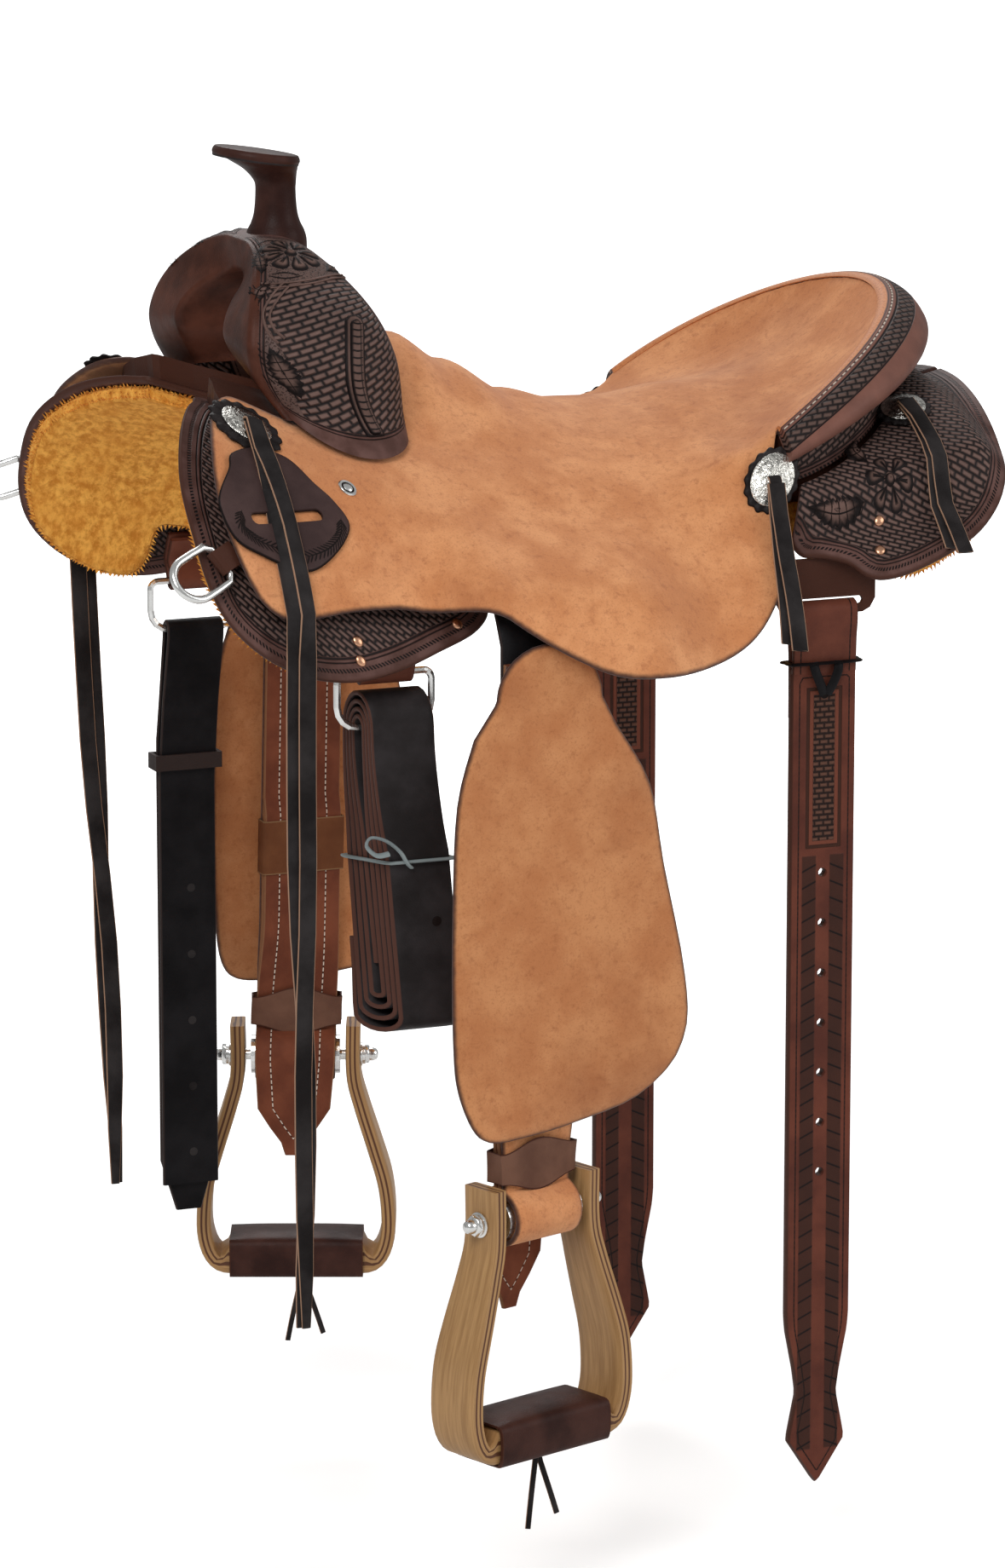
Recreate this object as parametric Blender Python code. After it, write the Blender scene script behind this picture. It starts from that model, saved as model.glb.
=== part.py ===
# Cow horse saddle, western stock type, modelled as its separate pieces.
# Frame: metres, +Z up, -X towards the horse's head, -Y the near (left) side.
# The origin lies on the ridge of the horse's back, near the lowest point of the seat.
import math

import bmesh
import bpy
from mathutils import Matrix, Vector
from mathutils.geometry import delaunay_2d_cdt

# Clearance between flat neighbours, and between curved layers laid on each other
GAP = 0.0004
LAYER_GAP = 0.0007

# The horse's back: a barrel whose radius grows behind the withers
BARREL_RADIUS = 0.225
BARREL_WIDENING = 0.28
WIDENING_START_X = -0.20
RIDGE_LOW_Z = -0.002
RIDGE_LOW_X = 0.10
RIDGE_ROCK = 0.49
BARREL_WRAP = math.radians(72)

# Leather and lining thicknesses
FLEECE = 0.012
SKIRT_LEATHER = 0.005
SEAT_LEATHER = 0.0042
STRAP_LEATHER = 0.004
FENDER_LEATHER = 0.004
ROSETTE_LEATHER = 0.0028
STRING_THICKNESS = 0.0024
STRING_WIDTH = 0.013

# Tree
BAR_THICKNESS = 0.018
BAR_INNER = 0.050
BAR_OUTER = 0.145
BAR_FRONT_X = -0.250
BAR_REAR_X = 0.300
FORK_TOP_Z = 0.182
FORK_HALF_WIDTH = 0.130
FORK_FOOT_HALF_WIDTH = 0.145
GULLET_TOP_Z = 0.152
GULLET_HALF_WIDTH = 0.052
COVER_LEATHER = 0.004

# Horn
HORN_BASE = (-0.172, 0.181)
HORN_CAP_CENTRE = (-0.190, 0.236)
HORN_NECK_RADIUS = 0.0112
HORN_WRAP = 0.0036
HORN_CAP_RADIUS = 0.0315
HORN_CAP_THICKNESS = 0.0072
HORN_CAP_TILT = math.radians(8.5)

# Seat and cantle
SEAT_FRONT_X = -0.116
SEAT_CROWN_HALF = 0.115
CANTLE_X = 0.136
CANTLE_RADIUS = 0.152
CANTLE_END_Z = 0.026
CANTLE_RISE = 0.097
CANTLE_SWEEP = math.radians(84)
ROLL_WIDTH = 0.036
ROLL_END_WIDTH = 0.010
POCKET_LIFT = 0.031

# Hanging leathers: the fender, the two strap legs and the tail, from outside in
FENDER_FACE_Y = 0.2535
FENDER_GAP = 0.0018
SWING_X = -0.0660
SWING_Z = -0.1250
STRAP_WIDTH = 0.062
STRAP_LEAN = 0.025
FENDER_TOP_RADIUS = 0.040
BUCKLE_TOP_Z = -0.308
BUCKLE_HEIGHT = 0.042
BUCKLE_WALL = 0.0010
HOBBLE_TOP_Z = -0.4445
HOBBLE_HEIGHT = 0.030
HOBBLE_WALL = 0.003
TAIL_END_Z = -0.572

# Stirrups
BOLT_Z = -0.497
BOLT_RADIUS = 0.0045
LOOP_RADIUS = 0.0177
STIRRUP_HALF_WIDTH = 0.0775
STIRRUP_NECK_HALF = 0.0505
STIRRUP_DEPTH = 0.045
STIRRUP_WALL = 0.011
STIRRUP_RISE = 0.026
STIRRUP_DROP = 0.171
STIRRUP_SOLE = 0.024
TREAD_LEATHER = 0.0026
TREAD_HALF = 0.052
TWIST = {"near": math.radians(20), "off": math.radians(22)}
TWIST_TOP_Z = -0.385
TWIST_END_Z = -0.468

# Front rigging with the latigo on the near side and the billet on the off side
RIG_X = -0.170
RIG_Y = 0.200
RIG_DEE_Z = -0.1262
RIG_DEE_WIDTH = 0.076
RIG_DEE_HEIGHT = 0.0428
RIG_WIRE = 0.0027
RIG_STRAP_WIDTH = 0.040
LATIGO_WIDTH = 0.047
LATIGO_THICKNESS = 0.0034
LATIGO_LAYERS = 8
LATIGO_FIRST = 0.0078
LATIGO_PITCH = 0.0046
LATIGO_TIE_FIRST = 0.0024
LATIGO_TIE_PITCH = 0.0043
LATIGO_TIE_Z = -0.240
LATIGO_BOTTOM_Z = -0.368
BILLET_WIDTH = 0.0445
BILLET_END_Z = -0.600

# Rear rigging and flank billets
FLANK_X = 0.1755
FLANK_Y = 0.1815
FLANK_SLOT_Z = -0.0840
FLANK_WIDTH = 0.0508
FLANK_END_Z = -0.747
FLANK_PLATE_TOP = -0.0517
SLOT_HEIGHT = 0.0062
SLOT_BAR = 0.0058
PLATE_THICKNESS = 0.003
HOLE_RADIUS = 0.0031
HOLE_PITCH = 0.0375

# Breast collar dees and saddle strings
BREAST_DEE_HALF = 0.0155
BREAST_WIRE = 0.0025
BREAST_X = -0.2945
BREAST_T = 0.228
BREAST_TURN = math.radians(40)
STRING_X = -0.235
STRING_T = 0.198
STRING_END_Z = -0.575

SIDES = (("near", -1), ("off", 1))

materials = {}


def clear_scene():
    for item in list(bpy.data.objects):
        bpy.data.objects.remove(item, do_unlink=True)


def material(name, colour, roughness, metallic=0.0):
    made = bpy.data.materials.new(name)
    made.use_nodes = True
    shader = made.node_tree.nodes["Principled BSDF"]
    shader.inputs["Base Color"].default_value = (*colour, 1.0)
    shader.inputs["Roughness"].default_value = roughness
    shader.inputs["Metallic"].default_value = metallic
    made.diffuse_color = (*colour, 1.0)
    materials[name] = made


def make_materials():
    material("roughout_tan", (0.51, 0.21, 0.085), 0.95)
    material("tooled_leather", (0.05, 0.032, 0.03), 0.55)
    material("smooth_leather", (0.13, 0.045, 0.026), 0.42)
    material("black_leather", (0.012, 0.010, 0.010), 0.5)
    material("latigo_leather", (0.032, 0.026, 0.026), 0.55)
    material("string_leather", (0.045, 0.042, 0.042), 0.6)
    material("fleece", (0.55, 0.22, 0.03), 1.0)
    material("tree_wood", (0.45, 0.30, 0.16), 0.7)
    material("stirrup_wood", (0.40, 0.24, 0.09), 0.45)
    material("steel", (0.72, 0.72, 0.70), 0.25, 1.0)
    material("silver", (0.80, 0.78, 0.74), 0.3, 1.0)
    material("tie_grey", (0.22, 0.26, 0.26), 0.5)


# Small helpers for numbers

def smooth(value):
    value = min(max(value, 0.0), 1.0)
    return value * value * (3 - 2 * value)


def lerp(a, b, share):
    return a + (b - a) * share


def along(table, value):
    """Smooth curve through a short table of (place, size) pairs."""
    if value <= table[0][0]:
        return table[0][1]
    for (a, low), (b, high) in zip(table, table[1:]):
        if value <= b:
            return lerp(low, high, smooth((value - a) / (b - a)))
    return table[-1][1]


def round_curve(points, steps=4, closed=True):
    """Catmull-Rom curve through the points."""
    count = len(points)
    made = []
    last = count if closed else count - 1
    for i in range(last):
        if closed:
            p = [points[(i + k) % count] for k in (-1, 0, 1, 2)]
        else:
            p = [points[min(max(i + k, 0), count - 1)] for k in (-1, 0, 1, 2)]
        for k in range(steps):
            s = k / steps
            made.append(
                tuple(
                    0.5
                    * (
                        2 * b
                        + (c - a) * s
                        + (2 * a - 5 * b + 4 * c - d) * s * s
                        + (3 * b - a - 3 * c + d) * s ** 3
                    )
                    for a, b, c, d in zip(*p)
                )
            )
    if not closed:
        made.append(tuple(points[-1]))
    return made


def circle(centre, radius, count, start=0.0):
    return [
        (
            centre[0] + radius * math.cos(start + 2 * math.pi * i / count),
            centre[1] + radius * math.sin(start + 2 * math.pi * i / count),
        )
        for i in range(count)
    ]


def slot(centre, length, width, count=4):
    """A round-ended slot along the first axis."""
    made = []
    half = length / 2 - width / 2
    for i in range(count + 1):
        angle = -math.pi / 2 + math.pi * i / count
        made.append((centre[0] + half + width / 2 * math.cos(angle), centre[1] + width / 2 * math.sin(angle)))
    for i in range(count + 1):
        angle = math.pi / 2 + math.pi * i / count
        made.append((centre[0] - half + width / 2 * math.cos(angle), centre[1] + width / 2 * math.sin(angle)))
    return made


# The surface of the horse's back and what lies on it

def barrel_radius(x):
    return BARREL_RADIUS + BARREL_WIDENING * max(0.0, x - WIDENING_START_X) ** 2


def ridge_z(x):
    return RIDGE_LOW_Z + RIDGE_ROCK * (x - RIDGE_LOW_X) ** 2


def skin(x, t, lift):
    """Point at arc length t from the ridge (signed, off side positive), lifted along the normal."""
    radius = barrel_radius(x)
    angle = min(abs(t) / radius, BARREL_WRAP)
    rest = abs(t) - radius * angle
    y = (radius + lift) * math.sin(angle) + rest * math.cos(BARREL_WRAP)
    z = ridge_z(x) - radius + (radius + lift) * math.cos(angle) - rest * math.sin(BARREL_WRAP)
    return Vector((x, math.copysign(y, t), z))


def skin_normal(x, t):
    angle = min(abs(t) / barrel_radius(x), BARREL_WRAP)
    return Vector((0, math.copysign(math.sin(angle), t), math.cos(angle)))


def arc_of(x, y, lift):
    """Arc length at which the lifted surface has the width y."""
    radius = barrel_radius(x)
    return math.copysign(radius * math.asin(min(abs(y) / (radius + lift), 0.95)), y)


SKIRT_LOW = FLEECE + LAYER_GAP
SKIRT_TOP = SKIRT_LOW + SKIRT_LEATHER
BAR_BOTTOM = SKIRT_TOP + LAYER_GAP
BAR_TOP = BAR_BOTTOM + BAR_THICKNESS
SEAT_LOW = BAR_TOP + LAYER_GAP
SEAT_TOP = SEAT_LOW + SEAT_LEATHER
LOBE_TOP = 0.034


def rim_z(angle):
    return CANTLE_END_Z + CANTLE_RISE * max(math.cos(angle), 0.0) ** 0.9


SEAT_LINE = ((-0.125, 0.121), (-0.09, 0.103), (-0.05, 0.081), (0.0, 0.056), (0.045, 0.046), (0.09, 0.045), (0.136, 0.052))


def seat_raise(x, y):
    """How far the seat rises above the jockey surface."""
    jockey = skin(x, 0.0, SEAT_TOP).z
    crown = max(1 - (abs(y) / SEAT_CROWN_HALF) ** 2, 0.0) ** 2
    middle = (along(SEAT_LINE, min(x, CANTLE_X)) - skin(min(x, CANTLE_X), 0.0, SEAT_TOP).z) * crown
    behind = max(x - CANTLE_X, 0.0)
    reach = math.hypot(behind, y) / CANTLE_RADIUS
    if behind > 0:
        middle *= max(1 - reach * reach, 0.0)
    angle = math.atan2(abs(y), behind) if reach > 0 else 0.0
    edge = Vector((CANTLE_X + CANTLE_RADIUS * math.cos(angle), CANTLE_RADIUS * math.sin(angle)))
    edge_arc = arc_of(edge.x, edge.y, SEAT_TOP)
    lift = rim_z(angle) - skin(edge.x, edge_arc, SEAT_TOP).z
    ahead = smooth((x - 0.055) / (CANTLE_X - 0.055))
    outside = 1 - smooth((reach - 1.0) * CANTLE_RADIUS / 0.028)
    return middle + lift * min(reach, 1.0) ** 3 * ahead * outside


def pocket(x, t):
    """Bulge of the jockey over the stirrup leathers."""
    along_x = smooth((x + 0.150) / 0.055) * (1 - smooth((x - 0.000) / 0.085))
    return POCKET_LIFT * along_x * smooth((abs(t) - 0.145) / 0.085)


def jockey_lift(x, t):
    low = smooth((abs(t) - 0.150) / 0.060)
    return lerp(SEAT_TOP, LOBE_TOP, low) + pocket(x, t)


def seat_point(x, t, depth=0.0):
    """Point of the seat and jockeys, depth below their top face."""
    point = skin(x, t, jockey_lift(x, t) - depth)
    point.z += seat_raise(x, point.y)
    return point


def seat_height(x, y):
    """Height of the seat's top face above the point (x, y) of the plan."""
    arc = arc_of(x, y, SEAT_TOP)
    return seat_point(x, arc).z


# Mesh makers

def finish(name, bm, finish_name, body=None, smooth_angle=35):
    bmesh.ops.remove_doubles(bm, verts=bm.verts, dist=1e-6)
    bmesh.ops.recalc_face_normals(bm, faces=bm.faces)
    mesh = bpy.data.meshes.new(name)
    bm.to_mesh(mesh)
    bm.free()
    mesh.shade_smooth()
    mesh.set_sharp_from_angle(angle=math.radians(smooth_angle))
    mesh.materials.append(materials[finish_name])
    made = bpy.data.objects.new(name, mesh)
    bpy.context.scene.collection.objects.link(made)
    if body is not None:
        made.parent = body
        made.matrix_parent_inverse = body.matrix_world.inverted()
    return made


def pivot(name, place, direction=(1, 0, 0)):
    """Empty on a joint's axis, its X axis along the joint."""
    made = bpy.data.objects.new(name, None)
    made.empty_display_size = 0.03
    turn = Vector((1, 0, 0)).rotation_difference(Vector(direction))
    made.matrix_world = Matrix.Translation(place) @ turn.to_matrix().to_4x4()
    bpy.context.scene.collection.objects.link(made)
    bpy.context.view_layer.update()
    return made


def inside(point, loops):
    x, y = point
    crossings = 0
    for loop in loops:
        for (ax, ay), (bx, by) in zip(loop, loop[1:] + loop[:1]):
            if (ay > y) != (by > y) and x < (bx - ax) * (y - ay) / (by - ay) + ax:
                crossings += 1
    return crossings % 2 == 1


def edge_distance(point, loops):
    best = 1.0
    p = Vector(point)
    for loop in loops:
        for a, b in zip(loop, loop[1:] + loop[:1]):
            a, b = Vector(a), Vector(b)
            side = b - a
            share = min(max((p - a).dot(side) / max(side.length_squared, 1e-12), 0), 1)
            best = min(best, (a + side * share - p).length)
    return best


def fill(loops, spacing):
    """Triangles between an outline and its holes, with inner points at the given spacing."""
    points = []
    edges = []
    for loop in loops:
        first = len(points)
        points += loop
        edges += [(first + i, first + (i + 1) % len(loop)) for i in range(len(loop))]
    if spacing:
        low = [min(p[k] for p in loops[0]) for k in (0, 1)]
        high = [max(p[k] for p in loops[0]) for k in (0, 1)]
        counts = [max(1, round((high[k] - low[k]) / spacing[k])) for k in (0, 1)]
        for i in range(1, counts[0]):
            for j in range(1, counts[1]):
                spot = (
                    lerp(low[0], high[0], i / counts[0]),
                    lerp(low[1], high[1], j / counts[1]),
                )
                if inside(spot, loops) and edge_distance(spot, loops) > 0.4 * min(spacing):
                    points.append(spot)
    out = delaunay_2d_cdt([Vector(p) for p in points], edges, [], 0, 1e-7)
    places, faces = out[0], out[2]
    kept = []
    for face in faces:
        middle = sum((places[i] for i in face), Vector((0, 0))) / len(face)
        if inside(middle, loops):
            kept.append(list(face))
    return places, kept


def sheet(name, loops, top, bottom, finish_name, spacing=None, body=None):
    """Closed sheet over a flat outline; top and bottom place its points in space."""
    places, faces = fill(loops, spacing)
    bm = bmesh.new()
    used = sorted({i for face in faces for i in face})
    upper = {i: bm.verts.new(top(*places[i])) for i in used}
    lower = {i: bm.verts.new(bottom(*places[i])) for i in used}
    count = {}
    for face in faces:
        bm.faces.new([upper[i] for i in face])
        bm.faces.new([lower[i] for i in reversed(face)])
        for a, b in zip(face, face[1:] + face[:1]):
            count[(a, b)] = True
    for a, b in count:
        if (b, a) not in count:
            bm.faces.new([upper[b], upper[a], lower[a], lower[b]])
    return finish(name, bm, finish_name, body)


def on_skin(name, loops, low, high, finish_name, side, spacing=(0.045, 0.018), body=None):
    """Leather laid on the horse's back between two lifts."""
    def lift(value, x, t):
        return value(x, t) if callable(value) else value

    return sheet(
        name,
        loops,
        lambda x, t: skin(x, side * t, lift(high, x, t)),
        lambda x, t: skin(x, side * t, lift(low, x, t)),
        finish_name,
        spacing,
        body,
    )


def plate(name, loops, outer_y, thickness, finish_name, side, body=None, spacing=None, bend=None):
    """Flat leather in a plane of constant y; outlines are in x and z."""
    bend = bend or (lambda p: p)
    return sheet(
        name,
        loops,
        lambda x, z: bend(Vector((x, side * outer_y, z))),
        lambda x, z: bend(Vector((x, side * (outer_y - thickness), z))),
        finish_name,
        spacing,
        body,
    )


def loft(name, sections, finish_name, closed=False, body=None, smooth_angle=35):
    """Skin over equal closed sections, capped at both ends unless closed."""
    bm = bmesh.new()
    rings = [[bm.verts.new(p) for p in section] for section in sections]
    pairs = list(zip(rings, rings[1:]))
    if closed:
        pairs.append((rings[-1], rings[0]))
    for first, second in pairs:
        for i in range(len(first)):
            j = (i + 1) % len(first)
            bm.faces.new([first[i], first[j], second[j], second[i]])
    if not closed:
        bm.faces.new(list(reversed(rings[0])))
        bm.faces.new(rings[-1])
        bmesh.ops.triangulate(bm, faces=[f for f in bm.faces if len(f.verts) > 4], ngon_method="EAR_CLIP")
    return finish(name, bm, finish_name, body, smooth_angle)


def revolve(name, profile, origin, direction, finish_name, sides=20, body=None):
    """Turned piece; the profile is (radius, height) along the direction, both ends on the axis or a ring."""
    turn = Vector((0, 0, 1)).rotation_difference(Vector(direction)).to_matrix()
    bm = bmesh.new()
    rings = []
    for radius, height in profile:
        if radius == 0:
            rings.append([bm.verts.new(Vector(origin) + turn @ Vector((0, 0, height)))])
            continue
        ring = []
        for i in range(sides):
            angle = 2 * math.pi * i / sides
            spot = Vector((radius * math.cos(angle), radius * math.sin(angle), height))
            ring.append(bm.verts.new(Vector(origin) + turn @ spot))
        rings.append(ring)
    whole = profile[0][0] == 0 and profile[-1][0] == 0
    pairs = list(zip(rings, rings[1:]))
    if not whole:
        pairs.append((rings[-1], rings[0]))
    for first, second in pairs:
        for i in range(sides):
            j = (i + 1) % sides
            if len(first) == 1:
                bm.faces.new([first[0], second[i], second[j]])
            elif len(second) == 1:
                bm.faces.new([first[i], first[j], second[0]])
            else:
                bm.faces.new([first[i], first[j], second[j], second[i]])
    return finish(name, bm, finish_name, body)


def offset_path(path, distance):
    """The open path moved sideways by a distance, mitred at its corners."""
    made = []
    for i, point in enumerate(path):
        before = Vector(path[max(i - 1, 0)])
        after = Vector(path[min(i + 1, len(path) - 1)])
        here = Vector(point)
        first = (here - before).normalized() if i > 0 else (after - here).normalized()
        second = (after - here).normalized() if i < len(path) - 1 else first
        normal = Vector((-(first.y + second.y), first.x + second.x)).normalized()
        share = max(normal.dot(Vector((-first.y, first.x))), 0.5)
        made.append(tuple(here + normal * distance / share))
    return made


def strip(name, sections, finish_name, body=None):
    """Strap through equal sections; each lists one face from end to end, then the other face back."""
    bm = bmesh.new()
    rings = [[bm.verts.new(p) for p in section] for section in sections]
    total = len(rings[0])
    for first, second in zip(rings, rings[1:]):
        for i in range(total):
            j = (i + 1) % total
            bm.faces.new([first[i], first[j], second[j], second[i]])
    for ring in (rings[0], rings[-1]):
        for i in range(total // 2 - 1):
            bm.faces.new([ring[i], ring[i + 1], ring[total - 2 - i], ring[total - 1 - i]])
    return finish(name, bm, finish_name, body)


def ribbon(name, path, thickness, x0, x1, finish_name, side, body=None, bend=None):
    """Strap that follows a path in y and z, as wide as x0 to x1."""
    bend = bend or (lambda p: p)
    outline = offset_path(path, thickness / 2) + offset_path(path, -thickness / 2)[::-1]
    sections = [[bend(Vector((x, side * y, z))) for y, z in outline] for x in (x0, x1)]
    return strip(name, sections, finish_name, body)


def ring_sweep(name, path, across, section, finish_name, body=None):
    """Closed sweep of a small section round a flat loop; across is the loop's normal."""
    across = Vector(across).normalized()
    count = len(path)
    sections = []
    for i in range(count):
        before, here, after = Vector(path[i - 1]), Vector(path[i]), Vector(path[(i + 1) % count])
        tangent = (after - before).normalized()
        outward = tangent.cross(across).normalized()
        sections.append([here + outward * a + across * b for a, b in section])
    return loft(name, sections, finish_name, closed=True, body=body, smooth_angle=50)


def round_section(radius, sides=8):
    return [
        (radius * math.cos(2 * math.pi * i / sides), radius * math.sin(2 * math.pi * i / sides))
        for i in range(sides)
    ]


# Tree: two bars, fork, horn and cantle

def tree_bar(label, side):
    outline = round_curve(
        [
            (BAR_FRONT_X, BAR_INNER + 0.012),
            (BAR_FRONT_X + 0.03, BAR_INNER),
            (0.0, BAR_INNER + 0.012),
            (BAR_REAR_X - 0.03, BAR_INNER),
            (BAR_REAR_X, BAR_INNER + 0.02),
            (BAR_REAR_X, BAR_OUTER - 0.03),
            (BAR_REAR_X - 0.05, BAR_OUTER - 0.008),
            (0.15, BAR_OUTER - 0.012),
            (0.0, BAR_OUTER - 0.03),
            (-0.12, BAR_OUTER - 0.012),
            (BAR_FRONT_X + 0.05, BAR_OUTER - 0.008),
            (BAR_FRONT_X, BAR_OUTER - 0.03),
        ],
        3,
    )
    on_skin(f"{label}_tree_bar", [outline], BAR_BOTTOM, BAR_TOP, "tree_wood", side)


FORK_PROFILE = (
    (0.0, 1.0),
    (0.030, 0.993),
    (0.062, 0.930),
    (0.091, 0.812),
    (0.114, 0.646),
    (0.127, 0.458),
    (0.130, 0.278),
    (0.134, 0.130),
    (0.145, 0.0),
)
FORK_FRONT = ((0.0, -0.214), (0.25, -0.232), (0.45, -0.236), (0.75, -0.226), (1.0, -0.207))
FORK_REAR = ((0.0, -0.116), (0.25, -0.117), (0.45, -0.121), (0.70, -0.131), (1.0, -0.150))


def fork_point(s, u, inset=0.0):
    """Outer face of the fork; s runs from the near foot to the off foot, u from front to rear."""
    half = len(FORK_PROFILE) - 1
    index = abs(s)
    side = math.copysign(1, s)
    low = min(int(index), half - 1)
    share = index - low
    width = lerp(FORK_PROFILE[low][0], FORK_PROFILE[low + 1][0], share)
    height = lerp(FORK_PROFILE[low][1], FORK_PROFILE[low + 1][1], share)
    waist = lerp(0.72, 1.0, max(1 - (2 * u - 1) ** 2, 0.0) ** 0.55)
    y = width * lerp(waist, 1.0, 0.35 * height) * FORK_HALF_WIDTH / 0.130
    x = lerp(along(FORK_FRONT, height), along(FORK_REAR, height), u)
    foot_y = FORK_FOOT_HALF_WIDTH * waist
    foot_x = lerp(FORK_FRONT[0][1], FORK_REAR[0][1], u)
    foot = seat_height(foot_x, foot_y) + COVER_LEATHER + 0.0014
    top = FORK_TOP_Z - 0.010 * (2 * u - 0.8) ** 2 - 0.006 * u
    return Vector((x, side * y, lerp(foot, top, height)))


def fork_grid(inset, rows, columns, first=0.0, last=1.0):
    """Points of the outer face moved inwards along its normal."""
    span = len(FORK_PROFILE) - 1
    grid = []
    step = 0.02
    for i in range(columns + 1):
        u = lerp(first, last, i / columns)
        line = []
        for j in range(rows + 1):
            s = lerp(-span, span, j / rows)
            here = fork_point(s, u)
            if inset:
                du = fork_point(s, min(u + step, 1)) - fork_point(s, max(u - step, 0))
                ds = fork_point(min(s + 0.3, span), u) - fork_point(max(s - 0.3, -span), u)
                normal = ds.cross(du).normalized()
                if normal.dot(here - Vector((-0.18, 0, 0.06))) < 0:
                    normal = -normal
                here = here - normal * inset
            line.append(here)
        grid.append(line)
    return grid


def swell_cover():
    """Tooled leather over the fork, open in front, below and round the horn."""
    rows, columns = 28, 8
    outer = fork_grid(0.0, rows, columns)
    inner = fork_grid(COVER_LEATHER, rows, columns)
    bm = bmesh.new()
    top = [[bm.verts.new(p) for p in line] for line in outer]
    low = [[bm.verts.new(p) for p in line] for line in inner]
    for i in range(columns):
        for j in range(rows):
            bm.faces.new([top[i][j], top[i][j + 1], top[i + 1][j + 1], top[i + 1][j]])
            bm.faces.new([low[i][j], low[i + 1][j], low[i + 1][j + 1], low[i][j + 1]])
    for i in range(columns):
        for j in (0, rows):
            bm.faces.new([top[i][j], top[i + 1][j], low[i + 1][j], low[i][j]])
    for j in range(rows):
        for i in (0, columns):
            bm.faces.new([top[i][j], top[i][j + 1], low[i][j + 1], low[i][j]])
    made = finish("swell_cover", bm, "tooled_leather")
    cut = cutter(HORN_BASE_RADIUS + 0.0012, HORN_BASE[0], FORK_TOP_Z)
    hole = made.modifiers.new("horn_hole", "BOOLEAN")
    hole.operation = "DIFFERENCE"
    hole.object = cut


HORN_BASE_RADIUS = 0.0225


def cutter(radius, x, z):
    bm = bmesh.new()
    bmesh.ops.create_cone(
        bm, cap_ends=True, segments=20, radius1=radius, radius2=radius, depth=0.05,
        matrix=Matrix.Translation((x, 0, z)),
    )
    mesh = bpy.data.meshes.new("horn_cut")
    bm.to_mesh(mesh)
    bm.free()
    made = bpy.data.objects.new("horn_cut", mesh)
    made.hide_render = True
    made.display_type = "WIRE"
    bpy.context.scene.collection.objects.link(made)
    return made


def gullet_profile(height_share, foot_z):
    """Half width of the gullet at a share of its height."""
    return GULLET_HALF_WIDTH * math.sqrt(max(1 - height_share ** 3, 0.0)) + 0.016 * (1 - smooth(height_share / 0.4))


def tree_fork():
    """Wooden fork: an arch between the bars, under the swell cover."""
    rows, columns = 28, 5
    outer = fork_grid(COVER_LEATHER + 0.0038, rows, columns, 0.05, 0.84)
    sections = []
    for i, line in enumerate(outer):
        trimmed = line[4:-4]
        x_foot = line[4].x
        foot_y = abs(line[4].y)
        section = [Vector(p) for p in trimmed]
        inner_y = BAR_INNER + 0.010
        bar = skin(x_foot, arc_of(x_foot, foot_y - 0.014, BAR_TOP), BAR_TOP + 2 * LAYER_GAP)
        bar_in = skin(x_foot, arc_of(x_foot, inner_y + 0.006, BAR_TOP), BAR_TOP + 2 * LAYER_GAP)
        off_foot = [Vector((x_foot, bar.y, bar.z)), Vector((x_foot, bar_in.y, bar_in.z))]
        arch = []
        for k in range(9):
            share = 1 - abs(k / 4 - 1)
            share = math.sin(share * math.pi / 2)
            width = gullet_profile(share, bar_in.z)
            height = lerp(bar_in.z + 0.004, GULLET_TOP_Z, share)
            x = lerp(x_foot, line[rows // 2].x, share)
            arch.append(Vector((x, width * (1 if k < 4 else -1 if k > 4 else 0), height)))
        near_foot = [Vector((p.x, -p.y, p.z)) for p in reversed(off_foot)]
        sections.append(section + off_foot + arch + near_foot)
    loft("tree_fork", sections, "tree_wood")


def horn_spot(share):
    """Centre and axis of the horn at a share of its height; it leans forward, the cap tilts back."""
    base = Vector((HORN_BASE[0], 0, HORN_BASE[1]))
    top = Vector((HORN_CAP_CENTRE[0], 0, HORN_CAP_CENTRE[1]))
    tilt = math.radians(-20) * math.sin(math.pi * min(share, 0.98) / 1.1)
    tilt = lerp(tilt, HORN_CAP_TILT, smooth((share - 0.55) / 0.40))
    return base.lerp(top, share), Vector((math.sin(tilt), 0, math.cos(tilt)))


def horn_loops(profile, sides=20):
    loops = []
    for share, radius in profile:
        centre, axis = horn_spot(share)
        across = Vector((axis.z, 0, -axis.x))
        loops.append([
            centre + across * radius * math.cos(2 * math.pi * i / sides)
            + Vector((0, 1, 0)) * radius * math.sin(2 * math.pi * i / sides)
            for i in range(sides)
        ])
    return loops


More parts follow.
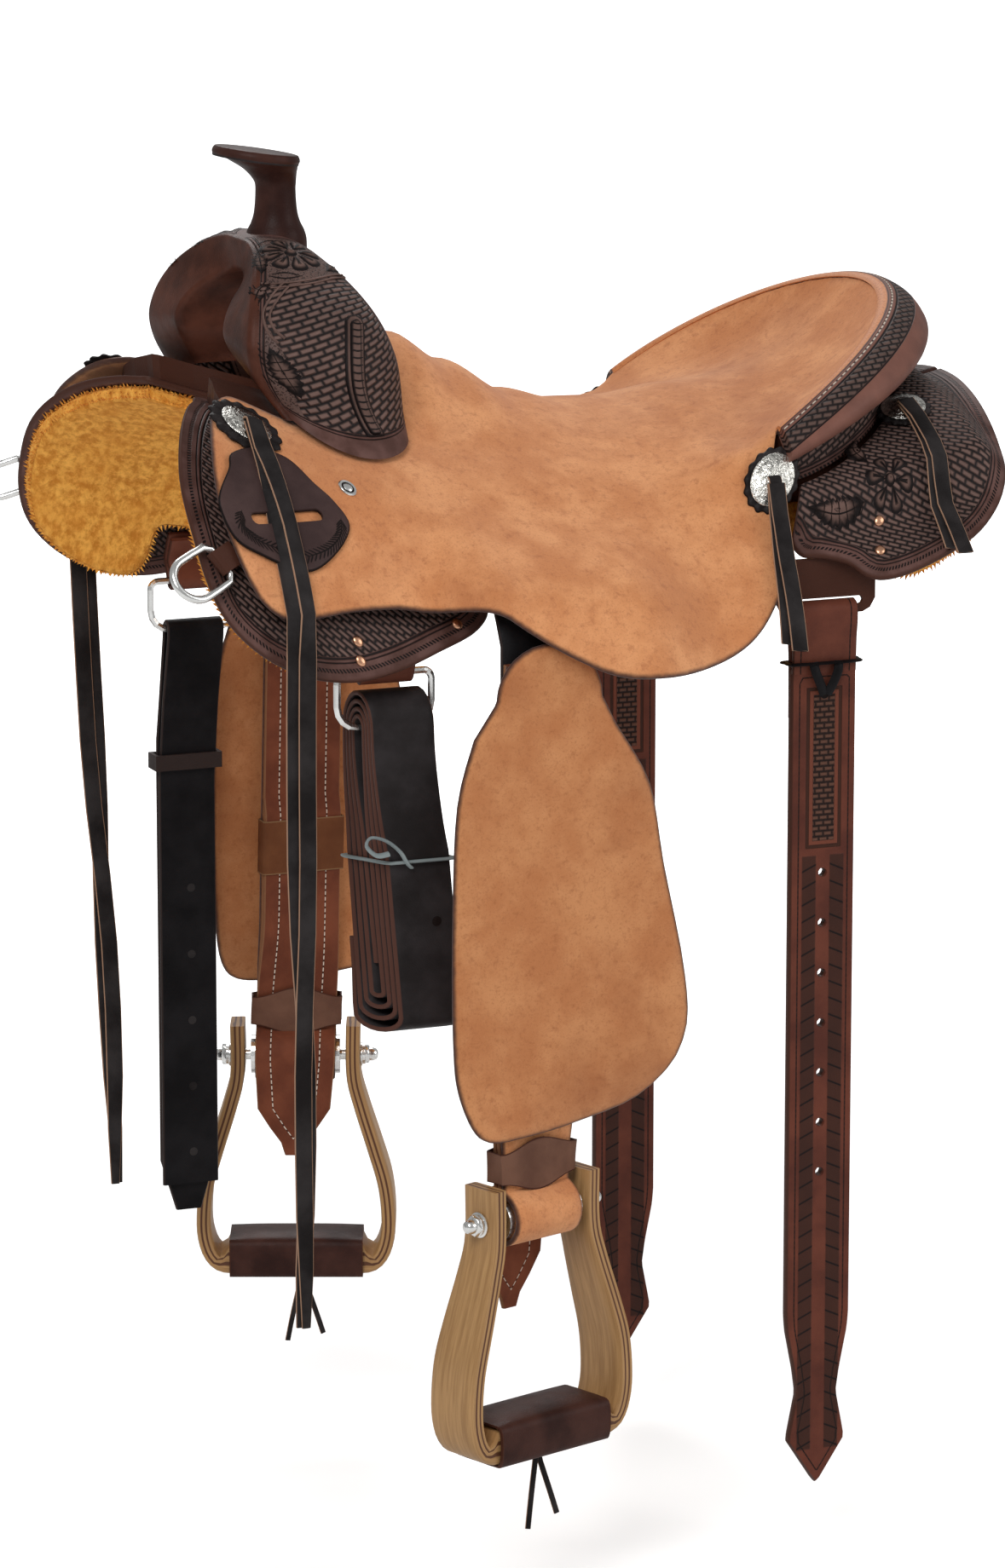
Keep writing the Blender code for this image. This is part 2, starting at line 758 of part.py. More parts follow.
def horn():
    core = (
        (-0.219, HORN_BASE_RADIUS - 0.004),
        (0.10, HORN_BASE_RADIUS - 0.007),
        (0.28, HORN_NECK_RADIUS),
        (0.62, HORN_NECK_RADIUS),
        (0.80, HORN_NECK_RADIUS + 0.007),
        (0.90, HORN_CAP_RADIUS - 0.006),
    )
    loft("horn_core", horn_loops(core), "steel")
    wrap = (
        (0.13, HORN_BASE_RADIUS - 0.0055),
        (0.28, HORN_NECK_RADIUS + HORN_WRAP),
        (0.60, HORN_NECK_RADIUS + HORN_WRAP),
        (0.74, HORN_NECK_RADIUS + 0.0085),
    )
    hollow = (
        (0.74, HORN_NECK_RADIUS + 0.0056),
        (0.62, HORN_NECK_RADIUS + 0.0006),
        (0.28, HORN_NECK_RADIUS + 0.0006),
        (0.13, HORN_BASE_RADIUS - 0.0070),
    )
    loft("horn_wrap", horn_loops(wrap + hollow), "smooth_leather", closed=True)
    centre, axis = horn_spot(1.0)
    r = HORN_CAP_RADIUS
    h = HORN_CAP_THICKNESS
    revolve(
        "horn_cap",
        [(0, 0.0), (r - 0.004, 0.0), (r, 0.0022), (r, h - 0.002), (r - 0.0025, h), (0, h)],
        centre - axis * 0.0045,
        axis,
        "smooth_leather",
        28,
    )


def cantle_xy(angle, radius):
    return CANTLE_X + radius * math.cos(angle), radius * math.sin(angle)


RIM_STEPS = 12


def rim_angles(half_steps=RIM_STEPS, reach=1.0):
    """Angles round the cantle from the near end to the off end, closer together at the ends."""
    return [
        CANTLE_SWEEP * reach * math.sin(math.pi / 2 * i / half_steps)
        for i in range(-half_steps, half_steps + 1)
    ]


def tree_cantle():
    sections = []
    shares = (0.80, 0.87, 0.935, 0.985)
    for angle in rim_angles(9, 0.985):
        top = []
        low = []
        for share in shares:
            x, y = cantle_xy(angle, CANTLE_RADIUS * share)
            arc = arc_of(x, y, SEAT_TOP)
            under = seat_point(x, arc, SEAT_LEATHER + 0.0012)
            base = skin(x, arc_of(x, y, BAR_TOP), BAR_TOP + 2 * LAYER_GAP)
            top.append(Vector((x, y, max(under.z, base.z + 0.003))))
            low.append(Vector((x, y, base.z)))
        sections.append(top + low[::-1])
    loft("tree_cantle", sections, "tree_wood")


def rim_point(angle):
    x, y = cantle_xy(angle, CANTLE_RADIUS)
    return Vector((x, y, rim_z(angle)))


def cheyenne_roll():
    sections = []
    for angle in rim_angles():
        share = max(math.cos(min(abs(angle), math.pi / 2)), 0.0) ** 0.6
        width = lerp(ROLL_END_WIDTH, ROLL_WIDTH, share)
        drop = lerp(0.45, 1.0, share)
        edge = rim_point(angle)
        outward = Vector((math.cos(angle), math.sin(angle), 0))
        profile = (
            (0.0012, -0.0062),
            (0.0012, 0.0012),
            (0.35 * width, 0.0055 * drop),
            (0.70 * width, 0.0045 * drop),
            (0.93 * width, -0.0020 * drop),
            (width, -0.0105 * drop),
            (0.90 * width, -0.0185 * drop),
            (0.66 * width, -0.0200 * drop),
            (0.0070, -0.0075),
        )
        sections.append([edge + outward * a + Vector((0, 0, b)) for a, b in profile])
    loft("cheyenne_roll", sections, "smooth_leather")


def cantle_back():
    """Tooled leather on the back of the cantle, from the rear skirts up to the roll."""
    sections = []
    for angle in rim_angles(RIM_STEPS, 0.985):
        edge = rim_point(angle)
        outward = Vector((math.cos(angle), math.sin(angle), 0))
        x, y = cantle_xy(angle, CANTLE_RADIUS + 0.005)
        base = skin(x, arc_of(x, y, REAR_HIGH), REAR_HIGH + 0.0015).z
        top = edge.z - 0.0078
        section = []
        for out, level in ((0.0008, 0), (0.0008, 1), (0.0046, 1), (0.0052, 0.5), (0.0070, 0.0)):
            section.append(Vector((edge.x, edge.y, lerp(base, top, level))) + outward * out)
        sections.append(section)
    loft("cantle_back", sections, "tooled_leather")


REAR_HIGH = SEAT_TOP + 0.0008


# Seat and jockeys in one piece

SEAT_EDGE = (
    (-0.232, 0.092),
    (-0.252, 0.090),
    (-0.270, 0.112),
    (-0.284, 0.152),
    (-0.289, 0.184),
    (-0.286, 0.212),
    (-0.276, 0.243),
    (-0.260, 0.256),
    (-0.236, 0.252),
    (-0.203, 0.240),
    (-0.165, 0.231),
    (-0.130, 0.231),
    (-0.103, 0.236),
    (-0.083, 0.246),
    (-0.054, 0.259),
    (-0.020, 0.270),
    (0.020, 0.271),
    (0.062, 0.262),
    (0.098, 0.247),
    (0.124, 0.221),
    (0.137, 0.196),
    (0.144, 0.169),
    (0.142, 0.150),
)
FORK_NOTCH = ((-0.116, 0.0), (-0.117, 0.040), (-0.124, 0.075), (-0.145, 0.098), (-0.175, 0.104), (-0.205, 0.100))


def seat_outline():
    half = list(FORK_NOTCH[1:]) + round_curve(SEAT_EDGE, 2, closed=False)
    for angle in rim_angles()[::-1][: RIM_STEPS + 1]:
        x, y = cantle_xy(angle, CANTLE_RADIUS)
        half.append((x, arc_of(x, y, SEAT_TOP)))
    mirrored = [(x, -t) for x, t in reversed(half[:-1])]
    return [FORK_NOTCH[0]] + half + mirrored


def seat():
    sheet(
        "seat_and_jockeys",
        [seat_outline()],
        lambda x, t: seat_point(x, t),
        lambda x, t: seat_point(x, t, SEAT_LEATHER),
        "roughout_tan",
        (0.026, 0.018),
    )


# Skirts and their fleece

FRONT_SKIRT = (
    (-0.240, 0.046),
    (-0.262, 0.060),
    (-0.285, 0.102),
    (-0.301, 0.145),
    (-0.308, 0.178),
    (-0.308, 0.212),
    (-0.304, 0.243),
    (-0.293, 0.266),
    (-0.270, 0.281),
    (-0.238, 0.287),
    (-0.203, 0.282),
    (-0.170, 0.269),
    (-0.135, 0.250),
    (-0.100, 0.229),
    (-0.088, 0.205),
    (-0.086, 0.150),
    (-0.086, 0.080),
    (-0.095, 0.050),
)
REAR_SKIRT = (
    (0.354, 0.003),
    (0.352, 0.040),
    (0.345, 0.088),
    (0.334, 0.142),
    (0.322, 0.175),
    (0.303, 0.196),
    (0.279, 0.209),
    (0.240, 0.218),
    (0.212, 0.219),
    (0.198, 0.212),
    (0.189, 0.200),
    (0.172, 0.191),
    (0.158, 0.187),
    (0.152, 0.176),
)


FRONT_FLEECE = (
    (-0.238, 0.050),
    (-0.259, 0.063),
    (-0.281, 0.103),
    (-0.297, 0.146),
    (-0.304, 0.178),
    (-0.304, 0.212),
    (-0.300, 0.240),
    (-0.290, 0.262),
    (-0.268, 0.277),
    (-0.238, 0.283),
    (-0.214, 0.278),
    (-0.204, 0.262),
    (-0.201, 0.240),
    (-0.196, 0.229),
    (-0.170, 0.226),
    (-0.144, 0.229),
    (-0.128, 0.232),
    (-0.104, 0.224),
    (-0.092, 0.203),
    (-0.090, 0.150),
    (-0.090, 0.084),
    (-0.098, 0.054),
)
REAR_FLEECE = (
    (0.349, 0.006),
    (0.347, 0.042),
    (0.340, 0.086),
    (0.329, 0.140),
    (0.317, 0.171),
    (0.299, 0.191),
    (0.277, 0.204),
    (0.242, 0.213),
    (0.226, 0.206),
    (0.221, 0.180),
    (0.214, 0.166),
    (0.180, 0.163),
    (0.140, 0.163),
    (0.115, 0.155),
    (0.100, 0.125),
    (0.095, 0.080),
    (0.100, 0.030),
    (0.130, 0.008),
    (0.240, 0.005),
)


def rear_outline(edge, clearance):
    """Rear skirt: outer edge as drawn, inner edge round the cantle."""
    outer = round_curve(edge, 2, closed=False)
    inner = []
    radius = CANTLE_RADIUS + 0.0115 + clearance
    for i in range(9):
        angle = lerp(math.radians(80), math.asin(0.004 / radius), i / 8)
        x, y = cantle_xy(angle, radius)
        inner.append((x, arc_of(x, y, REAR_HIGH)))
    return outer + inner


def rear_lift(x, t):
    """The rear skirt rides over the bar's end, then falls to the fleece."""
    over = (1 - smooth((abs(t) - 0.148) / 0.034)) * (1 - smooth((x - 0.303) / 0.034))
    return lerp(SKIRT_TOP + SKIRT_LEATHER, REAR_HIGH + SKIRT_LEATHER, over)


def skirts(label, side):
    front = round_curve(FRONT_SKIRT, 2)
    on_skin(f"{label}_front_skirt", [front], SKIRT_LOW, SKIRT_TOP, "tooled_leather", side)
    inset = round_curve(FRONT_FLEECE, 2)
    on_skin(f"{label}_front_fleece", [inset], 0.0, FLEECE, "fleece", side)
    rear = rear_outline(REAR_SKIRT, 0.0)
    on_skin(
        f"{label}_rear_skirt",
        [rear],
        lambda x, t: rear_lift(x, t) - SKIRT_LEATHER,
        rear_lift,
        "tooled_leather",
        side,
        (0.03, 0.014),
    )
    on_skin(f"{label}_rear_fleece", [round_curve(REAR_FLEECE, 2)], 0.0, SKIRT_TOP - 0.0007, "fleece", side)


# Latigo keeper, rosettes, conchos and strings on the leather

KEEPER = (
    (-0.273, 0.157),
    (-0.288, 0.186),
    (-0.293, 0.212),
    (-0.284, 0.222),
    (-0.257, 0.227),
    (-0.236, 0.225),
    (-0.214, 0.210),
    (-0.198, 0.192),
    (-0.192, 0.176),
    (-0.198, 0.158),
    (-0.212, 0.141),
    (-0.228, 0.131),
    (-0.252, 0.141),
)


def on_jockey(name, loops, low, high, finish_name, side, spacing=(0.02, 0.014), body=None):
    """Leather laid on the jockey between two heights above its face."""
    def place(height):
        return lambda x, t: seat_point(x, side * t, -height)

    return sheet(name, loops, place(high), place(low), finish_name, spacing, body)


def keeper(label, side):
    outline = round_curve(KEEPER, 2)
    slit = [(x, t) for x, t in slot((-0.247, 0.192), 0.058, 0.010)]
    on_jockey(f"{label}_latigo_keeper", [outline, slit], LAYER_GAP, LAYER_GAP + 0.0036, "smooth_leather", side)


def scallop(centre, radius, petals, depth, count=40):
    made = []
    for i in range(count):
        angle = 2 * math.pi * i / count
        reach = radius * (1 + depth * math.cos(petals * angle))
        made.append((centre[0] + reach * math.cos(angle), centre[1] + reach * math.sin(angle)))
    return made


ROSETTE = (-0.247, 0.114)
ROSETTE_RADIUS = 0.0195
CONCHO_RADIUS = 0.0128
CONCHO_HEIGHT = 0.0045


def frame_on(surface, x, t):
    """Point and unit axes (forward, down the side, outward) of a surface of x and t."""
    step = 0.004
    here = surface(x, t)
    ahead = (surface(x - step, t) - surface(x + step, t)).normalized()
    down = (surface(x, t + math.copysign(step, t)) - surface(x, t - math.copysign(step, t))).normalized()
    out = ahead.cross(down).normalized()
    if out.dot(skin_normal(x, t)) < 0:
        out = -out
    down = (down - out * down.dot(out)).normalized()
    return here, ahead, down, out


def rosette(label, side):
    """Scalloped leather rosette with its concho, one turned piece."""
    x, t = ROSETTE
    here, ahead, down, out = frame_on(seat_point, x, side * t)
    count = 40
    levels = (
        (0.0, 0.0003),
        (1.0, 0.0013),
        (1.0, 0.0013 + ROSETTE_LEATHER),
        (CONCHO_RADIUS / ROSETTE_RADIUS, 0.0007 + ROSETTE_LEATHER),
        (CONCHO_RADIUS / ROSETTE_RADIUS, 0.0021 + ROSETTE_LEATHER),
        (0.55 * CONCHO_RADIUS / ROSETTE_RADIUS, 0.0007 + ROSETTE_LEATHER + CONCHO_HEIGHT),
        (0.0, 0.0011 + ROSETTE_LEATHER + CONCHO_HEIGHT),
    )
    bm = bmesh.new()
    rings = []
    for share, height in levels:
        if share == 0.0:
            rings.append([bm.verts.new(here + out * height)])
            continue
        ring = []
        for i in range(count):
            angle = 2 * math.pi * i / count
            reach = ROSETTE_RADIUS * share
            if share == 1.0:
                reach *= 1 + 0.06 * math.cos(10 * angle)
            ring.append(bm.verts.new(here + out * height + (ahead * math.cos(angle) + down * math.sin(angle)) * reach))
        rings.append(ring)
    for first, second in zip(rings, rings[1:]):
        for i in range(count):
            j = (i + 1) % count
            if len(first) == 1:
                bm.faces.new([first[0], second[i], second[j]])
            elif len(second) == 1:
                bm.faces.new([first[i], first[j], second[0]])
            else:
                bm.faces.new([first[i], first[j], second[j], second[i]])
    finish(f"{label}_rosette_and_concho", bm, "silver")


# Straps, dees and what hangs from them

def strap(name, path_at, thickness, places_x, finish_name, side, body=None, bend=None):
    """Strap whose path in y and z is worked out afresh at each of the given places along x."""
    bend = bend or (lambda p: p)
    sections = []
    for x in places_x:
        path = path_at(x)
        outline = offset_path(path, thickness / 2) + offset_path(path, -thickness / 2)[::-1]
        sections.append([bend(Vector((x, side * y, z))) for y, z in outline])
    return strip(name, sections, finish_name, body)


def band(name, x0, x1, y0, y1, z0, z1, wall, finish_name, side, body=None, bend=None):
    """Closed band round straps: the inner faces lie at the given x and y."""
    bend = bend or (lambda p: p)
    inner = [(x0, y0), (x1, y0), (x1, y1), (x0, y1)]
    x0, x1, y0, y1 = x0 - wall, x1 + wall, y0 - wall, y1 + wall
    outer = [(x0, y0), (x1, y0), (x1, y1), (x0, y1)]
    return sheet(
        name,
        [outer, inner],
        lambda x, y: bend(Vector((x, side * y, z1))),
        lambda x, y: bend(Vector((x, side * y, z0))),
        finish_name,
        None,
        body,
    )


def arc(centre, radius, start, end, count, squash=1.0):
    """Points on an arc of the y-z plane, angles in degrees from the outward side."""
    made = []
    for i in range(count + 1):
        angle = math.radians(lerp(start, end, i / count))
        made.append((centre[0] + radius * math.cos(angle), centre[1] + radius * squash * math.sin(angle)))
    return made


def side_point(x, t, lift):
    point = skin(x, t, lift)
    return (point.y, point.z)


# Front rigging

RIG_BAR_Z = RIG_DEE_Z + RIG_DEE_HEIGHT / 2 - RIG_WIRE
RIG_LOW_Z = RIG_DEE_Z - RIG_DEE_HEIGHT / 2 + RIG_WIRE


def front_rigging(label, side):
    half = RIG_DEE_WIDTH / 2 - RIG_WIRE
    corners = []
    for centre_x, centre_z, radius, start in (
        (half - 0.006, RIG_BAR_Z - 0.006, 0.006, 0),
        (0.006 - half, RIG_BAR_Z - 0.006, 0.006, 90),
        (0.0155 - half, RIG_LOW_Z + 0.0155, 0.0155, 180),
        (half - 0.0155, RIG_LOW_Z + 0.0155, 0.0155, 270),
    ):
        for i in range(5):
            angle = math.radians(start + 22.5 * i)
            corners.append((centre_x + radius * math.cos(angle), centre_z + radius * math.sin(angle)))
    path = [(RIG_X + x, side * RIG_Y, z) for x, z in corners]
    ring_sweep(f"{label}_rigging_dee", path, (0, 1, 0), round_section(RIG_WIRE), "steel")

    def path_at(x):
        wrap = RIG_WIRE + 0.0008 + STRAP_LEATHER / 2
        outer = [side_point(x, t, 0.0100) for t in (0.234, 0.241, 0.248, 0.254)]
        inner = [side_point(x, t, 0.0027) for t in (0.254, 0.248, 0.241, 0.234)]
        return outer + arc((RIG_Y, RIG_BAR_Z), wrap, -14, -206, 10) + inner

    places = [RIG_X + RIG_STRAP_WIDTH * (i / 4 - 0.5) for i in range(5)]
    strap(f"{label}_rigging_leather", path_at, STRAP_LEATHER, places, "smooth_leather", side)


def latigo_path():
    """Hank folded through the near dee: down the outside, up the inside, four times round."""
    def half_width(turn, z):
        at_dee = LATIGO_FIRST + LATIGO_PITCH * turn
        at_tie = LATIGO_TIE_FIRST + LATIGO_TIE_PITCH * turn
        return lerp(at_dee, at_tie, smooth((RIG_LOW_Z - 0.004 - z) / 0.078))

    levels = [RIG_LOW_Z - 0.010 * i for i in range(1, 10)]
    path = []
    turns = LATIGO_LAYERS // 2
    for turn in range(turns):
        bottom = LATIGO_BOTTOM_Z + 0.0090 + 0.0055 * (turns - turn)
        inner_bottom = bottom + 0.0055 if turn else LATIGO_BOTTOM_Z + 0.052
        rise = [z for z in reversed(levels) if z > inner_bottom]
        path += [(RIG_Y - half_width(turn, z), z) for z in [inner_bottom] + rise]
        high = LATIGO_FIRST + LATIGO_PITCH * turn
        path += arc((RIG_Y, RIG_LOW_Z), high, 180, 0, 10, 1 + 0.18 * turn / turns)
        if turn == turns - 1:
            path += [(RIG_Y + half_width(turn, z), z) for z in levels + [LATIGO_BOTTOM_Z]]
            break
        path += [(RIG_Y + half_width(turn, z), z) for z in levels + [bottom]]
        left = half_width(turn + 1, bottom)
        right = half_width(turn, bottom)
        reach = (left + right) / 2
        path += arc((RIG_Y + (right - left) / 2, bottom), reach, 0, -180, 10, 0.62)[1:-1]
    return path


def near_latigo():
    side = -1
    body = pivot("near_latigo_body", (RIG_X, side * RIG_Y, RIG_LOW_Z))
    path = latigo_path()
    least = 1.0
    for i, first in enumerate(path):
        for j in range(i + 3, len(path) - 1):
            a, b = Vector(path[j]), Vector(path[j + 1])
            span = b - a
            share = min(max((Vector(first) - a).dot(span) / span.length_squared, 0), 1)
            apart = (a + span * share - Vector(first)).length
            along_path = sum((Vector(path[k + 1]) - Vector(path[k])).length for k in range(i, j))
            if along_path > 3 * apart:
                least = min(least, apart)
    length = sum((Vector(b) - Vector(a)).length for a, b in zip(path, path[1:]))
    print(f"latigo length {length:.3f} m, least gap to itself {1000 * (least - LATIGO_THICKNESS):.2f} mm")

    def fan(p):
        spread = lerp(0.10, 0.62, smooth((RIG_LOW_Z - p.z) / 0.12))
        return Vector((p.x + spread * (abs(p.y) - RIG_Y) + 0.016 * smooth((RIG_LOW_Z - p.z) / 0.2), p.y, p.z))

    x0 = RIG_X + 0.0030 - LATIGO_WIDTH / 2
    ribbon("near_latigo", path, LATIGO_THICKNESS, x0, x0 + LATIGO_WIDTH, "latigo_leather", side, body, fan)
    reach = LATIGO_TIE_FIRST + 3 * LATIGO_TIE_PITCH + LATIGO_THICKNESS / 2 + 0.0011
    band(
        "near_latigo_tie", x0 - 0.0018, x0 + LATIGO_WIDTH + 0.0018, RIG_Y - reach, RIG_Y + reach,
        LATIGO_TIE_Z - 0.0025, LATIGO_TIE_Z + 0.0025, 0.0014, "tie_grey", side, body, fan,
    )


def off_billet():
    side = 1
    body = pivot("off_billet_body", (RIG_X, side * RIG_Y, RIG_LOW_Z))
    turn = RIG_WIRE + 0.0009 + STRAP_LEATHER / 2
    outer = [
        (RIG_Y + 0.0027, BILLET_END_Z),
        (RIG_Y + 0.0027, -0.260),
        (RIG_Y + 0.0040, -0.200),
        (RIG_Y + turn, RIG_LOW_Z - 0.006),
    ]
    inner = [
        (RIG_Y - turn, RIG_LOW_Z - 0.006),
        (RIG_Y - 0.0040, -0.200),
        (RIG_Y - 0.0027, -0.260),
        (RIG_Y - 0.0027, BILLET_END_Z + 0.022),
    ]
    path = outer + arc((RIG_Y, RIG_LOW_Z), turn, 0, 180, 10) + inner

    def lean(p):
        return Vector((p.x - 0.0075 * smooth((RIG_LOW_Z - p.z) / 0.10), p.y, p.z))

    x0 = RIG_X - 0.0015 - BILLET_WIDTH / 2
    ribbon("off_billet", path, STRAP_LEATHER, x0, x0 + BILLET_WIDTH, "black_leather", side, body, lean)
    band(
        "off_billet_keeper", x0 - 0.0016, x0 + BILLET_WIDTH + 0.0016, RIG_Y - 0.0068, RIG_Y + 0.0068,
        -0.2520, -0.2400, 0.0026, "black_leather", side, body, lean,
    )


# Rear rigging plates and flank billets

def rear_rigging(label, side):
    low = FLANK_SLOT_Z - SLOT_HEIGHT / 2 - SLOT_BAR
    x0, x1 = FLANK_X - 0.037, FLANK_X + 0.041
    outline = [
        (x0 + 0.010, low), (x1 - 0.010, low), (x1 - 0.004, low + 0.003), (x1, low + 0.010),
        (x1, FLANK_PLATE_TOP), (x0, FLANK_PLATE_TOP), (x0, low + 0.010), (x0 + 0.004, low + 0.003),
    ]
    opening = slot((FLANK_X + 0.001, FLANK_SLOT_Z), 0.060, SLOT_HEIGHT)
    plate(f"{label}_rear_rigging", [outline, opening], FLANK_Y + PLATE_THICKNESS / 2, PLATE_THICKNESS, "steel", side)

    bar_z = FLANK_SLOT_Z - SLOT_HEIGHT / 2 - SLOT_BAR / 2
    body = pivot(f"{label}_flank_billet_body", (FLANK_X, side * FLANK_Y, bar_z))
    turn = SLOT_BAR / 2 + 0.0008 + STRAP_LEATHER / 2
    path = [(FLANK_Y + 0.0026, FLANK_END_Z), (FLANK_Y + 0.0026, bar_z - 0.034), (FLANK_Y + turn, bar_z - 0.008)]
    path += arc((FLANK_Y, bar_z), turn, 0, 180, 10)
    path += [(FLANK_Y - turn, bar_z - 0.008), (FLANK_Y - 0.0026, bar_z - 0.034), (FLANK_Y - 0.0026, FLANK_END_Z + 0.03)]
    x0 = FLANK_X - FLANK_WIDTH / 2
    ribbon(f"{label}_flank_billet", path, STRAP_LEATHER, x0, x0 + FLANK_WIDTH, "smooth_leather", side, body)


# Breast collar dees

def breast_dee(label, side):
    def level(x, t):
        return skin(x, t, SKIRT_TOP + 0.0064)

    here, ahead, down, out = frame_on(level, BREAST_X, side * BREAST_T)
    along_bar = (down * math.cos(BREAST_TURN) - ahead * math.sin(BREAST_TURN)).normalized()
    away = (ahead * math.cos(BREAST_TURN) + down * math.sin(BREAST_TURN)).normalized()
    body = pivot(f"{label}_breast_dee_body", here, along_bar)
    half = BREAST_DEE_HALF
    path = [(-0.70 * half, 0), (0.70 * half, 0), (half, 0.0045), (half, 0.027)]
    path += [
        (half * math.cos(math.radians(a)), 0.027 + half * math.sin(math.radians(a)))
        for a in range(20, 180, 20)
    ]
    path += [(-half, 0.027), (-half, 0.0045)]
    ring_sweep(
        f"{label}_breast_dee",
        [here + along_bar * a + away * b for a, b in path],
        out,
        round_section(BREAST_WIRE, 6),
        "steel",
        body,
    )
    turn = BREAST_WIRE + 0.0005 + 0.001
    line = [(-0.013, turn)] + arc((0.0, 0.0), turn, 90, -90, 8) + [(-0.013, -turn)]
    outline = offset_path(line, 0.001) + offset_path(line, -0.001)[::-1]
    sections = [
        [here + along_bar * reach + away * u + out * v for u, v in outline]
        for reach in (-0.0090, 0.0090)
    ]
    strip(f"{label}_breast_strap", sections, "smooth_leather")


# Saddle strings from the keeper slots

def front_strings(label, side):
    """One thong doubled through the keeper slot: two ends hang side by side, joined at the slot."""
    height = 0.0043 + 0.0007 + STRING_THICKNESS / 2
    body = pivot(f"{label}_front_strings_body", seat_point(STRING_X - 1.05 * STRING_WIDTH, side * STRING_T, -height))

    def path_at(x):
        line = []
        for t in (STRING_T, 0.206, 0.214, 0.222, 0.230, 0.238, 0.246, 0.254):
            point = seat_point(x, t, -height)
            line.append((point.y, point.z))
        start_y, start_z = line[-1]
        for z in (-0.100, -0.200, -0.330, -0.450, STRING_END_Z):
            share = (start_z - z) / (start_z + 0.450)
            line.append((lerp(start_y, 0.2135, share), z))
        return line

    def lean(p):
        return Vector((p.x + 0.006 * smooth((-0.05 - p.z) / 0.5), p.y, p.z))

    places = [STRING_X + STRING_WIDTH * k for k in (-1.05, 0, 1.05)]
    made = strap(f"{label}_front_strings", path_at, STRING_THICKNESS, places, "string_leather", side, body, lean)
    bm = bmesh.new()
    bmesh.ops.create_cube(bm, size=1.0, matrix=Matrix.Diagonal((0.0014, 0.10, 0.56, 1.0)))
    for vert in bm.verts:
        vert.co = lean(vert.co + Vector((STRING_X, side * 0.220, -0.345)))
    mesh = bpy.data.meshes.new(f"{label}_string_cut")
    bm.to_mesh(mesh)
    bm.free()
    cut = bpy.data.objects.new(f"{label}_string_cut", mesh)
    cut.hide_render = True
    cut.display_type = "WIRE"
    bpy.context.scene.collection.objects.link(cut)
    slit = made.modifiers.new("slit", "BOOLEAN")
    slit.operation = "DIFFERENCE"
    slit.object = cut


# Stirrup leathers and fenders

BOLT_X = SWING_X + STRAP_LEAN * (BOLT_Z - SWING_Z)
LEG_OUT = FENDER_FACE_Y - FENDER_LEATHER - FENDER_GAP - STRAP_LEATHER / 2
LEG_BACK = LEG_OUT - STRAP_LEATHER - GAP
LEG_IN = LEG_BACK - STRAP_LEATHER - GAP
BOLT_Y = (LEG_OUT + LEG_BACK) / 2


def twist(label, side):
    """Turn about the upright line through the bolt, growing from the fender's foot to the hobble strap."""
    centre = Vector((BOLT_X, side * BOLT_Y, 0))

    def turned(p):
        angle = -side * TWIST[label] * smooth((TWIST_TOP_Z - p.z) / (TWIST_TOP_Z - TWIST_END_Z))
        flat = Matrix.Rotation(angle, 3, "Z") @ Vector((p.x - centre.x, p.y - centre.y, 0))
        return Vector((centre.x + flat.x, centre.y + flat.y, p.z))

    return turned


def hang(label, side):
    turned = twist(label, side)

    def placed(p):
        return turned(Vector((p.x + STRAP_LEAN * (p.z - SWING_Z), p.y, p.z)))

    return placed


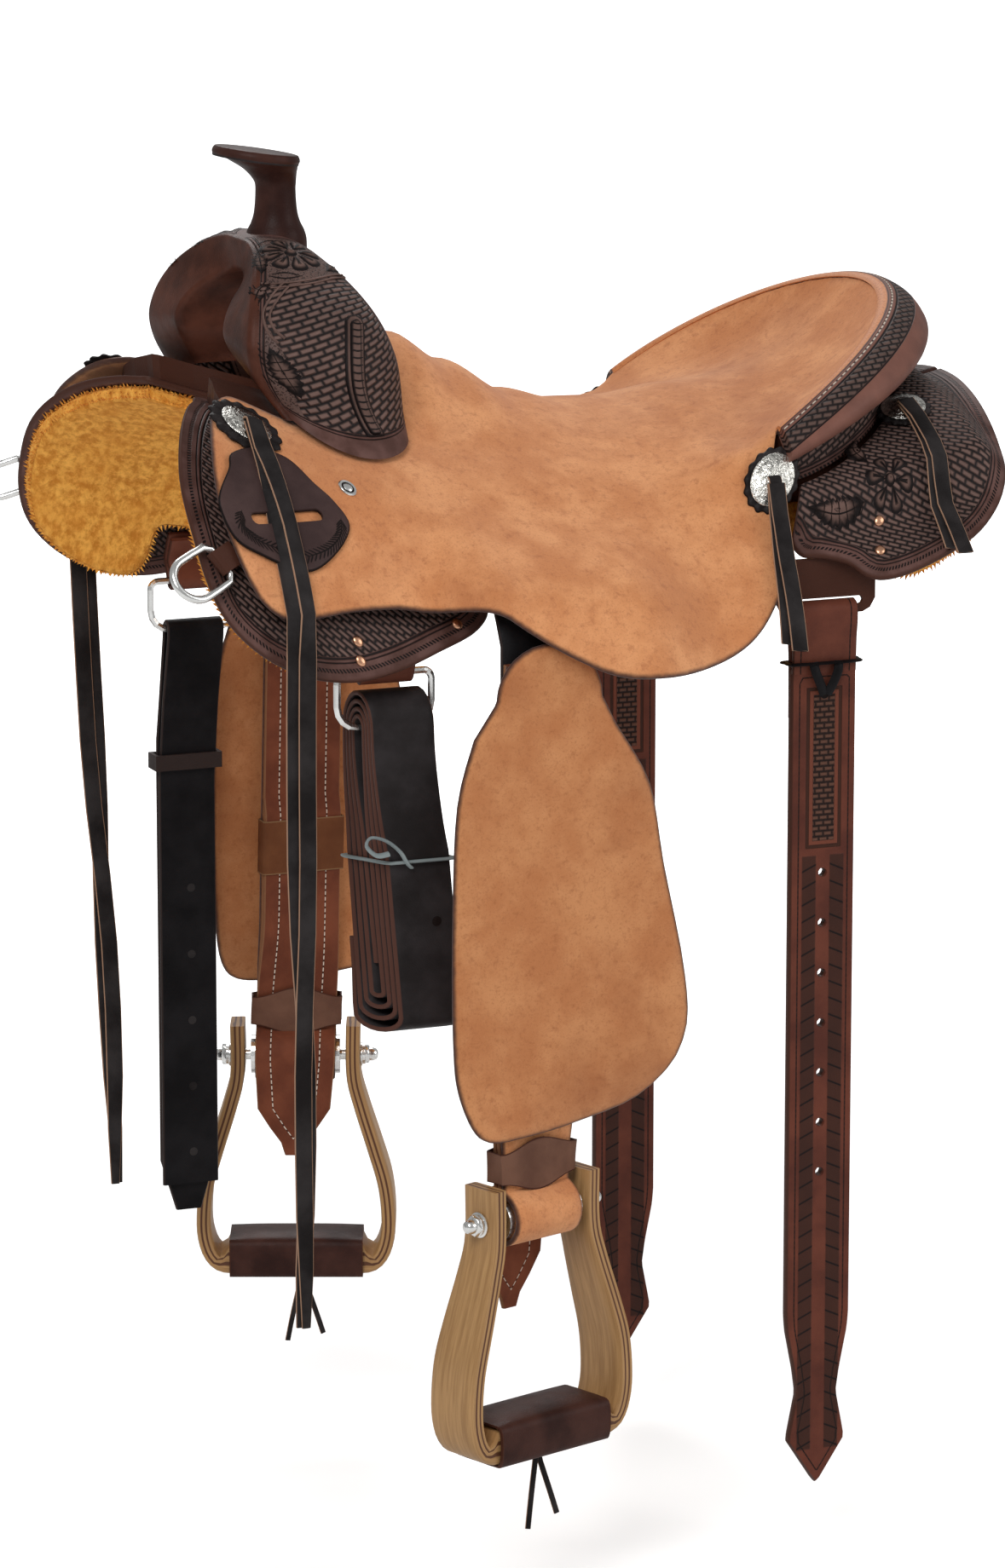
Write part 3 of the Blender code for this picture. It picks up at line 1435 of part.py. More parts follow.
def stirrup_leathers(label, side):
    swing = pivot(f"{label}_fender_body", (SWING_X, side * BOLT_Y, SWING_Z), (0, 1, 0))
    placed = hang(label, side)
    x0, x1 = SWING_X - STRAP_WIDTH / 2, SWING_X + STRAP_WIDTH / 2

    def top_path(x):
        bar_edge = BAR_WAIST_T + BAR_WAIST_SLOPE * -x
        line = [side_point(x, bar_edge, TOP_STRAP[0][1])]
        line += [side_point(x, t, lift) for t, lift in TOP_STRAP[1:]]
        return line + [(LEG_IN, -0.088), (LEG_IN, -0.152)]

    places = [lerp(x0, x1, i / 4) for i in range(5)]
    strap(f"{label}_stirrup_leather_top", top_path, STRAP_LEATHER, places, "black_leather", side)

    twisted = [TWIST_TOP_Z - 0.0125 * i for i in range(7)]
    foot = HOBBLE_TOP_Z - HOBBLE_HEIGHT - 0.003
    reach = math.hypot(LEG_OUT - BOLT_Y, foot - BOLT_Z)
    tangent = math.degrees(math.atan2(foot - BOLT_Z, LEG_OUT - BOLT_Y) - math.acos(LOOP_RADIUS / reach))
    path = [(LEG_OUT, z) for z in [-0.100, -0.240] + twisted + [foot]]
    path += arc((BOLT_Y, BOLT_Z), LOOP_RADIUS, tangent, -180 - tangent, 18)
    path += [(LEG_BACK, z) for z in [foot] + twisted[::-1] + [BUCKLE_TOP_Z - 0.006]]
    strap(
        f"{label}_stirrup_leather", lambda x: path, STRAP_LEATHER, places, "smooth_leather", side, swing, placed,
    )

    clear = LOOP_RADIUS + STRAP_LEATHER + 0.0009
    tail = [(LEG_BACK, -0.100), (LEG_BACK, BUCKLE_TOP_Z + 0.018), (LEG_IN, BUCKLE_TOP_Z + 0.004)]
    tail += [(LEG_IN, z) for z in [BUCKLE_TOP_Z - BUCKLE_HEIGHT] + twisted]
    tail += [(LEG_IN, HOBBLE_TOP_Z - HOBBLE_HEIGHT - 0.0006)]
    tail += [p for p in arc((BOLT_Y, BOLT_Z), clear, 127, 180, 5)]
    tail += [(BOLT_Y - clear, -0.535), (BOLT_Y - clear - 0.0005, TAIL_END_Z)]
    strap(
        f"{label}_stirrup_strap_tail", lambda x: tail, STRAP_LEATHER, places, "smooth_leather", side, swing, placed,
    )

    band(
        f"{label}_strap_sleeve", x0 - 0.0006, x1 + 0.0006,
        LEG_IN - STRAP_LEATHER / 2 - 0.0004, LEG_OUT + STRAP_LEATHER / 2 + 0.0004,
        BUCKLE_TOP_Z - BUCKLE_HEIGHT, BUCKLE_TOP_Z, BUCKLE_WALL, "steel", side, swing, placed,
    )
    band(
        f"{label}_hobble_strap", x0 - 0.0012, x1 + 0.0012,
        LEG_IN - STRAP_LEATHER / 2 - 0.0012, LEG_OUT + STRAP_LEATHER / 2 + 0.0010,
        HOBBLE_TOP_Z - HOBBLE_HEIGHT, HOBBLE_TOP_Z, HOBBLE_WALL, "smooth_leather", side, swing, placed,
    )
    crown = [
        (SWING_X + FENDER_TOP_RADIUS * math.cos(math.radians(a)), SWING_Z + FENDER_TOP_RADIUS * math.sin(math.radians(a)))
        for a in range(0, 181, 20)
    ]
    outline = crown + round_curve(FENDER_EDGE, 2, closed=False)
    plate(
        f"{label}_fender", [outline], FENDER_FACE_Y, FENDER_LEATHER, "roughout_tan", side, swing,
        (0.034, 0.026), twist(label, side),
    )
    return swing


BAR_WAIST_T = 0.1150
BAR_WAIST_SLOPE = 0.150
TOP_STRAP = ((0.139, 0.0335), (0.150, 0.0337), (0.162, 0.0342), (0.175, 0.0355), (0.188, 0.0370), (0.202, 0.0388), (0.216, 0.0400), (0.230, 0.0410))
FENDER_EDGE = (
    (-0.109, -0.150),
    (-0.130, -0.196),
    (-0.138, -0.270),
    (-0.139, -0.362),
    (-0.134, -0.415),
    (-0.121, -0.437),
    (-0.085, -0.438),
    (-0.045, -0.434),
    (0.006, -0.420),
    (0.037, -0.379),
    (0.038, -0.331),
    (0.021, -0.248),
    (0.010, -0.190),
    (-0.016, -0.145),
)

# Stirrups

STIRRUP_EDGE = (
    (STIRRUP_NECK_HALF, STIRRUP_RISE),
    (STIRRUP_NECK_HALF, -0.012),
    (0.0560, -0.036),
    (0.0665, -0.070),
    (0.0745, -0.098),
    (STIRRUP_HALF_WIDTH, -0.124),
    (0.0765, -0.145),
    (0.0700, -0.162),
    (0.0570, -STIRRUP_DROP),
)


def stirrup(label, side, swing):
    angle = -side * TWIST[label]
    turn = Matrix.Rotation(angle, 3, "Z")
    bolt = Vector((BOLT_X, side * BOLT_Y, BOLT_Z))
    along_bolt = turn @ Vector((1, 0, 0))
    body = pivot(f"{label}_stirrup_body", bolt, along_bolt)
    body.parent = swing
    body.matrix_parent_inverse = swing.matrix_world.inverted()

    def placed(x, out, z):
        return bolt + turn @ Vector((x, side * out, z))

    edge = round_curve(STIRRUP_EDGE, 3, closed=False)
    inner = [(x, z) for x, z in offset_path(edge, -STIRRUP_WALL) if z > STIRRUP_SOLE - STIRRUP_DROP + 0.004]
    floor = [(inner[-1][0] - 0.006, STIRRUP_SOLE - STIRRUP_DROP), (0.0, STIRRUP_SOLE - STIRRUP_DROP)]
    half = edge + [(0.0, -STIRRUP_DROP)]
    mirrored = [(-x, z) for x, z in reversed(half[:-1])]
    back = [(-x, z) for x, z in inner + floor[:-1]]
    outline = half + mirrored + back + floor[::-1] + inner[::-1]

    def depth(z):
        return lerp(0.0165, STIRRUP_DEPTH / 2, smooth(-z / 0.10))

    frame = sheet(
        f"{label}_stirrup_frame",
        [outline],
        lambda x, z: placed(x, depth(z), z),
        lambda x, z: placed(x, -depth(z), z),
        "stirrup_wood",
        None,
        body,
    )
    bm = bmesh.new()
    bmesh.ops.create_cone(
        bm, cap_ends=True, segments=16, radius1=BOLT_RADIUS + 0.0004, radius2=BOLT_RADIUS + 0.0004, depth=0.16,
        matrix=Matrix.Translation(bolt) @ (turn @ Matrix.Rotation(math.pi / 2, 3, "Y")).to_4x4(),
    )
    mesh = bpy.data.meshes.new(f"{label}_bolt_cut")
    bm.to_mesh(mesh)
    bm.free()
    cut = bpy.data.objects.new(f"{label}_bolt_cut", mesh)
    cut.hide_render = True
    cut.display_type = "WIRE"
    bpy.context.scene.collection.objects.link(cut)
    hole = frame.modifiers.new("bolt_hole", "BOOLEAN")
    hole.operation = "DIFFERENCE"
    hole.object = cut

    head = STIRRUP_NECK_HALF + 0.0005
    r = BOLT_RADIUS
    revolve(
        f"{label}_stirrup_bolt",
        [
            (0, -head - 0.0045), (0.0055, -head - 0.0045), (0.0078, -head - 0.003), (0.0078, -head), (r, -head),
            (r, -0.0345), (0.0150, -0.0345), (0.0150, 0.0345), (r, 0.0345),
            (r, head), (0.0078, head), (0.0078, head + 0.003), (0.0055, head + 0.0045), (0, head + 0.0045),
        ],
        bolt,
        along_bolt,
        "steel",
        24,
        body,
    )
    reach = STIRRUP_DEPTH / 2 + 0.0005
    top = STIRRUP_SOLE - STIRRUP_DROP + 0.0005
    low = -STIRRUP_DROP - 0.0005
    grow = TREAD_LEATHER
    sheet(
        f"{label}_stirrup_tread",
        [
            [(-reach - grow, low - grow), (reach + grow, low - grow), (reach + grow, top + grow), (-reach - grow, top + grow)],
            [(-reach, low), (reach, low), (reach, top), (-reach, top)],
        ],
        lambda out, z: placed(TREAD_HALF, out, z),
        lambda out, z: placed(-TREAD_HALF, out, z),
        "smooth_leather",
        None,
        body,
    )


def main():
    clear_scene()
    make_materials()
    for label, side in SIDES:
        tree_bar(label, side)
        skirts(label, side)
        keeper(label, side)
        rosette(label, side)
        front_rigging(label, side)
        rear_rigging(label, side)
        breast_dee(label, side)
        front_strings(label, side)
        stirrup(label, side, stirrup_leathers(label, side))
    tree_fork()
    swell_cover()
    horn()
    tree_cantle()
    cheyenne_roll()
    cantle_back()
    seat()
    near_latigo()
    off_billet()


main()
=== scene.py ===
import math
import random

import bmesh
import bpy
import numpy as np
from mathutils import Matrix, Vector, noise
from mathutils.geometry import delaunay_2d_cdt


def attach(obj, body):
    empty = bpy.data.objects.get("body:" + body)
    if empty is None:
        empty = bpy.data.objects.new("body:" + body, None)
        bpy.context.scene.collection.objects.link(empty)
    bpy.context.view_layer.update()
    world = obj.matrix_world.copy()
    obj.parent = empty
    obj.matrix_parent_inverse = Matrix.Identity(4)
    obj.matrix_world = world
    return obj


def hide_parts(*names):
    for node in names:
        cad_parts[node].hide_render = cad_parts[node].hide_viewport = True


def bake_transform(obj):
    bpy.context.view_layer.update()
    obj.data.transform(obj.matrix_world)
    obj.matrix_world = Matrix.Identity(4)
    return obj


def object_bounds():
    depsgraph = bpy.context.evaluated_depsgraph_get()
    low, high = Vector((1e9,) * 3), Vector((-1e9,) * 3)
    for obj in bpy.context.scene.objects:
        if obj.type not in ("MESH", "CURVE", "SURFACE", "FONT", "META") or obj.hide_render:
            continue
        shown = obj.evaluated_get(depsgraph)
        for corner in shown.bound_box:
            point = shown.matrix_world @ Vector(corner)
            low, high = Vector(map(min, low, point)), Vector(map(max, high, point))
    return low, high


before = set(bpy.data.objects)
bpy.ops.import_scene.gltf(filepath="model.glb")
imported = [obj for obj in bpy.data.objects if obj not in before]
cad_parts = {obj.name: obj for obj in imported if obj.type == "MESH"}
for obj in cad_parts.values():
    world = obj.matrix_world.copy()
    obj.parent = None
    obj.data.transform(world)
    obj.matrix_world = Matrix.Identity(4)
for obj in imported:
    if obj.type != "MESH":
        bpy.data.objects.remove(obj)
CAD_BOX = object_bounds()
random.seed(7)

# Sizes shared with the frame, in metres; -X towards the horse's head, -Y the near side
BARREL_RADIUS = 0.225
BARREL_WIDENING = 0.28
WIDENING_START_X = -0.20
RIDGE_LOW_Z = -0.002
RIDGE_LOW_X = 0.10
RIDGE_ROCK = 0.49
BARREL_WRAP = math.radians(72)
LAYER_GAP = 0.0007
FLEECE = 0.012
SKIRT_LEATHER = 0.005
SEAT_LEATHER = 0.0042
STRAP_LEATHER = 0.004
BAR_THICKNESS = 0.018
FORK_TOP_Z = 0.182
GULLET_TOP_Z = 0.152
GULLET_HALF_WIDTH = 0.052
COVER_LEATHER = 0.004
FORK_FOOT_HALF_WIDTH = 0.145
BAR_INNER = 0.050
HORN_X = -0.1755
HORN_CAP_CENTRE = (-0.190, 0.236)
HORN_CAP_TILT = math.radians(8.5)
SEAT_CROWN_HALF = 0.115
CANTLE_X = 0.136
CANTLE_RADIUS = 0.152
CANTLE_END_Z = 0.026
CANTLE_RISE = 0.097
CANTLE_SWEEP = math.radians(84)
ROLL_WIDTH = 0.036
ROLL_END_WIDTH = 0.010
POCKET_LIFT = 0.031
SKIRT_LOW = FLEECE + LAYER_GAP
SKIRT_TOP = SKIRT_LOW + SKIRT_LEATHER
BAR_TOP = SKIRT_TOP + LAYER_GAP + BAR_THICKNESS
SEAT_TOP = BAR_TOP + LAYER_GAP + SEAT_LEATHER
LOBE_TOP = 0.034
REAR_HIGH = SEAT_TOP + 0.0008

FENDER_FACE_Y = 0.2535
FENDER_LEATHER = 0.004
SWING_X = -0.0660
SWING_Z = -0.1250
STRAP_WIDTH = 0.062
STRAP_LEAN = 0.025
BUCKLE_TOP_Z = -0.308
BUCKLE_HEIGHT = 0.042
HOBBLE_TOP_Z = -0.4445
HOBBLE_HEIGHT = 0.030
TAIL_END_Z = -0.572
BOLT_Z = -0.497
LOOP_RADIUS = 0.0177
STIRRUP_NECK_HALF = 0.0505
STIRRUP_WALL = 0.011
STIRRUP_DROP = 0.171
STIRRUP_SOLE = 0.024
STIRRUP_DEPTH = 0.045
TREAD_HALF = 0.052
TWIST = {"near": math.radians(20), "off": math.radians(22)}
TWIST_TOP_Z = -0.385
TWIST_END_Z = -0.468
BOLT_X = SWING_X + STRAP_LEAN * (BOLT_Z - SWING_Z)
LEG_OUT = FENDER_FACE_Y - FENDER_LEATHER - 0.0018 - STRAP_LEATHER / 2
LEG_BACK = LEG_OUT - STRAP_LEATHER - 0.0004
LEG_IN = LEG_BACK - STRAP_LEATHER - 0.0004
BOLT_Y = (LEG_OUT + LEG_BACK) / 2

RIG_X = -0.170
RIG_Y = 0.200
RIG_DEE_Z = -0.1262
RIG_DEE_HEIGHT = 0.0428
RIG_WIRE = 0.0027
RIG_LOW_Z = RIG_DEE_Z - RIG_DEE_HEIGHT / 2 + RIG_WIRE
LATIGO_WIDTH = 0.047
LATIGO_THICKNESS = 0.0034
LATIGO_TIE_Z = -0.240
LATIGO_BOTTOM_Z = -0.368
LATIGO_LAYERS = 8
LATIGO_FIRST = 0.0078
LATIGO_PITCH = 0.0046
LATIGO_TIED_FIRST = 0.0024
LATIGO_TIED_PITCH = 0.0043
BILLET_WIDTH = 0.0445
BILLET_END_Z = -0.600
FLANK_X = 0.1755
FLANK_Y = 0.1815
FLANK_SLOT_Z = -0.0840
FLANK_SLOT_HEIGHT = 0.0062
FLANK_BAR = 0.0058
FLANK_WIDTH = 0.0508
FLANK_END_Z = -0.747
STRING_X = -0.235
STRING_T = 0.198
STRING_END_Z = -0.575
STRING_WIDTH = 0.013
STRING_THICKNESS = 0.0024
ROSETTE = (-0.2501, 0.1224)
STRING_SEEN_X = -0.2455

BREAST_DEE = (-0.2945, 0.228)
BREAST_DEE_HALF = 0.0155
BREAST_TURN = math.radians(40)
BREAST_WIRE = 0.0029

# Small fittings
KEEPER_LIFT = 0.0036
KEEPER_LEATHER = 0.0034
RIVET_RADIUS = 0.0040
HORN_FOOT_Z = 0.1810
HORN_WAIST = 0.0148
HOLE_PITCH = 0.0022
ROSETTE_PETALS = 15

SIDES = (("near", -1), ("off", 1))


# Numbers and curves

def ease(value):
    value = min(max(value, 0.0), 1.0)
    return value * value * (3 - 2 * value)


def lerp(a, b, share):
    return a + (b - a) * share


def along(table, value):
    """Value from a table, eased between its points."""
    if value <= table[0][0]:
        return table[0][1]
    for (a, low), (b, high) in zip(table, table[1:]):
        if value <= b:
            return lerp(low, high, ease((value - a) / (b - a)))
    return table[-1][1]


def glide(table, value):
    """Smooth curve through a table's points."""
    last = len(table) - 1
    value = min(max(value, table[0][0]), table[last][0])
    i = min(max((j for j in range(last) if table[j][0] <= value), default=0), last - 1)
    slopes = []
    for j in (i, i + 1):
        before, after = table[max(j - 1, 0)], table[min(j + 1, last)]
        slopes.append((after[1] - before[1]) / (after[0] - before[0]))
    (a, low), (b, high) = table[i], table[i + 1]
    s = (value - a) / (b - a)
    return (
        low * (1 + 2 * s) * (1 - s) ** 2 + high * s * s * (3 - 2 * s)
        + (b - a) * s * (1 - s) * (slopes[0] * (1 - s) - slopes[1] * s)
    )


def catmull_rom(p, s):
    """Point at share s between the middle two of four points."""
    return [
        0.5 * (2 * b + (c - a) * s + (2 * a - 5 * b + 4 * c - d) * s * s + (3 * b - a - 3 * c + d) * s ** 3)
        for a, b, c, d in zip(*p)
    ]


def round_curve(points, steps=4, closed=True):
    """Smooth curve through the points."""
    count = len(points)
    made = []
    for i in range(count if closed else count - 1):
        if closed:
            p = [points[(i + k) % count] for k in (-1, 0, 1, 2)]
        else:
            p = [points[min(max(i + k, 0), count - 1)] for k in (-1, 0, 1, 2)]
        made += [tuple(catmull_rom(p, k / steps)) for k in range(steps)]
    if not closed:
        made.append(tuple(points[-1]))
    return made


def running(points):
    """Length of a line up to each of its points."""
    lengths = [0.0]
    for a, b in zip(points, points[1:]):
        lengths.append(lengths[-1] + math.dist(a, b))
    return lengths


def resample(points, pitch, closed=True):
    """Points at an even pitch along a line."""
    line = list(points) + ([points[0]] if closed else [])
    lengths = running(line)
    count = max(3, round(lengths[-1] / pitch))
    made = []
    j = 0
    for i in range(count + (0 if closed else 1)):
        want = lengths[-1] * i / count
        while j < len(line) - 2 and lengths[j + 1] < want:
            j += 1
        share = (want - lengths[j]) / max(lengths[j + 1] - lengths[j], 1e-9)
        made.append(tuple(lerp(a, b, share) for a, b in zip(line[j], line[j + 1])))
    return made


def offset_loop(loop, distance):
    """Closed outline moved inwards by a distance."""
    area = sum(a[0] * b[1] - b[0] * a[1] for a, b in zip(loop, loop[1:] + loop[:1]))
    sign = 1 if area > 0 else -1
    made = []
    for i, here in enumerate(loop):
        before, after = loop[i - 1], loop[(i + 1) % len(loop)]
        first = (Vector(here) - Vector(before)).normalized()
        second = (Vector(after) - Vector(here)).normalized()
        normal = Vector((-(first.y + second.y), first.x + second.x)).normalized() * sign
        share = max(normal.dot(Vector((-first.y, first.x))) * sign, 0.6)
        made.append(tuple(Vector(here) + normal * distance / share))
    return made


def offset_path(path, distance):
    """Open line moved sideways by a distance."""
    made = []
    for i, point in enumerate(path):
        before = Vector(path[max(i - 1, 0)])
        after = Vector(path[min(i + 1, len(path) - 1)])
        here = Vector(point)
        first = (here - before).normalized() if i > 0 else (after - here).normalized()
        second = (after - here).normalized() if i < len(path) - 1 else first
        normal = Vector((-(first.y + second.y), first.x + second.x)).normalized()
        share = max(normal.dot(Vector((-first.y, first.x))), 0.5)
        made.append(tuple(here + normal * distance / share))
    return made


def arc(centre, radius, start, end, count, squash=1.0):
    """Points of an arc from one angle to another, in degrees."""
    turns = [math.radians(lerp(start, end, i / count)) for i in range(count + 1)]
    return [(centre[0] + radius * math.cos(t), centre[1] + radius * squash * math.sin(t)) for t in turns]


def circle(centre, first, second, radius, count, start=0.0):
    """Points round a centre, in the plane of two directions."""
    turns = [start + math.tau * i / count for i in range(count)]
    return [centre + (first * math.cos(t) + second * math.sin(t)) * radius for t in turns]


# The saddle's surfaces, the same as the frame's

def barrel_radius(x):
    return BARREL_RADIUS + BARREL_WIDENING * max(0.0, x - WIDENING_START_X) ** 2


def ridge_z(x):
    return RIDGE_LOW_Z + RIDGE_ROCK * (x - RIDGE_LOW_X) ** 2


def skin(x, t, lift):
    """Point at arc length t from the ridge (signed, off side positive), lifted along the normal."""
    radius = barrel_radius(x)
    angle = min(abs(t) / radius, BARREL_WRAP)
    rest = abs(t) - radius * angle
    y = (radius + lift) * math.sin(angle) + rest * math.cos(BARREL_WRAP)
    z = ridge_z(x) - radius + (radius + lift) * math.cos(angle) - rest * math.sin(BARREL_WRAP)
    return Vector((x, math.copysign(y, t), z))


def arc_of(x, y, lift):
    """Arc length at which the lifted skin reaches y."""
    radius = barrel_radius(x)
    return math.copysign(radius * math.asin(min(abs(y) / (radius + lift), 0.95)), y)


def section_point(x, t, lift):
    """A skin point's (y, z), for straps drawn across the saddle."""
    point = skin(x, t, lift)
    return point.y, point.z


def mirrored(surface, side):
    """The surface on one side, as place(a, b, height) with b counted outwards."""
    return lambda a, b, h=0.0: surface(a, side * b, h)


def rim_z(angle):
    return CANTLE_END_Z + CANTLE_RISE * max(math.cos(angle), 0.0) ** 0.9


SEAT_LINE = (
    (-0.125, 0.121), (-0.09, 0.103), (-0.05, 0.081), (0.0, 0.056), (0.045, 0.046), (0.09, 0.045), (0.136,
                                                                                                   0.052),
)


def seat_raise(x, y):
    crown = max(1 - (abs(y) / SEAT_CROWN_HALF) ** 2, 0.0) ** 2
    middle = (along(SEAT_LINE, min(x, CANTLE_X)) - skin(min(x, CANTLE_X), 0.0, SEAT_TOP).z) * crown
    behind = max(x - CANTLE_X, 0.0)
    reach = math.hypot(behind, y) / CANTLE_RADIUS
    if behind > 0:
        middle *= max(1 - reach * reach, 0.0)
    angle = math.atan2(abs(y), behind) if reach > 0 else 0.0
    edge = Vector((CANTLE_X + CANTLE_RADIUS * math.cos(angle), CANTLE_RADIUS * math.sin(angle)))
    lift = rim_z(angle) - skin(edge.x, arc_of(edge.x, edge.y, SEAT_TOP), SEAT_TOP).z
    ahead = ease((x - 0.055) / (CANTLE_X - 0.055))
    outside = 1 - ease((reach - 1.0) * CANTLE_RADIUS / 0.028)
    return middle + lift * min(reach, 1.0) ** 3 * ahead * outside


def jockey_lift(x, t):
    low = ease((abs(t) - 0.150) / 0.060)
    along_x = ease((x + 0.150) / 0.055) * (1 - ease(x / 0.085))
    return lerp(SEAT_TOP, LOBE_TOP, low) + POCKET_LIFT * along_x * ease((abs(t) - 0.145) / 0.085)


def seat_point(x, t, height=0.0):
    """Point of the seat and jockeys, a height above their top face."""
    point = skin(x, t, jockey_lift(x, t) + height)
    point.z += seat_raise(x, point.y)
    return point


def rear_lift(x, t):
    over = (1 - ease((abs(t) - 0.148) / 0.034)) * (1 - ease((x - 0.303) / 0.034))
    return lerp(SKIRT_TOP + SKIRT_LEATHER, REAR_HIGH + SKIRT_LEATHER, over)


def rear_point(x, t, height=0.0):
    return skin(x, t, rear_lift(x, t) + height)


def front_skirt_point(x, t, height=0.0):
    return skin(x, t, SKIRT_TOP + height)


FORK_PROFILE = (
    (0.0, 1.0), (0.030, 0.993), (0.062, 0.930), (0.091, 0.812), (0.114, 0.646),
    (0.127, 0.458), (0.130, 0.278), (0.134, 0.130), (0.145, 0.0),
)
FORK_FRONT = ((0.0, -0.214), (0.25, -0.232), (0.45, -0.236), (0.75, -0.226), (1.0, -0.207))
FORK_REAR = ((0.0, -0.116), (0.25, -0.117), (0.45, -0.121), (0.70, -0.131), (1.0, -0.150))
FORK_SPAN = len(FORK_PROFILE) - 1


def fork_outline(index):
    """Half width and height share of the fork at a place down its profile, on a smooth curve."""
    low = min(int(index), FORK_SPAN - 1)
    share = index - low
    p = [FORK_PROFILE[min(max(low + k, 0), FORK_SPAN)] for k in (-1, 0, 1, 2)]
    if low == 0:
        p[0] = (-p[2][0], p[2][1])
    return catmull_rom(p, share)


def fork_point(s, u):
    """Outer face of the fork; s runs from the near foot to the off foot, u from front to rear."""
    width, height = fork_outline(min(abs(s), FORK_SPAN))
    height = min(max(height, 0.0), 1.0)
    waist = lerp(0.72, 1.0, max(1 - (2 * u - 1) ** 2, 0.0) ** 0.55)
    x = lerp(glide(FORK_FRONT, height), glide(FORK_REAR, height), u)
    foot_x = lerp(FORK_FRONT[0][1], FORK_REAR[0][1], u)
    foot_y = FORK_FOOT_HALF_WIDTH * waist
    foot = seat_point(foot_x, arc_of(foot_x, foot_y, SEAT_TOP)).z + COVER_LEATHER + 0.0014
    top = FORK_TOP_Z - 0.010 * (2 * u - 0.8) ** 2 - 0.006 * u
    return Vector((x, math.copysign(width * lerp(waist, 1.0, 0.35 * height), s), lerp(foot, top, height)))


def fork_normal(s, u):
    step = 0.02
    du = fork_point(s, min(u + step, 1)) - fork_point(s, max(u - step, 0))
    ds = fork_point(min(s + 0.15, FORK_SPAN), u) - fork_point(max(s - 0.15, -FORK_SPAN), u)
    normal = ds.cross(du).normalized()
    return normal if normal.dot(fork_point(s, u) - Vector((-0.18, 0, 0.06))) > 0 else -normal


def twist(label, side):
    """Turn of the stirrup leathers about the upright through the bolt."""
    centre = Vector((BOLT_X, side * BOLT_Y, 0))

    def turned(p):
        angle = -side * TWIST[label] * ease((TWIST_TOP_Z - p.z) / (TWIST_TOP_Z - TWIST_END_Z))
        flat = Matrix.Rotation(angle, 3, "Z") @ Vector((p.x - centre.x, p.y - centre.y, 0))
        return Vector((centre.x + flat.x, centre.y + flat.y, p.z))

    return turned


def hang(label, side):
    """Lean and turn of the stirrup leathers."""
    turned = twist(label, side)
    return lambda p: turned(Vector((p.x + STRAP_LEAN * (p.z - SWING_Z), p.y, p.z)))


# Materials

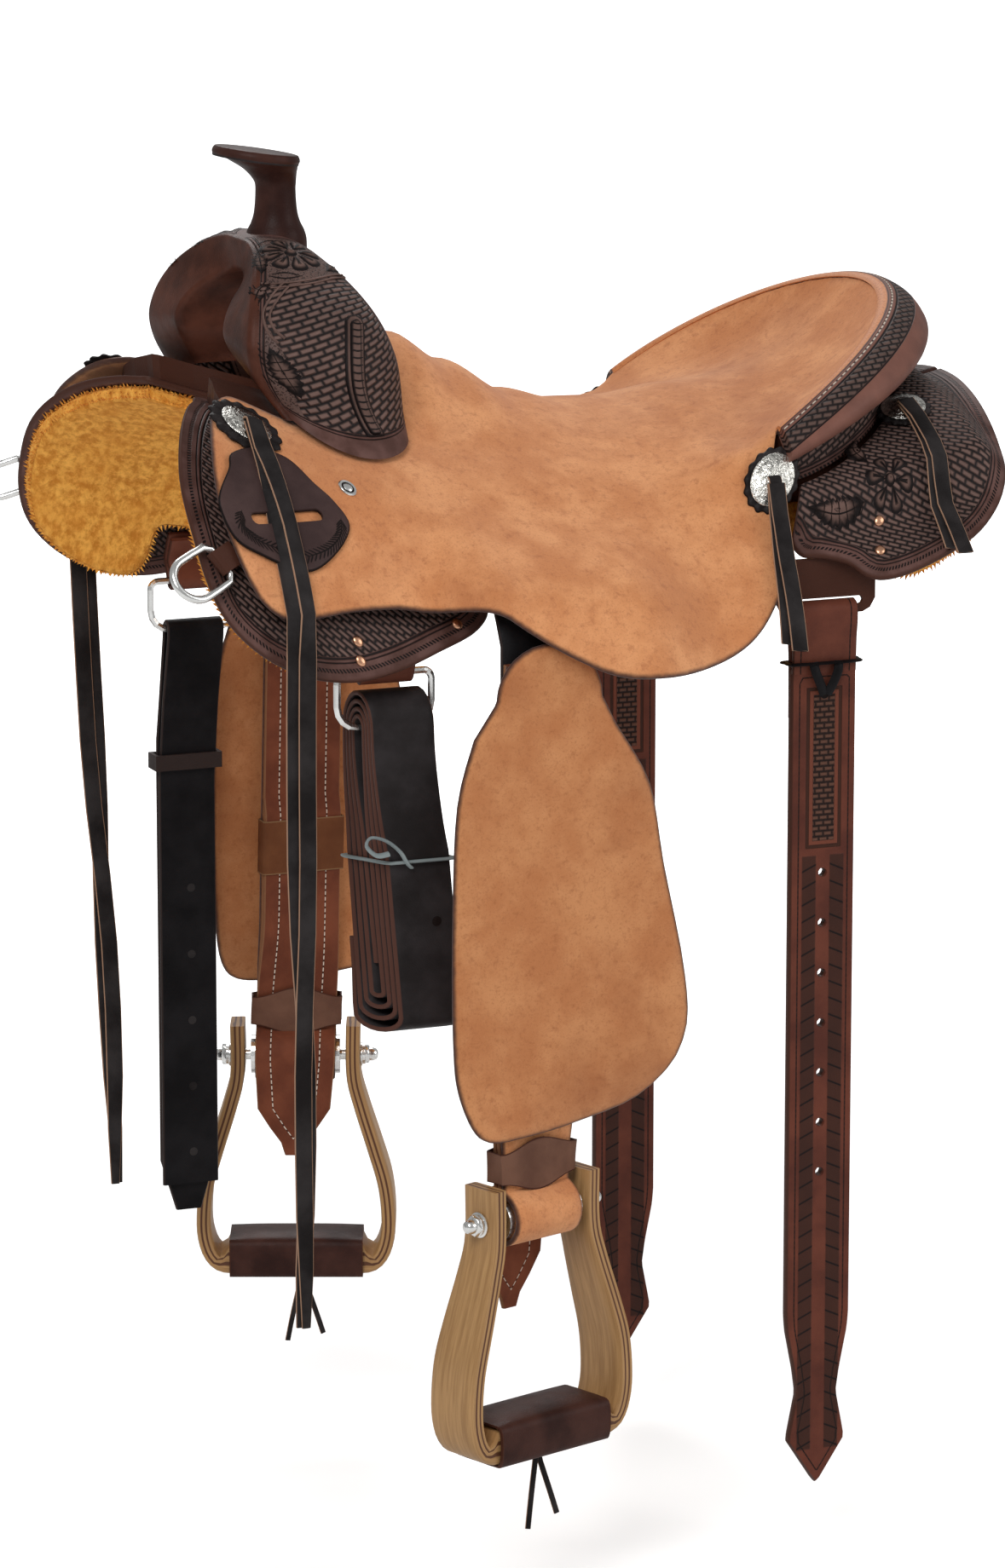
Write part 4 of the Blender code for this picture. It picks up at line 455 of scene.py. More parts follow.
class Look:
    """A node material under construction."""

    def __init__(self, name, roughness=0.6, metallic=0.0, specular=0.5):
        self.material = bpy.data.materials.new(name)
        self.material.use_nodes = True
        self.nodes = self.material.node_tree.nodes
        self.links = self.material.node_tree.links
        self.shader = self.nodes["Principled BSDF"]
        self.set("Roughness", roughness)
        self.set("Metallic", metallic)
        self.set("Specular IOR Level", specular)
        self.places = {}

    def set(self, socket, value):
        self.join(value, self.shader.inputs[socket])

    def join(self, value, socket):
        if isinstance(value, bpy.types.NodeSocket):
            self.links.new(value, socket)
        else:
            socket.default_value = value

    def add(self, kind, **settings):
        node = self.nodes.new(kind)
        for key, value in settings.items():
            setattr(node, key, value)
        return node

    def math(self, operation, *values, clamp=False):
        node = self.add("ShaderNodeMath", operation=operation, use_clamp=clamp)
        for value, socket in zip(values, node.inputs):
            self.join(value, socket)
        return node.outputs[0]

    def times(self, a, b):
        return self.math("MULTIPLY", a, b)

    def plus(self, a, b, clamp=False):
        return self.math("ADD", a, b, clamp=clamp)

    def minus(self, a, b, clamp=False):
        return self.math("SUBTRACT", a, b, clamp=clamp)

    def mix(self, share, a, b):
        node = self.add("ShaderNodeMix", data_type="RGBA")
        self.join(share, node.inputs[0])
        self.join(a if isinstance(a, bpy.types.NodeSocket) else (*a, 1.0), node.inputs[6])
        self.join(b if isinstance(b, bpy.types.NodeSocket) else (*b, 1.0), node.inputs[7])
        return node.outputs[2]

    def step(self, value, low, high):
        """0 below low, 1 above high, smooth between."""
        node = self.add("ShaderNodeMapRange", interpolation_type="SMOOTHSTEP")
        self.join(value, node.inputs["Value"])
        self.join(low, node.inputs["From Min"])
        self.join(high, node.inputs["From Max"])
        return node.outputs[0]

    def band(self, value, low, high, soft):
        rise = self.step(value, low - soft, low + soft)
        fall = self.step(value, high - soft, high + soft)
        return self.minus(rise, fall, clamp=True)

    def place(self, kind="object"):
        """Object coordinates, or a named UV map, in metres."""
        if kind not in self.places:
            if kind == "object":
                self.places[kind] = self.add("ShaderNodeTexCoord").outputs["Object"]
            else:
                self.places[kind] = self.add("ShaderNodeUVMap", uv_map=kind).outputs[0]
        return self.places[kind]

    def axes(self, kind):
        key = kind + " axes"
        if key not in self.places:
            node = self.add("ShaderNodeSeparateXYZ")
            self.join(self.place(kind), node.inputs[0])
            self.places[key] = node.outputs
        return self.places[key]

    def noise(self, size, detail=3.0, rough=0.55, kind="object", stretch=None):
        """Noise from 0 to 1 whose blotches are about size metres across."""
        coords = self.place(kind)
        if stretch:
            scale = self.add("ShaderNodeVectorMath", operation="MULTIPLY")
            self.join(coords, scale.inputs[0])
            scale.inputs[1].default_value = stretch
            coords = scale.outputs[0]
        node = self.add("ShaderNodeTexNoise")
        self.join(coords, node.inputs["Vector"])
        node.inputs["Scale"].default_value = 1 / size
        node.inputs["Detail"].default_value = detail
        node.inputs["Roughness"].default_value = rough
        return node.outputs[0]

    def cells(self, size, kind="object"):
        node = self.add("ShaderNodeTexVoronoi")
        self.join(self.place(kind), node.inputs["Vector"])
        node.inputs["Scale"].default_value = 1 / size
        return node.outputs["Distance"]

    def bars(self, kind, length, width, angle):
        """Basket stamp: rows of raised bars, each row half a bar along from the last."""
        u, v = self.axes(kind)[0], self.axes(kind)[1]
        c, s = math.cos(angle), math.sin(angle)
        p = self.math("DIVIDE", self.plus(self.times(u, c), self.times(v, s)), length)
        q = self.math("DIVIDE", self.minus(self.times(v, c), self.times(u, s)), width)
        row = self.math("FLOOR", q)
        cell = self.math("FRACT", self.plus(p, self.times(row, 0.5)))
        return self.times(self.band(cell, 0.10, 0.90, 0.10),
                          self.band(self.math("FRACT", q), 0.20, 0.80, 0.16))

    def dashes(self, run, pitch, share=0.6, soft=0.08):
        """Even dashes along a run; share is the dash's part of the pitch."""
        phase = self.math("FRACT", self.math("DIVIDE", run, pitch))
        return self.band(phase, 0.5 - share / 2, 0.5 + share / 2, soft)

    def bump(self, height, distance, strength=1.0):
        node = self.add("ShaderNodeBump")
        node.inputs["Strength"].default_value = strength
        node.inputs["Distance"].default_value = distance
        self.join(height, node.inputs["Height"])
        if self.shader.inputs["Normal"].is_linked:
            self.links.new(self.shader.inputs["Normal"].links[0].from_socket, node.inputs["Normal"])
        self.set("Normal", node.outputs[0])


TAN = (0.560, 0.218, 0.082)
TAN_LIGHT = (0.720, 0.325, 0.140)
TAN_DEEP = (0.350, 0.112, 0.044)
EDGE_BROWN = (0.060, 0.022, 0.014)
CHOCOLATE = (0.070, 0.031, 0.024)
CHESTNUT = (0.118, 0.036, 0.022)
MAUVE = (0.130, 0.066, 0.056)
NEAR_BLACK = (0.010, 0.007, 0.007)


def suede(name, light=TAN_LIGHT, middle=TAN, deep=TAN_DEEP):
    """Rough-out leather: blotches of three sizes, a short nap and a burnished edge."""
    look = Look(name, 0.95, specular=0.15)
    mottled = look.mix(look.step(look.noise(0.050, 5, 0.62), 0.36, 0.66), middle, light)
    mottled = look.mix(look.times(look.step(look.noise(0.11, 5, 0.65), 0.50, 0.72), 0.40), mottled, deep)
    mottled = look.mix(look.times(look.step(look.noise(0.0065, 4, 0.7), 0.50, 0.72), 0.45), mottled, deep)
    grain = look.noise(0.0016, 4, 0.7)
    mottled = look.mix(look.times(look.step(grain, 0.50, 0.72), 0.45), mottled, deep)
    mottled = look.mix(look.times(look.step(look.noise(0.0024, 3, 0.7), 0.58, 0.76), 0.30), mottled, light)
    v = look.axes("edge")[1]
    worn = look.step(look.plus(v, look.times(look.noise(0.006), 0.0016)), 0.0006, 0.0042)
    look.set("Base Color", look.mix(worn, EDGE_BROWN, mottled))
    look.set("Roughness", look.mix(worn, (0.5,) * 3, (0.96,) * 3))
    look.set("Sheen Weight", 0.12)
    look.set("Sheen Roughness", 0.6)
    look.bump(look.noise(0.020, 3), 0.0012, 0.35)
    look.bump(grain, 0.0005, 0.55)
    return look.material


def tooled(name, bar=(0.0105, 0.0044, 0.6), border=0.0165, stamps=(0.0082, 0.0031), carved=False):
    """Dark stamped leather with a smooth border that carries a line of small stamps.

    bar is the weave's bar length, width and angle, border the border's width, stamps the line's distance
    from the edge and its pitch; carved leather has matting in place of the weave in its front field.
    """
    look = Look(name, 0.6, specular=0.14)
    u, v = look.axes("edge")[0], look.axes("edge")[1]
    wear = look.noise(0.02, 4)
    weave = look.bars("place", *bar)
    if carved:
        a, b = look.axes("place")[0], look.axes("place")[1]
        side = look.math("ABSOLUTE", a)
        top = look.minus(0.0995, look.times(look.times(b, b), 6.9))
        below = look.step(look.minus(side, top), 0.0, 0.0006)
        rear = look.plus(0.003, look.times(look.step(side, 0.130, 0.172), 0.019))
        behind = look.step(look.minus(b, rear), 0.0, 0.0008)
        field = look.times(below, behind)
        matting = look.plus(0.30, look.times(look.step(look.cells(0.0016), 0.20, 0.50), 0.45))
        weave = look.plus(look.times(weave, field), look.times(matting, look.minus(1.0, field)))
    # The weave's gaps between the raised bars are coloured near black: painted shade in the stamp's recesses.
    weave_with_painted_shade_colour = look.mix(weave, NEAR_BLACK, look.mix(wear, (0.085, 0.050, 0.043), (0.200, 0.122, 0.102)))
    smooth_colour = look.mix(look.step(wear, 0.3, 0.7), CHOCOLATE, MAUVE)
    smooth_colour = look.mix(look.step(v, 0.0, 0.0030), EDGE_BROWN, smooth_colour)
    inner = look.step(v, border + 0.0022, border + 0.0030)
    line = look.times(look.band(v, stamps[0] - 0.0012, stamps[0] + 0.0012, 0.0004),
                      look.dashes(look.plus(u, look.times(v, 0.6)), stamps[1], 0.5))
    groove = look.plus(look.band(v, border - 0.0018, border - 0.0010, 0.0004),
                       look.band(v, border + 0.0008, border + 0.0022, 0.0005), clamp=True)
    dark = look.math("MAXIMUM", line, groove)
    colour = look.mix(inner, smooth_colour, weave_with_painted_shade_colour)
    look.set("Base Color", look.mix(dark, colour, NEAR_BLACK))
    height = look.times(weave, inner)
    height = look.plus(height, look.times(look.minus(1.0, inner), 0.75))
    height = look.minus(height, look.times(dark, 0.9))
    look.set("Roughness", look.mix(look.times(wear, 0.6), (0.42,) * 3, (0.66,) * 3))
    look.bump(look.noise(0.0012, 4), 0.0002, 0.4)
    look.bump(height, 0.0011, 0.9)
    return look.material


def plain(name, colour, deep, edge=EDGE_BROWN, roughness=0.42, stitches=(), thread=(0.55, 0.42, 0.32),
          edge_width=0.0012, panel=None, grain=0.45, gloss=0.09):
    """Smooth leather with burnished edges and rows of stitches at given distances from the edge."""
    look = Look(name, roughness + 0.06, specular=gloss)
    u, v = look.axes("edge")[0], look.axes("edge")[1]
    patch = look.step(look.noise(0.035, 4), 0.3, 0.72)
    body = look.mix(patch, deep, colour)
    if panel:
        body, lift = panel(look, body)
        look.bump(lift, 0.0010, 0.9)
    body = look.mix(look.step(v, edge_width * 0.4, edge_width), edge, body)
    pits = 0.0
    for distance, pitch in stitches:
        row = look.band(v, distance - 0.00045, distance + 0.00045, 0.0002)
        dash = look.times(row, look.dashes(u, pitch, 0.62))
        body = look.mix(look.times(row, 0.7), body, NEAR_BLACK)
        body = look.mix(dash, body, thread)
        pits = look.plus(pits, row)
    look.set("Base Color", body)
    look.set("Roughness", look.mix(look.noise(0.012, 3), (roughness - 0.08,) * 3, (roughness + 0.16,) * 3))
    look.bump(look.cells(0.0013), 0.0002, grain)
    if stitches:
        look.bump(look.times(pits, -1.0), 0.0006, 0.8)
    return look.material


def fleece_look():
    """Orange woolly nap."""
    look = Look("fleece_nap", 1.0, specular=0.05)
    curl = look.noise(0.006, 4, 0.7, stretch=(1.0, 1.0, 0.55))
    colour = look.mix(look.step(curl, 0.32, 0.68), (0.560, 0.200, 0.024), (0.950, 0.480, 0.095))
    blotch = look.step(look.noise(0.03, 3), 0.4, 0.7)
    colour = look.mix(look.times(blotch, 0.45), colour, (0.68, 0.25, 0.032))
    look.set("Base Color", colour)
    look.set("Sheen Weight", 0.06)
    look.bump(look.noise(0.0022, 5, 0.8), 0.0010, 0.6)
    look.bump(curl, 0.003, 0.5)
    return look.material


def wood_look():
    """Laminated wood: dark glue layers run round the frame, the broad faces show the grain."""
    look = Look("laminated_wood", 0.5, specular=0.25)
    u, v = look.axes("edge")[0], look.axes("edge")[1]
    grain = look.noise(0.004, 5, 0.65, kind="place", stretch=(0.06, 1.0, 1.0))
    colour = look.mix(look.step(grain, 0.30, 0.72), (0.310, 0.165, 0.062), (0.470, 0.270, 0.112))
    dark = look.band(v, 0.0030, 0.0046, 0.00025)
    dark = look.plus(dark, look.band(v, 0.0068, 0.0082, 0.00025), clamp=True)
    colour = look.mix(dark, colour, (0.100, 0.036, 0.016))
    look.set("Base Color", colour)
    look.set("Coat Weight", 0.12)
    look.set("Coat Roughness", 0.3)
    look.bump(grain, 0.0003, 0.4)
    return look.material


def metal(name, colour, roughness, dents=0.0):
    """Metal; dents give it plain shallow engraving-like pits."""
    look = Look(name, roughness, 1.0)
    base = look.mix(look.noise(0.01, 3), colour, tuple(0.8 * c for c in colour))
    if dents:
        pits = look.step(look.noise(0.0034, 2, 0.5), 0.50, 0.60)
        base = look.mix(look.times(pits, 0.75), base, tuple(0.30 * c for c in colour))
    look.set("Base Color", base)
    look.set("Roughness", look.mix(look.noise(0.003, 4), (roughness - 0.06,) * 3, (roughness + 0.10,) * 3))
    if dents:
        look.bump(look.noise(0.0022, 3, 0.6), dents, 0.8)
    return look.material


def basket_panel(look, body):
    """Framed basket panel and the stamped ladder below it on the flank billet."""
    a, b = look.axes("place")[0], look.axes("place")[1]

    def box(half, low, high):
        return look.times(look.band(a, -half, half, 0.0003), look.band(b, low, high, 0.0003))

    inside = box(0.0115, -0.262, -0.148)
    core = box(0.0085, -0.259, -0.151)
    weave = look.bars("place", 0.0070, 0.0040, 0.0)
    body = look.mix(look.minus(inside, core, clamp=True), body, (0.150, 0.046, 0.028))
    # Inside the panel the weave's bars are brown and the gaps between them almost black: the dark gaps are
    # painted shade in the stamp's recesses.
    body = look.mix(core, body, look.mix(weave, (0.016, 0.009, 0.008), (0.110, 0.052, 0.036)))
    side = look.math("ABSOLUTE", a)
    scale = look.math("FRACT", look.math("DIVIDE", look.plus(b, look.times(side, 0.45)), 0.0125))
    ladder = look.times(look.band(side, 0.0055, 0.0165, 0.0006), look.band(b, -0.72, -0.270, 0.0008))
    body = look.mix(look.times(ladder, 0.80), body, (0.034, 0.016, 0.012))
    body = look.mix(look.times(ladder, look.band(scale, 0.0, 0.12, 0.05)), body, NEAR_BLACK)
    rim = look.minus(box(0.0140, -0.2645, -0.1455), inside, clamp=True)
    body = look.mix(rim, body, (0.045, 0.018, 0.012))
    lift = look.minus(look.times(core, weave), look.times(rim, 0.8))
    lift = look.plus(lift, look.times(ladder, look.times(scale, 0.6)))
    return body, lift


def roll_look():
    """The roll: a rough-out lip, a stitch row, then a stamped band between grooves."""
    look = Look("cheyenne_roll_leather", 0.5, specular=0.15)
    u, v = look.axes("edge")[0], look.axes("edge")[1]
    wear = look.noise(0.02, 4)
    smooth_colour = look.mix(wear, (0.105, 0.046, 0.036), (0.235, 0.100, 0.072))
    weave = look.bars("place", 0.0085, 0.0042, 0.55)
    inner = look.band(v, 0.0165, 0.0300, 0.0004)
    # The weave's gaps between the raised bars are coloured near black: painted shade in the stamp's recesses.
    weave_with_painted_shade_colour = look.mix(weave, NEAR_BLACK, look.mix(wear, (0.060, 0.036, 0.030), (0.150, 0.092, 0.076)))
    colour = look.mix(inner, smooth_colour, weave_with_painted_shade_colour)
    groove = look.plus(look.band(v, 0.0148, 0.0164, 0.0003), look.band(v, 0.0301, 0.0312, 0.0003), clamp=True)
    row = look.band(v, 0.0112, 0.0124, 0.0003)
    thread = look.times(row, look.dashes(u, 0.0056, 0.6))
    colour = look.mix(look.math("MAXIMUM", groove, look.times(row, 0.8)), colour, NEAR_BLACK)
    colour = look.mix(thread, colour, (0.62, 0.52, 0.42))
    nap = look.mix(look.step(look.noise(0.0016, 4, 0.7), 0.45, 0.72), TAN, TAN_DEEP)
    seam = look.step(look.plus(v, look.times(look.noise(0.010), 0.0010)), 0.0082, 0.0090)
    colour = look.mix(look.band(v, 0.0086, 0.0096, 0.0003), look.mix(seam, nap, colour), EDGE_BROWN)
    look.set("Base Color", colour)
    look.bump(look.cells(0.0013), 0.0002, 0.4)
    height = look.minus(look.times(weave, inner), look.math("MAXIMUM", groove, row))
    look.bump(height, 0.0010, 0.9)
    return look.material


MATERIAL = {
    "seat": suede("roughout_seat"),
    "fender": suede("roughout_fender", (0.560, 0.245, 0.100), (0.455, 0.172, 0.063), (0.300, 0.098, 0.034)),
    "skirt": tooled("stamped_skirt", bar=(0.0100, 0.0040, 0.55), border=0.0135, stamps=(0.0070, 0.0028)),
    "rear_skirt": tooled("stamped_rear_skirt", bar=(0.0092, 0.0036, 0.55), border=0.0118,
                         stamps=(0.0064, 0.0026)),
    "swell": tooled("stamped_swell", bar=(0.0118, 0.0050, 1.08), border=0.0085, stamps=(-1.0, 0.003),
                    carved=True),
    "band": tooled("stamped_band", bar=(0.0085, 0.0042, 0.45), border=0.0095, stamps=(0.0048, 0.0042)),
    "chestnut": plain("chestnut_leather", (0.150, 0.050, 0.030), CHESTNUT),
    "dark": plain("dark_leather", (0.060, 0.024, 0.018), (0.026, 0.010, 0.008), roughness=0.38),
    "gullet": plain("gullet_leather", (0.100, 0.034, 0.021), (0.040, 0.014, 0.009), roughness=0.36),
    "keeper": plain("keeper_leather", (0.070, 0.041, 0.038), (0.042, 0.024, 0.023), NEAR_BLACK),
    "rosette": plain("rosette_leather", (0.034, 0.028, 0.028), (0.012, 0.010, 0.010), NEAR_BLACK),
    "string": plain("string_leather", (0.030, 0.026, 0.026), (0.010, 0.008, 0.008), (0.34, 0.20, 0.13),
                    roughness=0.5, edge_width=0.0005),
    "latigo": plain("latigo_leather", (0.034, 0.029, 0.030), (0.017, 0.014, 0.014), (0.085, 0.036, 0.026),
                    roughness=0.42, edge_width=0.0013),
    "black": plain("black_leather", (0.010, 0.009, 0.010), (0.004, 0.0035, 0.004), (0.030, 0.020, 0.018),
                   roughness=0.45),
    "leg": plain("stirrup_leather_russet", (0.200, 0.060, 0.030), (0.120, 0.034, 0.018), (0.24, 0.11, 0.055),
                 roughness=0.55, stitches=((0.0120, 0.0046),), thread=(0.70, 0.58, 0.48)),
    "hobble": plain("hobble_leather", (0.165, 0.080, 0.052), (0.105, 0.048, 0.032), roughness=0.6),
    "flank": plain("flank_leather", (0.140, 0.042, 0.026), (0.085, 0.026, 0.018), roughness=0.38,
                   stitches=((0.0058, 0.0040),), thread=(0.020, 0.012, 0.010), panel=basket_panel),
    "fleece": fleece_look(),
    "wood": wood_look(),
    "steel": metal("polished_steel", (0.92, 0.92, 0.90), 0.22),
    "silver": metal("engraved_silver", (0.86, 0.84, 0.78), 0.18, 0.0012),
    "copper": metal("copper", (0.78, 0.42, 0.26), 0.30),
    "tie": plain("grey_tie", (0.260, 0.300, 0.300), (0.200, 0.235, 0.240), (0.30, 0.33, 0.33), grain=0.1),
    "cut": plain("carved_line", (0.012, 0.007, 0.006), NEAR_BLACK),
    "carved": plain("carved_leather", (0.160, 0.096, 0.080), (0.095, 0.056, 0.046), NEAR_BLACK,
                    roughness=0.5, edge_width=0.0030),
    "roll": roll_look(),
    "fold": plain("flank_fold_leather", (0.150, 0.046, 0.028), (0.090, 0.028, 0.019), roughness=0.38,
                  stitches=((0.0058, 0.0040),), thread=(0.020, 0.012, 0.010)),
    "sleeve": plain("sleeve_leather", (0.165, 0.062, 0.026), (0.120, 0.042, 0.018), (0.22, 0.12, 0.06),
                    roughness=0.7),
}


# Mesh makers

def make(name, points, faces, material, body, places=None, edges=None, slots=None, replaces=()):
    """Object from points and faces with the UV maps place and edge, riding on a body."""
    mesh = bpy.data.meshes.new(name)
    mesh.from_pydata([tuple(p) for p in points], [], faces)
    for label, table in (("place", places), ("edge", edges)):
        layer = mesh.uv_layers.new(name=label)
        if table is not None:
            loops = np.empty(len(mesh.loops), np.int32)
            mesh.loops.foreach_get("vertex_index", loops)
            layer.data.foreach_set("uv", np.array(table, np.float32)[loops].ravel())
        elif label == "edge":
            layer.data.foreach_set("uv", np.tile([0.0, 0.02], len(mesh.loops)).astype(np.float32))
    for item in material if isinstance(material, (list, tuple)) else [material]:
        mesh.materials.append(item)
    if slots is not None:
        mesh.polygons.foreach_set("material_index", slots)
    mesh.shade_smooth()
    bm = bmesh.new()
    bm.from_mesh(mesh)
    bmesh.ops.recalc_face_normals(bm, faces=bm.faces)
    bm.to_mesh(mesh)
    bm.free()
    mesh.set_sharp_from_angle(angle=math.radians(50))
    made = bpy.data.objects.new(name, mesh)
    bpy.context.scene.collection.objects.link(made)
    if replaces:
        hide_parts(*replaces)
    if body:
        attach(made, body)
    return made


def within(spots, loops):
    """Which spots lie inside the loops, by crossings."""
    crossings = np.zeros(len(spots), int)
    for loop in loops:
        a = np.array(loop)
        b = np.roll(a, -1, axis=0)
        for (ax, ay), (bx, by) in zip(a, b):
            if ay == by:
                continue
            hit = ((ay > spots[:, 1]) != (by > spots[:, 1])) & (
                spots[:, 0] < (bx - ax) * (spots[:, 1] - ay) / (by - ay) + ax
            )
            crossings += hit
    return crossings % 2 == 1


def nearest(spots, line):
    """Run along an open line and distance from it, for each spot."""
    a, b = np.array(line[:-1]), np.array(line[1:])
    span = b - a
    length = np.linalg.norm(span, axis=1)
    run = np.concatenate([[0.0], np.cumsum(length)])[:-1]
    best = np.full(len(spots), 1e9)
    where = np.zeros(len(spots))
    for i in range(len(a)):
        share = np.clip(((spots - a[i]) @ span[i]) / max(length[i] ** 2, 1e-12), 0, 1)
        gap = np.linalg.norm(spots - a[i] - share[:, None] * span[i], axis=1)
        closer = gap < best
        best[closer] = gap[closer]
        where[closer] = run[i] + share[closer] * length[i]
    return where, best


def leather(name, loops, place, thickness, material, body, spacing=0.006, pitch=0.004, roundness=0.0012,
            decorated=None, bulge=None, replaces=()):
    """Sheet with rounded edges over an outline and holes; place(a, b, height) puts its points in space.

    The UV map edge holds the run along the decorated line, by default the outline, and the distance from it.
    """
    outer = [resample(loop, pitch if i == 0 else HOLE_PITCH) for i, loop in enumerate(loops)]
    inner = [offset_loop(outer[0], roundness)] + [offset_loop(loop, -0.4 * roundness) for loop in outer[1:]]
    line = np.array(decorated) if decorated is not None else np.array(outer[0] + outer[0][:1])
    low = np.min(inner[0], axis=0)
    high = np.max(inner[0], axis=0)
    counts = np.maximum(1, np.round((high - low) / spacing)).astype(int)
    grid = np.array([
        (lerp(low[0], high[0], (i + (0.5 if j % 2 else 0.0)) / counts[0]),
         lerp(low[1], high[1], j / counts[1]))
        for i in range(1, counts[0]) for j in range(1, counts[1])
    ]).reshape(-1, 2)
    if len(grid):
        grid = grid[within(grid, inner)]
    for loop in inner:
        if len(grid):
            grid = grid[nearest(grid, loop + loop[:1])[1] > 0.45 * spacing]
    spots = []
    edges = []
    for loop in inner:
        first = len(spots)
        spots += loop
        edges += [(first + i, first + (i + 1) % len(loop)) for i in range(len(loop))]
    rims = len(spots)
    spots += [tuple(p) for p in grid]
    out = delaunay_2d_cdt([Vector(p) for p in spots], edges, [], 0, 1e-7)
    spots, triangles, origins = [tuple(p) for p in out[0]], out[2], out[3]
    middles = np.array([np.mean([spots[i] for i in face], axis=0) for face in triangles])
    kept = [list(face) for face, keep in zip(triangles, within(middles, inner)) if keep]
    lookup = {}
    for i, origin in enumerate(origins):
        for k in origin:
            lookup[k] = i
    run, gap = nearest(np.array(spots), line)
    points = [place(a, b, bulge(a, b) if bulge else 0.0) for a, b in spots]
    table = list(spots)
    edge = list(zip(run, gap))
    count = len(points)
    points += [place(a, b, -thickness) for a, b in spots]
    table += table
    edge += edge
    faces = [list(face) for face in kept] + [[i + count for i in reversed(face)] for face in kept]
    start = 0
    for loop, rim in zip(outer, inner):
        run, _ = nearest(np.array(loop), line)
        first = len(points)
        n = len(loop)
        for level in (-0.3, -0.7):
            points += [place(a, b, level * thickness) for a, b in loop]
            table += loop
            edge += [(r, 0.0) for r in run]
        for i in range(n):
            j = (i + 1) % n
            top_i, top_j = lookup[start + i], lookup[start + j]
            faces.append([top_i, top_j, first + j, first + i])
            faces.append([first + i, first + j, first + n + j, first + n + i])
            faces.append([first + n + i, first + n + j, top_j + count, top_i + count])
        start += n
    return make(name, points, faces, material, body, table, edge, replaces=replaces)


def rows(name, grid, material, body, closed_u=False, closed_v=False, caps=False, places=None, edges=None,
         slot_of=None, replaces=()):
    """Mesh over a grid of points, grid[row][column]."""
    n, m = len(grid), len(grid[0])
    points = [p for line in grid for p in line]
    faces, slots = [], []
    for i in range(n if closed_u else n - 1):
        for j in range(m if closed_v else m - 1):
            a, b = i, (i + 1) % n
            c, d = j, (j + 1) % m
            faces.append([a * m + c, a * m + d, b * m + d, b * m + c])
            slots.append(slot_of(i, j) if slot_of else 0)
    if caps:
        faces += [list(range(m)), [(n - 1) * m + k for k in range(m)]]
        slots += [0, 0]
    table = [p for line in places for p in line] if places else None
    edge = [p for line in edges for p in line] if edges else None
    return make(name, points, faces, material, body, table, edge, slots, replaces=replaces)


def strap(name, path, thickness, width, frame_at, material, body, count=6, slot_of=None, width_at=None,
          replaces=()):
    """Flat strap along a path in (y, z); frame_at(x, y, z) places its points, x counted from the middle."""
    roundness = 0.0009
    outer = offset_path(path, thickness / 2)
    inner = offset_path(path, -thickness / 2)
    run = running(path)
    shares = [-1 + 2 * k / count for k in range(count + 1)]
    grid, places, edges = [], [], []
    for i, (a, b) in enumerate(zip(outer, inner)):
        w = (width_at(run[i] / run[-1]) if width_at else width) / 2
        line, place, edge = [], [], []
        section = [(x * (w - roundness), 1.0) for x in shares] + [(w, 0.45), (w, -0.45)]
        section += [(x * (w - roundness), -1.0) for x in reversed(shares)] + [(-w, -0.45), (-w, 0.45)]
        for x, level in section:
            y = lerp(b[0], a[0], (level + 1) / 2)
            z = lerp(b[1], a[1], (level + 1) / 2)
            line.append(frame_at(x, y, z))
            place.append((x, run[i]))
            edge.append((run[i], w - abs(x) if abs(level) == 1 else 0.0))
        grid.append(line)
        places.append(place)
        edges.append(edge)
    return rows(name, grid, material, body, closed_v=True, caps=True, places=places, edges=edges,
                slot_of=slot_of, replaces=replaces)


def dome(name, outline, place, height, steps=4):
    """Raised patch of carving: an outline in (a, b) whose middle rises to a height."""
    centre = np.mean(outline, axis=0)
    grid, edges = [], []
    for k in range(steps + 1):
        share = 1 - k / (steps + 0.35)
        rise = lerp(-0.0004, height, math.sin((k / steps) * math.pi / 2) ** 0.8)
        grid.append([place(lerp(centre[0], a, share), lerp(centre[1], b, share), rise) for a, b in outline])
        edges.append([(0.0, 0.004 * k / steps)] * len(outline))
    rows(name, grid, MATERIAL["carved"], "saddle", closed_v=True, edges=edges)


def tube(name, path, radius, material, body, sides=8, closed=False, squash=1.0):
    """Round wire along points in space."""
    grid = []
    count = len(path)
    reference = Vector((0, 0, 1))
    for i in range(count):
        before = Vector(path[i - 1]) if i or closed else Vector(path[0])
        after = Vector(path[(i + 1) % count]) if i < count - 1 or closed else Vector(path[-1])
        tangent = (after - before).normalized()
        if abs(tangent.dot(reference)) > 0.95:
            reference = Vector((0, 1, 0))
        side = tangent.cross(reference).normalized()
        reference = side.cross(tangent)
        grid.append(circle(Vector(path[i]), side, reference * squash, radius, sides))
    return rows(name, grid, material, body, closed_u=closed, closed_v=True, caps=not closed)


def lathe(name, centre, axes, profile, count, material, body, start=0.0, replaces=()):
    """Round piece: each (radius, height) of its profile makes a ring about the last of three axes."""
    first, second, axis = axes
    grid = [circle(centre + axis * height, first, second, radius, count, start) for radius, height in profile]
    return rows(name, grid, material, body, closed_v=True, caps=True, replaces=replaces)


